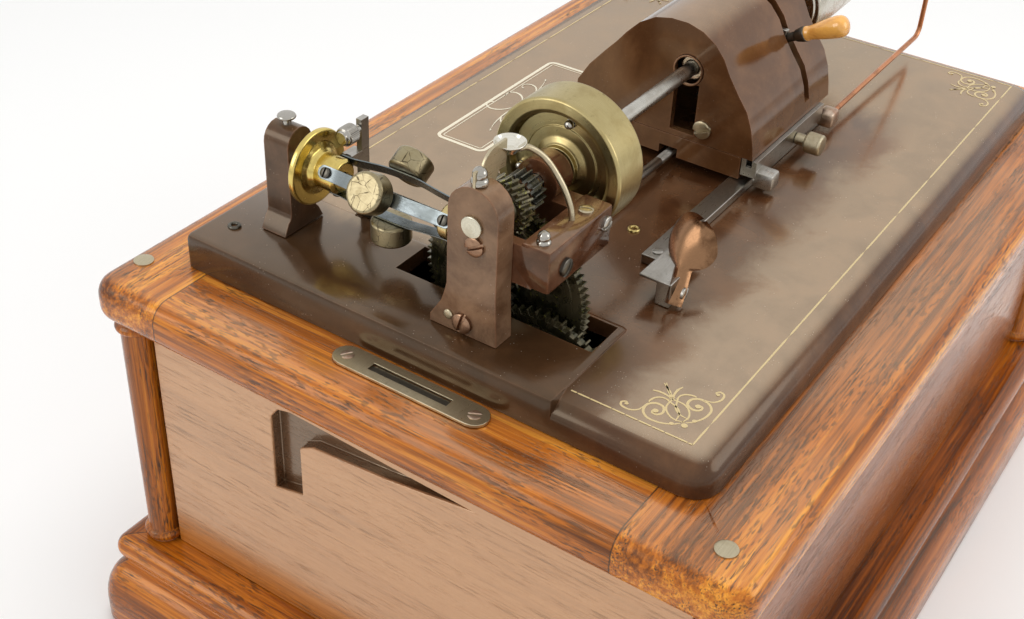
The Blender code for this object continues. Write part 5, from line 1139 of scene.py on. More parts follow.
    def mould(
        self, name: str, half: Point, corner: float, profile: Grid, finish: str, body: str,
        nodes: Nodes = (), steps: int = 8, middle: Point = (0, 0),
    ) -> None:
        """Carry a moulding's profile round a rectangle with rounded corners.

        Each profile point is an inset from the outside and a height. Its loop is the
        rectangle drawn in by the inset, with corner arcs that shrink by the same inset.

        Args:
            name, finish, body, nodes: As in settle.
            half: Half the length and width outside.
            corner: The corner radius outside.
            profile: Inset and height of each point of a closed line.
            steps: Steps in each corner.
            middle: The rectangle's middle.
        """
        line = np.array(profile, float)
        inset, height = line[:, 0:1], line[:, 1:2]
        radius = np.maximum(corner - inset, 0.00005)
        turn = np.linspace(0.0, pi / 2, steps + 1)
        angle = (turn[None, :] + np.arange(4)[:, None] * pi / 2).reshape(1, -1)
        sign_x = np.repeat((1, -1, -1, 1), steps + 1)[None, :]
        sign_y = np.repeat((1, 1, -1, -1), steps + 1)[None, :]
        across = middle[0] + sign_x * (half[0] - inset - radius) + radius * np.cos(angle)
        deep = middle[1] + sign_y * (half[1] - inset - radius) + radius * np.sin(angle)
        points = np.stack((across, deep, np.broadcast_to(height, across.shape)), axis=-1)
        faces = grid_faces(*across.shape, True, True).tolist()
        self.settle(name, points, faces, finish, body, nodes, 40.0)

    def screw(
        self, name: str, place: Point, axis: Point, radius: float, height: float, finish: str,
        body: str, slot_turn: float = 0.6, slot: float = SLOT_SHARE,
    ) -> None:
        """Make a slotted screw head: a dome over a disc, lowered along a band for the slot.

        The height at a radius and an angle is the dome's rounded arc, less the slot's depth
        where the distance from the slot's middle line is under half its width.

        Args:
            name: The piece's name.
            place: The middle of the head's seat.
            axis: Where the head faces.
            radius: The head's radius.
            height: The head's height.
            finish: The finish's name.
            body: Its body.
            slot_turn: The slot's angle.
            slot: Half the slot's width as a share of the radius; zero leaves it out.
        """
        across, up, along = basis(axis)
        rings, steps = 30, 72
        reach = np.linspace(0.0, 1.0, rings)[:, None]
        angle = np.linspace(0.0, 2 * pi, steps, endpoint=False)[None, :]
        dome = height * (0.55 + 0.45 * np.sqrt(np.maximum(1 - (reach * 0.98) ** 2.4, 0.0)))
        apart = np.abs(reach * np.sin(angle - slot_turn))
        groove = np.clip((slot - apart) / 0.05 + 0.5, 0.0, 1.0) if slot else 0.0 * apart
        level = dome - groove * height * 0.6
        level = np.concatenate((level, np.zeros((2, steps))))
        reach = np.concatenate((reach, [[1.0], [0.0]])) * radius
        points = np.array(place) + (reach * np.cos(angle))[..., None] * across
        points = points + (reach * np.sin(angle))[..., None] * up + level[..., None] * along
        faces = grid_faces(rings + 2, steps, False, True).tolist()
        self.settle(name, points, faces, finish, body, smooth=45.0)

    def screws(self, body: str, *rows: tuple) -> None:
        """Make several screws on one body.

        Args:
            body: Their body.
            rows: For each its name, place, axis, radius, height and finish, then the slot's
                angle and width where they differ from the usual.
        """
        for name, place, axis, radius, height, finish, *slot in rows:
            self.screw(name, place, axis, radius, height, finish, body, *slot)

    def eyelet(
        self, name: str, place: Point, finish: str, body: str, radius: float = 0.0022
    ) -> None:
        """Set a rolled eyelet with a dark hole, the radius being that of the roll's middle.

        Args:
            name, finish, body: As in settle.
            place: Its seat.
            radius: The radius of the roll's middle.
        """
        ring = arc((radius, 0.0002), 0.0009, -20, 200, 10)
        profile = np.concatenate((ring, ((0.001, -0.0004), (0.0, -0.0004))))
        self.turn(name, profile, place, Z_AXIS, finish, body, steps=36)

    def oiler(
        self, name: str, seat: Point, body: str, size: float = 1.0, button: bool = False
    ) -> None:
        """Make an oiler in nickel: a ball that sits low in a collar, or a flat button.

        Args:
            name, body: As in settle.
            seat: Where it stands.
            size: Its scale.
            button: Whether it is the flat kind.
        """
        if button:
            profile = soften((
                (0.0, -0.0012), (0.002, -0.0012), (0.002, 0.0016), (0.004, 0.0022),
                (0.0043, 0.003), (0.0038, 0.0038), (0.0, 0.0044),
            ), 0.0004, 3)
        else:
            collar = ((0.0, -0.0012), (0.0034, -0.0012), (0.0036, 0.0), (0.0034, 0.001))
            ball = arc((0.0, 0.003), 0.0031, -28, 72, 12)
            flat = np.array(((0.0009, 0.0058), (0.0, 0.0057)))
            profile = np.concatenate((collar, soften(ball, 0.0001, 1), flat)) * size
        self.turn(name, profile, seat, Z_AXIS, "nickel_bright", body, steps=40)


def straight(radius: float, heights: Grid) -> Grid:
    """Give profile points of one radius at many heights."""
    return np.stack((np.full(len(heights), radius), heights), axis=1)


def eased(values: Grid) -> Grid:
    """Smooth a row of values three times by quarter, half and quarter, its two ends kept.

    Args:
        values: The row.

    Returns:
        The smoothed row.
    """
    row = values.copy()
    for _ in range(3):
        row[1:-1] = np.convolve(row, (0.25, 0.5, 0.25), "same")[1:-1]
    return row


def circle(sides: int) -> Grid:
    """Give points on a circle of radius one."""
    angle = np.linspace(0.0, 2 * pi, sides, endpoint=False)
    return np.stack((np.cos(angle), np.sin(angle)), axis=1)


def turned_points(
    profile: Grid, start: Point, axis: Point, steps: int, swell: Optional[Callable] = None
) -> Grid:
    """Give the grid of a profile turned about an axis, rows by steps by 3.

    Args:
        profile, start, axis, steps, swell: As in Maker.turn.

    Returns:
        The points.
    """
    across, up, along = basis(axis)
    line = np.array(profile, float)
    angle = np.linspace(0.0, 2 * pi, steps, endpoint=False)[None, :]
    radius = np.repeat(line[:, 0:1], steps, axis=1)
    height = np.repeat(line[:, 1:2], steps, axis=1)
    if swell is not None:
        radius = swell(angle, height, radius)
    points = np.array(start, float) + (radius * np.cos(angle))[..., None] * across
    return points + (radius * np.sin(angle))[..., None] * up + height[..., None] * along


def swept_points(
    path: Grid, section: Grid, guide: Point, scale: Optional[Grid]
) -> Grid:
    """Give the grid of a section carried along a path, n by m by 3.

    Args:
        path, section, guide, scale: As in Maker.sweep.

    Returns:
        The points.
    """
    line = np.array(path, float)
    tangent = unit(np.gradient(line, axis=0))
    side = unit(np.cross(tangent, np.array(guide, float)))
    up = np.cross(side, tangent)
    size = np.ones((len(line), 2)) if scale is None else np.array(scale, float)
    flat = section[None, :, :] * size[:, None, :]
    return line[:, None] + flat[..., 0:1] * side[:, None] + flat[..., 1:2] * up[:, None]


def smooth_path(points: Sequence[Point], count: int = 48) -> Grid:
    """Give a Catmull-Rom curve through points, sampled evenly in its parameter.

    Args:
        points: The places that it passes.
        count: How many it gives.

    Returns:
        The curve's points.
    """
    line = np.array(points, float)
    line = np.concatenate((2 * line[:1] - line[1:2], line, 2 * line[-1:] - line[-2:-1]))
    place = np.linspace(0.0, len(points) - 1 - 1e-9, count)
    index = place.astype(int)
    t = (place - index)[:, None]
    p0, p1, p2, p3 = (line[index + shift] for shift in range(4))
    return 0.5 * (
        2 * p1 + (p2 - p0) * t + (2 * p0 - 5 * p1 + 4 * p2 - p3) * t ** 2
        + (3 * p1 - p0 - 3 * p2 + p3) * t ** 3
    )


def gear_line(teeth: int, module: float, phase: float) -> Grid:
    """Give a gear's outline as in the CAD, with a rounded root and tip on each tooth.

    Args:
        teeth, module: The gear's size.
        phase: Where a tooth points.

    Returns:
        The outline, n by 2.
    """
    radius = teeth * module / 2
    root, tip = radius - 1.25 * module, radius + 0.8 * module
    shares = np.array((-0.24, -0.15, -0.09, 0.0, 0.09, 0.15, 0.24, 0.5))
    reach = np.array((root, radius + 0.1 * module, tip, tip, tip, radius + 0.1 * module, root, root))
    angle = phase + 2 * pi / teeth * (np.arange(teeth)[:, None] + shares[None, :])
    return np.stack((reach * np.cos(angle), reach * np.sin(angle)), axis=-1).reshape(-1, 2)


# Sub-assemblies
@dataclass
class OakCase(Maker):
    """The oak case: base, columns, panels, rim, catch plate and its fastenings."""

    half: tuple[float, float] = (0.235, 0.165)
    middle: tuple[float, float] = (0.0, 0.0045)
    overhang: float = 0.015
    column_inset: float = 0.014
    button_places: tuple[tuple[float, float], ...] = (
        (-0.21, 0.158), (-0.215, -0.141), (0.212, 0.158), (0.212, -0.141),
    )
    catch: tuple[float, float] = (-0.21, 0.006)

    def build(self) -> None:
        """Make the case."""
        self.base()
        self.columns()
        self.panels()
        self.rim()
        self.catch_plate()

    def base(self) -> None:
        """Make the base moulding, a rounded board with a stepped riser, and its floor board."""
        outer = (self.half[0] + self.overhang, self.half[1] + self.overhang)
        nose = arc((1.0, 0.0), 1.0, 180, 97, 16) * (0.0165, 0.0245) + (0.0, 0.013)
        torus = arc((0.0165, 0.0475), 0.0075, 205, 80, 12)
        profile = np.concatenate((
            ((0.034, 0.0002), (0.0012, 0.0002), (0.0, 0.0014), (0.0, 0.01)), nose[:-1],
            ((0.0135, 0.0374),), torus, ((0.034, 0.055), (0.035, 0.054), (0.035, 0.001)),
        ))
        self.mould(
            "base_moulding_oak", outer, 0.016, soften(profile, 0.0004, 2, True), "oak_base",
            "case", ("base_moulding",), middle=self.middle,
        )
        self.block(
            "base_floor_board", (-0.216, -0.141, 0.0012), (0.216, 0.15, 0.009), "oak_along", "case"
        )

    def columns(self) -> None:
        """Make the corner columns: a plain shaft, a bead ring at the foot and a cap ring."""
        foot, top = 0.0553, 0.1917
        height = top - foot
        ring = arc((0.0076, 0.0036), 0.0029, -75, 75, 8)
        cap = arc((0.008, height - 0.004), 0.0022, -70, 70, 6)
        profile = np.concatenate((
            ((0.0, 0.0), (0.0088, 0.0)), ring, ((0.008, 0.008), (0.008, height - 0.0066)),
            cap, ((0.0086, height - 0.001), (0.0086, height), (0.0, height)),
        ))
        across, deep = self.half[0] - self.column_inset, self.half[1] - self.column_inset
        for side, x in (("left", -across), ("right", across)):
            for face, y in (("front", -deep), ("back", deep)):
                node = "column_" + face + "_" + side
                place = (x, self.middle[1] + y, foot)
                self.turn(
                    node + "_oak", profile, place, Z_AXIS, "oak_upright", "case", (node,), 48
                )

    def panels(self) -> None:
        """Dress the four panels, whose grain runs level."""
        for node, finish in (
            ("panel_left", "oak_side_across"), ("panel_right", "oak_side_across"),
            ("panel_front", "oak_side_along"), ("panel_back", "oak_side_along"),
        ):
            self.refine(node, finish, "case", 0.0012, 30.0, 3)

    def rim(self) -> None:
        """Make the rim, its outer edges rounded above and below."""
        bottom = 0.192
        low = arc((0.0085, bottom + 0.0085), 0.0085, 262, 180, 8)
        high = arc((0.0095, RIM - 0.0095), 0.0095, 180, 90, 9)
        inner = ((0.0385, RIM), (0.04, RIM - 0.0015), (0.04, bottom + 0.001), (0.039, bottom))
        profile = np.concatenate((((0.012, bottom),), low, high, inner))
        self.mould(
            "case_rim_oak", self.half, 0.012, profile, "oak_rim", "case", ("case_rim",), 10,
            middle=self.middle,
        )
        for number, (x, y) in enumerate(self.button_places, start=1):
            self.screw(
                f"rim_button_{number}", (x, y, RIM - 0.0002), Z_AXIS, 0.0046, 0.0012,
                "nickel_aged", "case", 0.0, 0.0,
            )

    def catch_plate(self) -> None:
        """Make the lid catch: a long nickel plate with a slot, a dark tongue and two screws."""
        x, y = self.catch
        self.refine("lid_catch_plate", "nickel_aged", "case", 0.0003)
        tongue = np.concatenate((
            arc((0.0, 0.0188), 0.0018, 0, 180, 8), arc((0.0, -0.0188), 0.0018, 180, 360, 8),
        ))
        self.slab(
            "catch_tongue", tongue, (x, y, RIM + 0.0005), Side.Z, 0.0006, "steel_dark", "case",
            edge=0.0001,
        )
        for number, reach in ((1, -0.0325), (2, 0.0325)):
            self.screw(
                f"catch_screw_{number}", (x, y + reach, RIM + 0.0015), Z_AXIS, 0.0029, 0.0007,
                "clamp_metal", "case", 0.5 * number, 0.22,
            )


@dataclass
class Bedplate(Maker):
    """The enamelled bed with its gold lines, corner ornaments, bare name panel and eyelets."""

    corner: tuple[float, float] = (-0.189, -0.1113)
    far: tuple[float, float] = (0.189, 0.1253)
    line_width: float = 0.0008
    panel: tuple[float, float, float, float] = (-0.057, 0.053, 0.078, 0.108)

    def build(self) -> None:
        """Make the bed."""
        self.refine("bedplate", "enamel_bed", "case", 0.0011, 42.0, 3)
        self.lines()
        self.ornaments()
        self.name_panel()
        self.rails()
        self.eyelet("bed_eyelet_1", (-0.072, -0.018, BED), "brass_oiled", "case")
        self.eyelet("bed_eyelet_2", (-0.183, 0.126, PLATFORM), "steel_dark", "case")
        # A black block under the bed's slot: painted shade in the opening.
        self.block(
            "under_slot_shade", (-0.17, -0.056, 0.2156), (-0.1665, 0.052, 0.2246), "shade_black", "case"
        )

    def stripe(
        self, name: str, path: Grid, widths: Any, finish: str, level: float
    ) -> None:
        """Lay a flat stripe of paint along a level path, with one width or one for each point.

        Args:
            name, finish: As in settle.
            path: Places in X and Y.
            widths: One width or a row of them.
            level: Its height.
        """
        line = np.array(path, float)
        places = np.concatenate((line, np.full((len(line), 1), level)), axis=1)
        section = np.array(((-0.5, 0.0), (0.5, 0.0), (0.5, 1.0), (-0.5, 1.0)))
        wide = np.broadcast_to(np.array(widths, float), (len(line),))
        scale = np.stack((wide, np.full(len(line), 0.00006)), axis=1)
        self.sweep(name, places, section, finish, "case", scale=scale)

    def lines(self) -> None:
        """Lay the pinstripe: front, right end, back, and the short run by the platform."""
        left, front = self.corner
        right, back = self.far
        runs = (
            ("front", (left, front), (right, front)), ("right", (right, front), (right, back)),
            ("back", (-0.137, back), (right, back)), ("left", (left, front), (left, -0.0575)),
        )
        share = np.linspace(0.0, 1.0, 200)[:, None]
        for name, start, end in runs:
            path = np.array(start) * (1 - share) + np.array(end) * share
            worn = np.sin(share[:, 0] * 61.0) + np.sin(share[:, 0] * 173.0 + 1.0)
            widths = self.line_width * np.where(worn > 1.55, 0.15, 1.0 - 0.18 * (worn > 0.6))
            self.stripe("pinstripe_" + name, path, widths, "gold_transfer", BED)

    def scroll(
        self, start: Point, heading: float, length: float, curl: float, width: float
    ) -> tuple[Grid, Grid]:
        """Work out a scroll whose curvature grows along it, and its tapering width.

        The heading is the integral of a curvature that rises with the square of the distance,
        the place is the integral of the heading's cosine and sine, and the width is a sine
        bump that ends in a small drop.

        Args:
            start: Where it begins.
            heading: Its first direction in degrees.
            length: Its length.
            curl: The whole turn in degrees.
            width: The greatest width.

        Returns:
            The path and the widths.
        """
        count = 64
        share = np.linspace(0.0, 1.0, count)
        turn = np.radians(heading + curl * share ** 2.1)
        step = length / (count - 1)
        path = np.stack((np.cumsum(np.cos(turn)), np.cumsum(np.sin(turn))), axis=1) * step
        widths = width * (0.22 + 0.78 * np.sin(pi * np.clip(share * 1.05, 0, 1)) ** 1.2)
        widths = np.where(share > 0.94, width * 0.95, widths)
        return np.array(start) + path - path[0], widths

    def ornaments(self) -> None:
        """Lay a scroll ornament in each lined corner, the same both sides of its middle.

        Each stroke is a smooth curve through places along the corner's diagonal and aside
        from it, in millimetres. A dot is a short stroke whose width is a circle's chord.
        """
        strokes = (
            (1.1, ((12.6, 1.2), (12.7, 4.6), (14.4, 9.2), (17.8, 12.8), (22.0, 13.3),
                   (25.4, 10.8), (25.7, 7.2), (23.2, 4.9), (19.9, 5.9), (18.9, 8.4),
                   (20.3, 10.1), (21.8, 9.3), (21.5, 8.2))),
            (0.9, ((24.6, 12.2), (22.9, 15.2), (23.6, 18.6), (26.2, 20.8), (28.4, 20.2),
                   (28.3, 18.3), (27.1, 18.4))),
            (0.8, ((12.9, -0.6), (15.2, 2.8), (19.0, 4.3), (23.2, 3.6), (26.4, 0.6),
                   (28.0, -1.2))),
            (0.8, ((14.2, -2.6), (17.6, -0.2), (21.2, 0.4), (25.4, -1.4), (27.6, -2.6))),
            (1.0, ((28.0, 0.6), (30.4, 2.0), (32.4, 4.0), (33.6, 6.2))),
            (0.9, ((26.6, 1.4), (28.6, 3.8), (28.9, 6.4), (27.6, 9.0), (26.6, 9.6))),
            (0.8, ((28.2, 0.0), (31.6, 0.3), (34.4, 0.0), (37.2, 0.5))),
        )
        dots = ((13.0, 4.6, 0.9), (11.0, 0.0, 1.3), (28.9, 0.0, 1.0), (21.2, 8.6, 1.2),
                (27.0, 18.6, 0.8))
        left, front = self.corner
        right, back = self.far
        corners = (
            ("front_left", (left, front), (1, 1)), ("front_right", (right, front), (-1, 1)),
            ("back_right", (right, back), (-1, -1)),
        )
        share = np.linspace(0.0, 1.0, 72)
        taper = 0.35 + 0.65 * np.sin(pi * np.clip(share, 0.02, 0.98)) ** 0.6
        lines = [(smooth_path(points, 72), wide * taper) for wide, points in strokes]
        for along, aside, radius in dots:
            reach = np.linspace(-1.0, 1.0, 15)
            places = np.stack((along + reach * radius, np.full(15, aside)), axis=1)
            lines.append((places, 2 * radius * np.sqrt(np.clip(1.0 - reach ** 2, 0.004, 1.0))))
        diagonal = np.array(((1.0, 1.0), (1.0, -1.0))) / sqrt(2.0)
        for label, corner, signs in corners:
            for number, (path, widths) in enumerate(lines, start=1):
                lone = np.ptp(path[:, 1]) + abs(path[0, 1]) < 1e-9
                for hand, mirror in (("a", 1.0), ("b", -1.0))[: 1 if lone else 2]:
                    place = np.array(corner) + (path * (1.0, mirror)) @ diagonal * 0.001 * signs
                    self.stripe(
                        f"ornament_{label}_{number}{hand}", place, widths * 0.001,
                        "gold_transfer", BED + 0.00001 * number,
                    )

    def name_panel(self) -> None:
        """Outline the bare name panel, with a plain flourish inside it."""
        left, right, front, back = self.panel
        middle = ((left + right) / 2, (front + back) / 2)
        half = ((right - left) / 2, (back - front) / 2)
        for label, inset, width in (("outer", 0.0, 0.0018), ("inner", 0.0031, 0.0005)):
            profile = np.array((
                (inset, BED), (inset + width, BED), (inset + width, BED + 0.00008),
                (inset, BED + 0.00008),
            ))
            self.mould(
                "name_panel_" + label, half, 0.0045, profile, "cream_transfer", "case",
                middle=middle,
            )
        strokes = (
            (0.003, 28, 0.02, 200, 0.0011), (0.004, -24, 0.024, -215, 0.001),
            (0.014, 12, 0.022, 250, 0.0009), (0.0, 0, 0.034, 24, 0.0007),
        )
        for number, (along, heading, length, curl, width) in enumerate(strokes, start=1):
            path, widths = self.scroll((along, 0.0), heading, length, curl, width)
            for hand, mirror in (("a", 1.0), ("b", -1.0)):
                place = np.array(middle) + path * (mirror, mirror)
                self.stripe(
                    f"panel_flourish_{number}{hand}", place, widths, "cream_transfer",
                    BED + 0.00002 * number,
                )

    def rails(self) -> None:
        """Dress the rails and the feed block, and screw the rails down."""
        self.refine_all(
            ("front_rail", "steel_plain", "case", 0.0005),
            ("rear_rail", "steel_plain", "case", 0.0005),
            ("feed_bearing", "enamel_cast", "case", 0.0008, 35.0, 3),
        )
        for number, x in enumerate((-0.088, 0.02, 0.078, 0.188), start=1):
            for face, y in (("front", -0.039), ("rear", 0.044)):
                if x > 0.1 and face == "front":
                    continue
                self.screw(
                    f"rail_screw_{face}_{number}", (x, y, 0.2357), Z_AXIS, 0.0026, 0.0009,
                    "steel_plain", "case", 0.7 * number,
                )


@dataclass
class Bearings(Maker):
    """The near post, the bridge, the governor post and their oilers and screws."""

    post_face: float = -0.187
    worm_x: float = WHEEL_X

    def build(self) -> None:
        """Make the castings and what is screwed to them."""
        self.refine_all(
            ("near_post", "enamel_cast", "case", 0.0012, 40.0, 3),
            ("bridge_casting", "enamel_bridge", "case", 0.0014, 40.0, 4),
            ("governor_post", "enamel_post", "case", 0.0022, 40.0, 3),
        )
        self.oiler("oiler_near_post", (-0.183, -0.007, 0.3045), "case", 1.0)
        self.oiler("oiler_governor_post", (self.worm_x, 0.108, 0.2835), "case", 1.0, True)
        self.oiler("oiler_bridge", (-0.1705, -0.0295, 0.2793), "case", 0.85)
        face = self.post_face + 0.0002
        plug = soften(((0.0, 0.0), (0.0048, 0.0), (0.0048, 0.0016), (0.0, 0.0018)), 0.0005)
        finish = self.finishes.turned("plug_face", (0.62, 0.58, 0.46), (0.38, 0.32, 0.2), Side.X,
                                      (0.0, -0.007, 0.286))
        self.turn("bearing_plug", plug, (face, -0.007, 0.286), LEFT, finish, "case", steps=48)
        self.screws(
            "case",
            ("post_screw_high", (face, -0.0085, 0.2775), LEFT, 0.0043, 0.0022, "brown_steel", 0.5),
            ("post_screw_foot", (face, -0.0035, 0.2385), LEFT, 0.0046, 0.0024, "brown_steel", 1.3),
            ("post_dowel", (face, 0.0035, 0.24), LEFT, 0.0022, 0.0012, "nickel_aged", 0.0, 0.0),
            ("worm_bearing_screw", (self.worm_x, -0.036, GOVERNOR_Z), FRONT, 0.004, 0.002,
             "steel_dark", 0.9),
            ("bridge_screw", (-0.14, -0.03, 0.2788), Z_AXIS, 0.0032, 0.0016, "nickel_aged", 0.4),
            ("bridge_clamp_screw", (-0.1335, -0.036, 0.272), FRONT, 0.0034, 0.0018,
             "steel_plain", 0.2),
        )
        self.oil_cup()

    def oil_cup(self) -> None:
        """Make the oil cup: a bent strap, a dished funnel and a curved feed pipe."""
        foot, top = 0.3033, 0.3103
        strap = smooth_path((
            (-0.1868, -0.007, foot + 0.0006), (-0.18, -0.007, foot + 0.0006),
            (-0.1772, -0.007, foot + 0.0012), (-0.1764, -0.007, foot + 0.0035),
            (-0.1758, -0.007, top - 0.0018), (-0.1735, -0.007, top - 0.0006),
            (-0.166, -0.007, top - 0.0006),
        ), 40)
        section = soften(((-0.006, -0.0006), (0.006, -0.0006), (0.006, 0.0006),
                          (-0.006, 0.0006)), 0.0003, 2, True)
        self.sweep("oil_strap", strap, section, "nickel_aged", "case", ("oil_cup",),
                   guide=(0.0, 1.0, 0.001))
        bowl = soften((
            (0.0, 0.0006), (0.003, 0.0008), (0.0052, 0.0028), (0.0062, 0.004),
            (0.0066, 0.004), (0.0066, 0.0034), (0.0036, 0.0002), (0.0028, -0.0008), (0.0, -0.0008),
        ), 0.0007, 3)
        finish = self.finishes.turned("cup_inside", (0.78, 0.75, 0.66), (0.42, 0.35, 0.22),
                                      Side.Z, (-0.163, -0.007, 0.0), (0.08, 0.22))
        self.turn("oil_bowl", bowl, (-0.163, -0.007, top - 0.0012), Z_AXIS, finish, "case",
                  steps=56)
        pipe = smooth_path((
            (-0.16, -0.009, top - 0.0012), (-0.156, -0.0115, top - 0.0016),
            (-0.1516, -0.017, top - 0.007), (-0.1496, -0.0235, top - 0.0165),
            (-0.149, -0.0275, top - 0.025), (-0.149, -0.029, 0.2788),
        ), 40)
        self.tube("oil_pipe", pipe, 0.0013, "nickel_aged", "case", guide=X_AXIS, sides=18)


@dataclass
class ShaftTrain(Maker):
    """The main shaft with its worm wheel, pinion and flywheel."""

    flywheel_left: float = -0.126
    radius: float = 0.031
    width: float = 0.02

    def build(self) -> None:
        """Make the shaft and what turns with it."""
        centre = tuple(SHAFT)
        finish = self.finishes.turned("shaft_steel", (0.52, 0.5, 0.45), (0.26, 0.22, 0.17),
                                      Side.X, centre)
        profile = soften(((0.0, 0.0), (0.0035, 0.0), (0.0035, 0.284), (0.0, 0.284)), 0.0005)
        self.turn("main_shaft_steel", profile, (-0.184, SHAFT[1], SHAFT[2]), X_AXIS, finish,
                  "main_shaft", ("main_shaft",), 40)
        self.wheels()
        self.flywheel(centre)

    def wheels(self) -> None:
        """Make the throated worm wheel, the fine pinion, the copper hub and the collar.

        The wheel's teeth lean by its width times the worm's slope over the wheel's radius.
        """
        width, teeth, root = 0.008, 24, 0.01075
        lean = width * (0.001 / 0.005) / 0.012

        def toothed(angle: Grid, height: Grid, radius: Grid) -> Grid:
            """Raise 24 slanted teeth where the plain radius lies above the roots."""
            phase = (angle + pi / 2 - lean * (height / width - 0.5)) * teeth
            tooth = np.clip(0.5 + 1.05 * np.cos(phase), 0.0, 1.0)
            return np.where(radius > root, root + (radius - root) * tooth, radius)

        hollow = [(root + 0.00205 - 0.0004 * (1 - abs(2 * s - 1)), s * width)
                  for s in np.linspace(0.06, 0.94, 8)]
        profile = [(0.0039, 0.0), (0.008, 0.0), (0.0084, 0.0006), (0.0107, 0.0002)]
        profile += [(0.0116, 0.0), *hollow, (0.0116, width), (0.0107, width - 0.0002),
                    (0.0084, width - 0.0006), (0.008, width), (0.0039, width)]
        self.turn("worm_wheel_teeth", np.array(profile), (WHEEL_X - width / 2, *SHAFT[1:]),
                  X_AXIS, "greased_wheel", "main_shaft", ("worm_wheel",), 384, True, toothed, 40.0)
        phase = atan2(FEED_Z - SHAFT[2], -SHAFT[1])
        self.slab("shaft_pinion_teeth", gear_line(16, 0.001, phase), (-0.15, *SHAFT[1:]), Side.X,
                  0.008, "oily_teeth", "main_shaft", ("shaft_pinion",), 0.00012)
        hub = soften(((0.0036, 0.0), (0.005, 0.0), (0.006, 0.0012), (0.006, 0.0046),
                      (0.0052, 0.0055), (0.0036, 0.0055)), 0.0006, 3)
        self.turn("pinion_hub", hub, (-0.1598, *SHAFT[1:]), X_AXIS, "copper_worn", "main_shaft",
                  steps=48)
        washer = soften(((0.0036, 0.0), (0.0056, 0.0), (0.0056, 0.0012), (0.0036, 0.0012)), 0.0003)
        self.turn("pinion_washer", washer, (-0.1455, *SHAFT[1:]), X_AXIS, "brass_oiled",
                  "main_shaft", steps=48)

    def flywheel(self, centre: Point) -> None:
        """Make the flywheel: a turned rim, dished faces with an inner disc, a hub and screws.

        Args:
            centre: A place on its axis.
        """
        outer, wide = self.radius, self.width
        profile = soften((
            (0.0039, wide), (0.009, wide), (0.009, wide - 0.0044), (0.0125, wide - 0.0048),
            (0.0238, wide - 0.005), (0.024, wide), (0.0302, wide), (outer, wide - 0.0009),
            (outer, 0.0009), (0.0302, 0.0), (0.0258, 0.0), (0.024, 0.0009), (0.0234, 0.0048),
            (0.0172, 0.005), (0.017, 0.0044), (0.0125, 0.0044), (0.01, 0.003),
            (0.009, 0.0028), (0.009, 0.0004), (0.0076, 0.0004), (0.0074, -0.0012),
            (0.0039, -0.0012),
        ), 0.0005, 3, True)
        start = (self.flywheel_left, SHAFT[1], SHAFT[2])
        finish = self.finishes.turned(
            "flywheel_brass", (0.47, 0.385, 0.185), (0.32, 0.235, 0.09), Side.X, centre, (0.2, 0.38)
        )
        self.turn("flywheel_turned", profile, start, X_AXIS, finish, "main_shaft", ("flywheel",),
                  160, True)
        ball = np.concatenate((((0.0, -0.001), (0.0022, -0.001), (0.0022, 0.0004)),
                               arc((0.0, 0.0016), 0.0021, -35, 90, 9)))
        for number, angle in enumerate((-20.0, 100.0, 220.0), start=1):
            turn = radians(angle)
            place = (self.flywheel_left + 0.0043, SHAFT[1] + 0.0205 * cos(turn),
                     SHAFT[2] + 0.0205 * sin(turn))
            self.turn(f"flywheel_stud_{number}", ball, place, LEFT, "nickel_bright",
                      "main_shaft", steps=32)


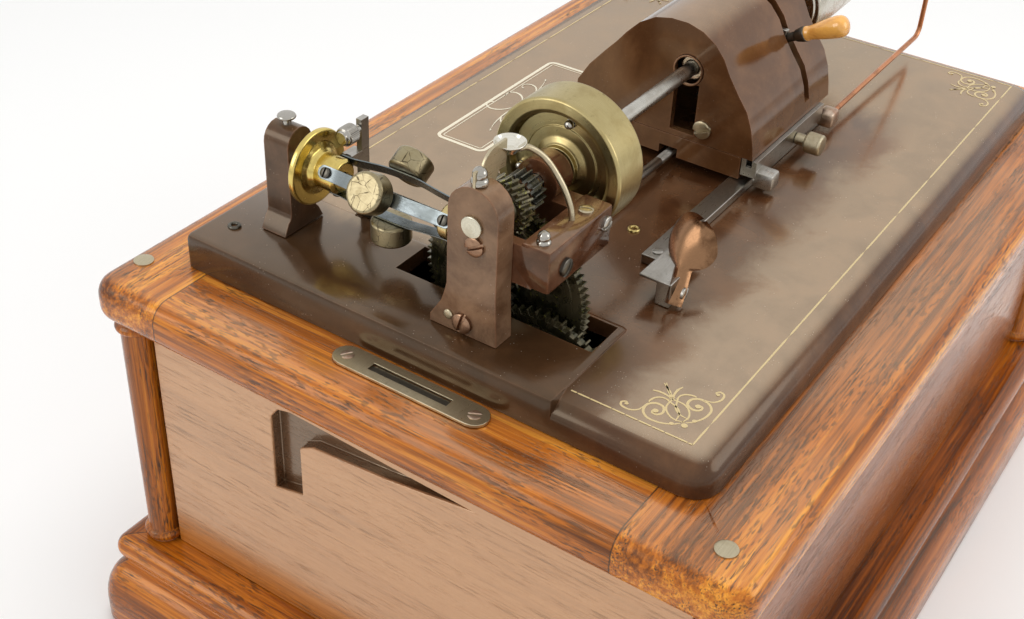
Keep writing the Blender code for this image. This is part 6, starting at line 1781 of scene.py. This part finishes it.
@dataclass
class GearTrain(Maker):
    """The feed screw with its gears, and the centre arbor with its wheel."""

    thread_pitch: float = 0.001

    def build(self) -> None:
        """Make the feed screw, the intermediate gear and the centre wheel."""
        pitch = self.thread_pitch

        def threaded(angle: Grid, height: Grid, radius: Grid) -> Grid:
            """Cut a fine triangular thread along the right-hand part."""
            wave = np.abs(((height / pitch - angle / (2 * pi)) % 1.0) * 2 - 1)
            cut = np.where((height > 0.165) & (height < 0.296) & (radius > 0.002), 0.00035, 0.0)
            return radius - cut * wave

        rows = np.linspace(0.1645, 0.2965, 760)
        profile = np.concatenate((
            ((0.0, 0.0), (0.0022, 0.0), (0.0025, 0.0003), (0.0025, 0.164)),
            straight(0.0025, rows),
            ((0.0025, 0.302), (0.0022, 0.3025), (0.0, 0.3025)),
        ))
        self.turn("feed_screw_thread", profile, (-0.183, 0.0, FEED_Z), X_AXIS, "steel_plain",
                  "feed_screw", ("feed_screw",), 28, swell=threaded, smooth=60.0)
        coarse = 2 * GEARS_APART / (12 + 60)
        phase = atan2(CENTRE_Z - FEED_Z, CENTRE_Y)
        self.slab("intermediate_pinion_teeth", gear_line(12, coarse, phase),
                  (-0.159, 0.0, FEED_Z), Side.X, 0.006, "oily_teeth", "feed_screw", (), 0.00015)
        phase = atan2(SHAFT[2] - FEED_Z, SHAFT[1]) + pi / 80
        self.slab("intermediate_gear_teeth", gear_line(80, 0.001, phase), (-0.15, 0.0, FEED_Z),
                  Side.X, 0.004, "greased_gear", "feed_screw", ("intermediate_gear",), 0.0001)
        self.web("intermediate_web", (-0.15, 0.0, FEED_Z), 0.0345, 0.004, "feed_screw")
        phase = atan2(FEED_Z - CENTRE_Z, -CENTRE_Y) + pi / 60
        self.slab("centre_wheel_teeth", gear_line(60, coarse, phase),
                  (-0.159, CENTRE_Y, CENTRE_Z), Side.X, 0.004, "greased_gear", "centre_arbor",
                  ("centre_wheel",), 0.00012)
        self.web("centre_web", (-0.159, CENTRE_Y, CENTRE_Z), 0.034, 0.004, "centre_arbor")
        self.refine("centre_arbor", "steel_plain", "centre_arbor", 0.0002, 35.0)

    def web(
        self, name: str, place: Point, reach: float, width: float, body: str
    ) -> None:
        """Make a wheel's raised ring and boss, which stand a little proud of both faces.

        Args:
            name, body: As in settle.
            place: The wheel's middle.
            reach, width: The ring's radius and the wheel's width.
        """
        half = width / 2
        face = ((0.003, 0.0009), (0.0072, 0.0009), (0.008, 0.0002), (reach - 0.003, 0.0002),
                (reach - 0.0028, 0.0005), (reach, 0.0005))
        low = [(radius, -half - proud) for radius, proud in face]
        high = [(radius, half + proud) for radius, proud in reversed(face)]
        profile = soften(low + high, 0.0003, 2, True)
        self.turn(name, profile, place, X_AXIS, "greased_gear", body, steps=96, ring=True)


@dataclass
class Governor(Maker):
    """The governor: worm spindle, sliding disc, leaf springs, weights, lever and speed screw."""

    angles: tuple[float, ...] = (150.0, 30.0, 270.0)
    disc: tuple[float, float] = (0.0905, 0.0935)
    weight_place: tuple[float, float] = (0.051, 0.0114)

    def build(self) -> None:
        """Make the governor."""
        start = (WHEEL_X, 0.0, GOVERNOR_Z)
        self.spindle(start)
        self.sliding_disc(start)
        for number, angle in enumerate(self.angles, start=1):
            self.spring(number, radians(angle))
            self.weight(number, radians(angle))
        self.lever()
        self.speed_screw()

    def spindle(self, start: Point) -> None:
        """Make the spindle with its two-start worm and its collar.

        Args:
            start: The zero of the governor's axis.
        """

        def wormed(angle: Grid, height: Grid, radius: Grid) -> Grid:
            """Raise the worm's two right-hand ridges, a gap facing the wheel at the shaft."""
            turn = 2 * (angle - pi / 2) - 2 * (height + 0.006) / 0.001
            ridge = np.clip(0.5 - 1.1 * np.cos(turn), 0.0, 1.0)
            return np.where(radius > 0.0045, 0.0039 + (radius - 0.0039) * ridge, radius)

        worm = np.linspace(-0.0138, 0.0018, 150)
        profile = np.concatenate((
            ((0.0, -0.0305), (0.0018, -0.0305), (0.0022, -0.0298), (0.0022, -0.0141)),
            ((0.0034, -0.014),), straight(0.0057, worm),
            ((0.0034, 0.002), (0.0022, 0.0021), (0.0022, 0.1074), (0.0018, 0.108), (0.0, 0.108)),
        ))
        finish = self.finishes.turned("spindle_steel", (0.5, 0.48, 0.42), (0.24, 0.2, 0.14),
                                      Side.Y, start)
        self.turn("governor_spindle_steel", profile, start, Y_AXIS, finish, "governor",
                  ("governor_spindle",), 72, swell=wormed)
        collar = soften((
            (0.0022, 0.012), (0.0066, 0.012), (0.008, 0.0134), (0.008, 0.015), (0.0073, 0.0154),
            (0.0073, 0.0162), (0.008, 0.0166), (0.008, 0.0208), (0.007, 0.022), (0.0022, 0.022),
        ), 0.0004, 3)
        brass = self.finishes.turned("collar_brass", (0.62, 0.5, 0.24), (0.34, 0.24, 0.08),
                                     Side.Y, start)
        self.turn("governor_collar", collar, start, Y_AXIS, brass, "governor", steps=64)

    def sliding_disc(self, start: Point) -> None:
        """Make the brass disc with its stepped sleeve.

        Args:
            start: The zero of the governor's axis.
        """
        front, back = self.disc
        profile = soften((
            (0.0023, 0.0765), (0.0066, 0.0765), (0.008, 0.078), (0.008, front - 0.003),
            (0.0094, front - 0.0012), (0.012, front), (0.0168, front), (0.0175, front + 0.0006),
            (0.0175, back - 0.0006), (0.0168, back), (0.006, back), (0.0056, back + 0.001),
            (0.0023, back + 0.001),
        ), 0.0005, 3, True)
        finish = self.finishes.turned("disc_brass", (0.7, 0.54, 0.17), (0.34, 0.24, 0.05),
                                      Side.Y, start, (0.12, 0.26), 0.0, 0.35)
        self.turn("governor_disc_turned", profile, start, Y_AXIS, finish, "governor_disc",
                  ("governor_disc",), 120, True)

    def spring(self, number: int, angle: float) -> None:
        """Make a leaf spring, bent out between its two ends, with a screw and washer at each.

        Args:
            number: Which of the three.
            angle: Where it stands.
        """
        out = np.array((cos(angle), 0.0, sin(angle)))
        line = smooth_path((
            (0.0145, 0.0083), (0.019, 0.0083), (0.0235, 0.0084), (0.033, 0.0094),
            (0.042, 0.0105), (0.051, 0.0107), (0.06, 0.0105), (0.068, 0.0095),
            (0.0755, 0.0084), (0.08, 0.0083), (0.0845, 0.0083),
        ), 90)
        path = out * line[:, 1:2] + np.array(Y_AXIS) * line[:, 0:1] + (WHEEL_X, 0.0, GOVERNOR_Z)
        near = np.minimum(line[:, 0] - 0.0145, 0.0845 - line[:, 0])
        width = 0.003 * np.sqrt(np.clip(near / 0.0026, 0.06, 1.0) * (2 - np.clip(near / 0.0026, 0, 1)))
        section = soften(((-1, -1), (1, -1), (1, 1), (-1, 1)), 0.12, 2, True)
        scale = np.stack((width, np.full(90, 0.0003)), axis=1)
        self.sweep(f"governor_leaf_{number}", path, section, "steel_blue", "governor",
                   (f"governor_spring_{number}",), out, scale)
        for label, y, body in (("near", 0.0182, "governor"), ("far", 0.0803, "governor_disc")):
            place = out * 0.0087 + np.array((WHEEL_X, y, GOVERNOR_Z))
            self.screw(f"leaf_screw_{number}_{label}", place, tuple(out), 0.0024, 0.0015,
                       "steel_dark", body, 0.5 + number)

    def weight(self, number: int, angle: float) -> None:
        """Make a weight: a thick disc with a crazed face and a rounded shoulder.

        Args:
            number: Which of the three.
            angle: Where it stands.
        """
        out = (cos(angle), 0.0, sin(angle))
        y, near = self.weight_place
        place = (WHEEL_X + near * out[0], y, GOVERNOR_Z + near * out[2])
        axis = (Side.X, Side.Y, Side.Z)[int(np.argmax(np.abs(out)))]
        finish = self.finishes.turned(
            f"weight_nickel_{number}", (0.36, 0.305, 0.185), (0.24, 0.18, 0.085), axis, place,
            (0.24, 0.42), 0.9,
        )
        profile = soften((
            (0.0, 0.0), (0.0082, 0.0), (0.009, 0.0008), (0.009, 0.009), (0.008, 0.01),
            (0.0, 0.01),
        ), 0.0006, 4)
        self.turn(f"weight_turned_{number}", profile, place, out, finish, f"weight_{number}",
                  (f"governor_weight_{number}",), 72)

    def lever(self) -> None:
        """Dress the friction lever and its bracket, and screw them down."""
        self.refine("friction_lever", "steel_plain", "friction", 0.0006)
        self.refine("friction_bracket", "steel_dark", "case", 0.0005)
        self.screw("friction_pivot", (-0.1446, 0.084, 0.242), LEFT, 0.0026, 0.0014,
                   "steel_plain", "friction", 0.3)
        self.screw("bracket_screw", (-0.1362, 0.0795, 0.2329), Z_AXIS, 0.0026, 0.0012,
                   "nickel_aged", "case", 1.0)

    def speed_screw(self) -> None:
        """Make the knurled speed screw, which faces left."""

        def knurled(angle: Grid, _height: Grid, radius: Grid) -> Grid:
            """Cut fine straight knurls into the widest part."""
            ridge = 0.5 + 0.5 * np.cos(angle * 36)
            return radius - np.where(radius > 0.00435, 0.00022 * ridge, 0.0)

        profile = soften((
            (0.0, 0.0), (0.002, 0.0), (0.002, 0.003), (0.0038, 0.0034), (0.0045, 0.0042),
            (0.0045, 0.0096), (0.004, 0.0104), (0.0032, 0.0107), (0.003, 0.0118), (0.0, 0.012),
        ), 0.0003, 3)
        self.turn("speed_screw_knurled", profile, (-0.1448, 0.084, 0.28), LEFT, "nickel_bright",
                  "speed_screw", ("speed_screw",), 144, swell=knurled)


@dataclass
class Carriage(Maker):
    """The sliding carriage: base, arched cover, channel, clamps, rod, lever, handle, mandrel."""

    left: float = -0.009

    def build(self) -> None:
        """Make the carriage and what it carries."""
        self.refine("carriage_base", "enamel_cover", "carriage", 0.0014, 40.0, 3)
        self.refine("carriage_cover", "enamel_cover", "carriage", 0.0016, 40.0, 3)
        self.trim()
        self.front()
        self.lever()
        self.mandrel()

    def trim(self) -> None:
        """Fit the cover's screw, the shaft bush and the brass eyelet."""
        self.screw("cover_screw", (self.left + 0.0002, -0.017, 0.256), LEFT, 0.0046, 0.0022,
                   "nickel_aged", "carriage", 0.4)
        ring = soften(((0.0068, -0.0004), (0.0078, -0.0004), (0.0078, 0.001), (0.0068, 0.001)),
                      0.0003, 2, True)
        self.turn("cover_bush", ring, (self.left, *SHAFT[1:]), LEFT, "brown_steel", "carriage",
                  steps=64, ring=True)
        self.eyelet("cover_eyelet", (0.028, 0.0015, 0.3071), "brass_oiled", "carriage", 0.0021)

    def front(self) -> None:
        """Make the channel, the clamps, the knurled clamp screw and the swing rod."""
        self.refine("guide_channel", "steel_plain", "carriage", 0.0005)
        self.refine("clamp_block_far", "clamp_metal", "carriage", 0.0006)
        # A dark strip in the channel's groove: painted shade.
        self.block("channel_groove_shade", (-0.0083, -0.0447, 0.2436), (0.0695, -0.0419, 0.2448),
                   "steel_dark", "carriage")
        self.refine("stop_bracket", "steel_plain", "case", 0.0005)

        def knurled(angle: Grid, height: Grid, radius: Grid) -> Grid:
            """Cut diamond knurls, the product of two crossed waves, into the widest part."""
            wave = np.cos(angle * 22 + height * 7000) * np.cos(angle * 22 - height * 7000)
            return radius - np.where(radius > 0.0052, 0.00025 * (0.5 + 0.5 * wave), 0.0)

        rows = np.linspace(0.0062, 0.013, 60)
        profile = np.concatenate((
            ((0.0, 0.0), (0.003, 0.0), (0.003, 0.0049), (0.0042, 0.0051), (0.0054, 0.0058)),
            straight(0.0055, rows),
            ((0.005, 0.0137), (0.004, 0.014), (0.0, 0.014)),
        ))
        self.turn("clamp_screw_knurled", profile, (0.038, -0.0476, 0.2415), FRONT, "nickel_aged",
                  "clamp_screw", ("clamp_screw",), 132, swell=knurled)
        bend = arc((0.199, 0.2445), 0.006, -90, 0, 14)
        corner = np.stack((bend[:, 0], np.full(len(bend), -0.0488), bend[:, 1]), axis=1)
        count = 30
        level = np.linspace((0.0803, -0.0488, 0.2385), (0.198, -0.0488, 0.2385), count)
        upright = np.linspace((0.205, -0.0488, 0.246), (0.205, -0.0488, 0.3138), count)
        path = np.concatenate((level, corner, upright))
        radius = np.full(len(path), 0.0014)
        radius[-3:] = (0.00135, 0.0012, 0.0008)
        path[-3:, 2] = (0.313, 0.3136, 0.3139)
        self.tube("swing_rod_bent", path, radius, "copper_worn", "swing_rod", ("swing_rod",),
                  guide=Y_AXIS)

    def lever(self) -> None:
        """Make the lift lever, its half nut, its ferrule and the turned wood handle."""
        self.refine("lift_lever", "steel_plain", "lift_lever", 0.0005)
        self.refine("half_nut", "brass_oiled", "lift_lever", 0.0005)
        root = np.array((0.053, -0.0284, 0.285))
        tip = np.array((0.053, -0.0579, 0.3004))
        length = float(np.linalg.norm(tip - root))
        axis = tuple(unit(tip - root))
        shape = np.array((
            (0.3, 0.0036), (0.33, 0.0038), (0.37, 0.0034), (0.42, 0.0036), (0.52, 0.0042),
            (0.62, 0.0047), (0.74, 0.0053), (0.84, 0.0055), (0.92, 0.0051), (0.97, 0.0038),
            (0.992, 0.0018),
        ))
        along = np.linspace(0.3, 0.992, 60)
        belly = eased(np.interp(along, shape[:, 0], shape[:, 1]))
        profile = np.concatenate((
            ((0.0, 0.3 * length),), np.stack((belly, along * length), axis=1),
            ((0.0, 0.997 * length),),
        ))
        self.turn("lift_handle_wood", profile, tuple(root), axis, "handle_polished", "lift_lever",
                  ("lift_handle",), 56)
        ferrule = soften((
            (0.0, 0.0), (0.0022, 0.0), (0.0024, 0.13 * length), (0.003, 0.15 * length),
            (0.0038, 0.25 * length), (0.004, 0.31 * length), (0.0, 0.31 * length),
        ), 0.0005)
        self.turn("handle_ferrule", ferrule, tuple(root), axis, "steel_dark", "lift_lever",
                  steps=48)

    def mandrel(self) -> None:
        """Make the tapered mandrel with its web and its sleeve on the shaft."""
        start, end = 0.091, 0.197
        wide, narrow, wall, near = 0.0225, 0.0213, 0.002, 0.0055
        slope = (narrow - wide) / (end - start)
        profile = soften((
            (0.0036, -0.0055 - start), (0.006, -0.0055 - start), (0.006, 0.0), (0.019, 0.0),
            (0.0196, 0.0008), (0.0216, 0.0008), (wide, 0.0018), (wide + slope * 0.1, 0.1042),
            (narrow - 0.0004, 0.106), (narrow - wall, 0.106), (narrow - wall - 0.0002, 0.105),
            (wide - wall, near), (0.0065, near), (0.0065, 0.106), (0.0036, 0.106),
        ), 0.0006, 3, True)
        finish = self.finishes.turned("mandrel_nickel", (0.62, 0.58, 0.5), (0.36, 0.3, 0.2),
                                      Side.X, tuple(SHAFT), (0.14, 0.3))
        self.turn("mandrel_turned", profile, (start, SHAFT[1], SHAFT[2]), X_AXIS, finish,
                  "mandrel", ("mandrel",), 128, True)


@dataclass
class StopLever(Maker):
    """The copper stop lever: a folded sheet that opens into a round dished paddle."""

    pivot: tuple[float, float, float] = (-0.112, -0.0633, 0.2373)
    line: tuple[tuple[float, float, float], ...] = (
        (-0.1184, -0.0618, 0.2342), (-0.1128, -0.0608, 0.241), (-0.1068, -0.0595, 0.2485),
        (-0.0991, -0.0588, 0.2554), (-0.0897, -0.058, 0.2599),
    )
    dish: tuple[float, float, float] = (0.012, 0.0128, 0.0046)
    stem: tuple[float, float] = (0.0043, 0.0034)

    def build(self) -> None:
        """Make the lever.

        Its section is a trough, the height being the square of the place across, thinned at
        the lips. The trough's half width is the stem's or, where that is more, the dish's
        half width times the root of one less the square of the distance from its middle.
        """
        path = smooth_path(self.line, 60)
        run = np.concatenate(((0.0,), np.cumsum(np.linalg.norm(np.diff(path, axis=0), axis=1))))
        long, wide, deep = self.dish
        place = (run - run[-1] + long) / long
        round_part = wide * np.sqrt(np.clip(1.0 - place ** 2, 0.0, 1.0))
        width = np.maximum(round_part, np.where(place < 0.0, self.stem[0], 0.0008))
        depth = self.stem[1] + (deep - self.stem[1]) * round_part / wide
        across = np.linspace(-1.0, 1.0, 25)
        section = np.concatenate((
            np.stack((across, across ** 2), axis=1),
            np.stack((across[::-1] * 0.97, across[::-1] ** 2 * 0.93 - 0.26), axis=1),
        ))
        self.sweep("stop_lever_sheet", path, section, "copper_dark", "stop_lever",
                   ("stop_lever",), (-0.35, -0.8, 0.48), np.stack((width, depth), axis=1))
        x, y, z = self.pivot
        self.screw("stop_pivot", (x, y - 0.0014, z), FRONT, 0.003, 0.0014, "steel_plain",
                   "stop_lever", 0.8)
        self.screw("stop_plate_screw", (-0.096, -0.0512, 0.2432), Z_AXIS, 0.0026, 0.0011,
                   "nickel_aged", "case", 0.3)


@dataclass
class Motor(Maker):
    """The spring motor under the bed, with the crank on the right."""

    def build(self) -> None:
        """Make the motor."""
        self.refine_all(
            ("motor_plate_left", "steel_plain", "case", 0.0006),
            ("motor_plate_right", "steel_plain", "case", 0.0006),
            ("barrel_gear", "oily_teeth", "barrel", 0.0003),
            ("spring_barrel", "brass_oiled", "barrel", 0.0008),
            ("mainspring", "steel_blue", "barrel", 0.0),
            ("winding_arbor", "steel_plain", "winding", 0.0003),
            ("ratchet_pawl", "steel_dark", "pawl", 0.0003),
            ("crank_arm", "nickel_aged", "winding", 0.001, 40.0, 3),
        )
        self.knob()

    def knob(self) -> None:
        """Make the crank's turned wood knob."""
        length, wide = 0.034, 0.01
        along = np.linspace(0.06, 1.0, 64)
        shape = eased(np.interp(along, (0.06, 0.14, 0.22, 0.42, 0.64, 0.8, 0.9, 0.96, 1.0),
                                (0.62, 0.66, 0.8, 0.97, 1.0, 0.93, 0.74, 0.46, 0.05)))
        profile = np.concatenate((
            ((0.0, 0.0), (0.005, 0.0), (0.0052, 0.0012), (0.0058, 0.002)),
            np.stack((shape * wide, along * length), axis=1), ((0.0, length),),
        ))
        self.turn("crank_knob_wood", profile, (0.2556, CENTRE_Y, 0.06103), X_AXIS,
                  "knob_polished", "crank_knob", ("crank_knob",), 64)


@dataclass
class Studio:
    """The camera, the lamps, the white world and the pale floor."""

    place: tuple[float, float, float] = (-0.56118, -0.26508, 0.57408)
    lens: float = 49.04

    def build(self) -> None:
        """Set the scene round the machine."""
        self.camera()
        self.world()
        self.floor()
        self.lamps()

    def camera(self) -> None:
        """Place the camera by its three axes, found from the photograph."""
        data = bpy.data.cameras.new("camera")
        data.lens, data.sensor_width, data.clip_end = self.lens, 36.0, 30.0
        camera = put_in_scene("camera", data)
        axes = ((0.5609, -0.827, 0.0405), (0.4648, 0.3549, 0.8111), (-0.6851, -0.436, 0.5835))
        turn = Matrix(axes).transposed().to_quaternion().to_matrix()
        camera.matrix_world = Matrix.Translation(self.place) @ turn.to_4x4()
        bpy.context.scene.camera = camera

    def world(self) -> None:
        """Make the world white to the camera, mirrors and glass, and softer as a light."""
        world = bpy.data.worlds.new("studio")
        bpy.context.scene.world = world
        world.use_nodes = True
        tree = world.node_tree
        tree.nodes.clear()
        path = tree.nodes.new("ShaderNodeLightPath")
        seen, either = (tree.nodes.new("ShaderNodeMath") for _ in range(2))
        seen.operation = either.operation = "MAXIMUM"
        light, white = (tree.nodes.new("ShaderNodeBackground") for _ in range(2))
        light.inputs["Strength"].default_value = 0.55
        light.inputs["Color"].default_value = (1.0, 0.99, 0.97, 1.0)
        white.inputs["Strength"].default_value = 1.0
        white.inputs["Color"].default_value = (1.0, 1.0, 1.0, 1.0)
        mix = tree.nodes.new("ShaderNodeMixShader")
        out = tree.nodes.new("ShaderNodeOutputWorld")
        for start, socket, end, number in (
            (path, "Is Camera Ray", seen, 0), (path, "Is Glossy Ray", seen, 1),
            (seen, 0, either, 0), (path, "Is Transmission Ray", either, 1), (either, 0, mix, 0),
            (light, 0, mix, 1), (white, 0, mix, 2), (mix, 0, out, 0),
        ):
            tree.links.new(start.outputs[socket], end.inputs[number])

    def floor(self) -> None:
        """Lay a pale floor under the machine, faintly clouded."""
        reach, count = 6.0, 25
        ticks = np.linspace(-reach, reach, count)
        grid = np.stack(np.meshgrid(ticks, ticks, indexing="ij"), axis=-1).reshape(-1, 2)
        points = np.concatenate((grid, np.full((len(grid), 1), -0.0004)), axis=1)
        mesh = bpy.data.meshes.new("floor")
        faces = grid_faces(count, count, False, False)[:, ::-1]
        mesh.from_pydata(points.tolist(), [], faces.tolist())
        if mesh.polygons[0].normal.z < 0:
            mesh.flip_normals()
        graph = Graph("floor_paper")
        cloud = graph.noise(graph.place, 1.3, 2.0, 0.5)
        colour = graph.mix(cloud, (0.95, 0.96, 0.97), (0.975, 0.982, 0.99))
        mesh.materials.append(graph.finish(colour, cloud.to(0.55, 0.65), 0.0, 0.0, cloud, 0.001, 0.1))
        put_in_scene("floor", mesh)

    def lamps(self) -> None:
        """Hang the soft lamps: overhead, behind at the left, and in front at the right.

        The one overhead isn't mirrored, as it would leave a white patch on the bed.
        """
        target = Vector((0.0, 0.0, 0.22))
        for name, place, size, power in (
            ("lamp_top", (0.2, -0.1, 1.9), 1.6, 18.0),
            ("lamp_left", (-1.5, 0.9, 1.1), 1.1, 9.0),
            ("lamp_right", (0.7, -1.7, 1.0), 1.2, 8.0),
        ):
            data = bpy.data.lights.new(name, "AREA")
            data.shape, data.size, data.energy = "DISK", size, power
            data.color = (1.0, 0.985, 0.96)
            lamp = put_in_scene(name, data)
            lamp.location = place
            lamp.visible_glossy = name != "lamp_top"
            lamp.rotation_euler = (target - Vector(place)).to_track_quat("-Z", "Y").to_euler()


ASSEMBLIES = (
    OakCase, Bedplate, Bearings, ShaftTrain, GearTrain, Governor, Carriage, StopLever, Motor,
)


def build_all() -> int:
    """Make every sub-assembly, then the studio.

    Returns:
        How many pieces there are.
    """
    finishes = Finishes()
    total = 0
    for kind in ASSEMBLIES:
        group = kind(finishes)
        group.build()
        LOG.info("%s: %d pieces", kind.__name__, group.count)
        total += group.count
    Studio().build()
    return total


def main() -> None:
    """Build the phonograph's picture and note its size."""
    logging.basicConfig(level=logging.INFO, format="%(name)s %(message)s")
    scene = bpy.context.scene
    scene.view_settings.view_transform = "Standard"
    LOG.info("%d pieces in all", build_all())
    bpy.context.view_layer.update()


if __name__ == "__main__":
    main()
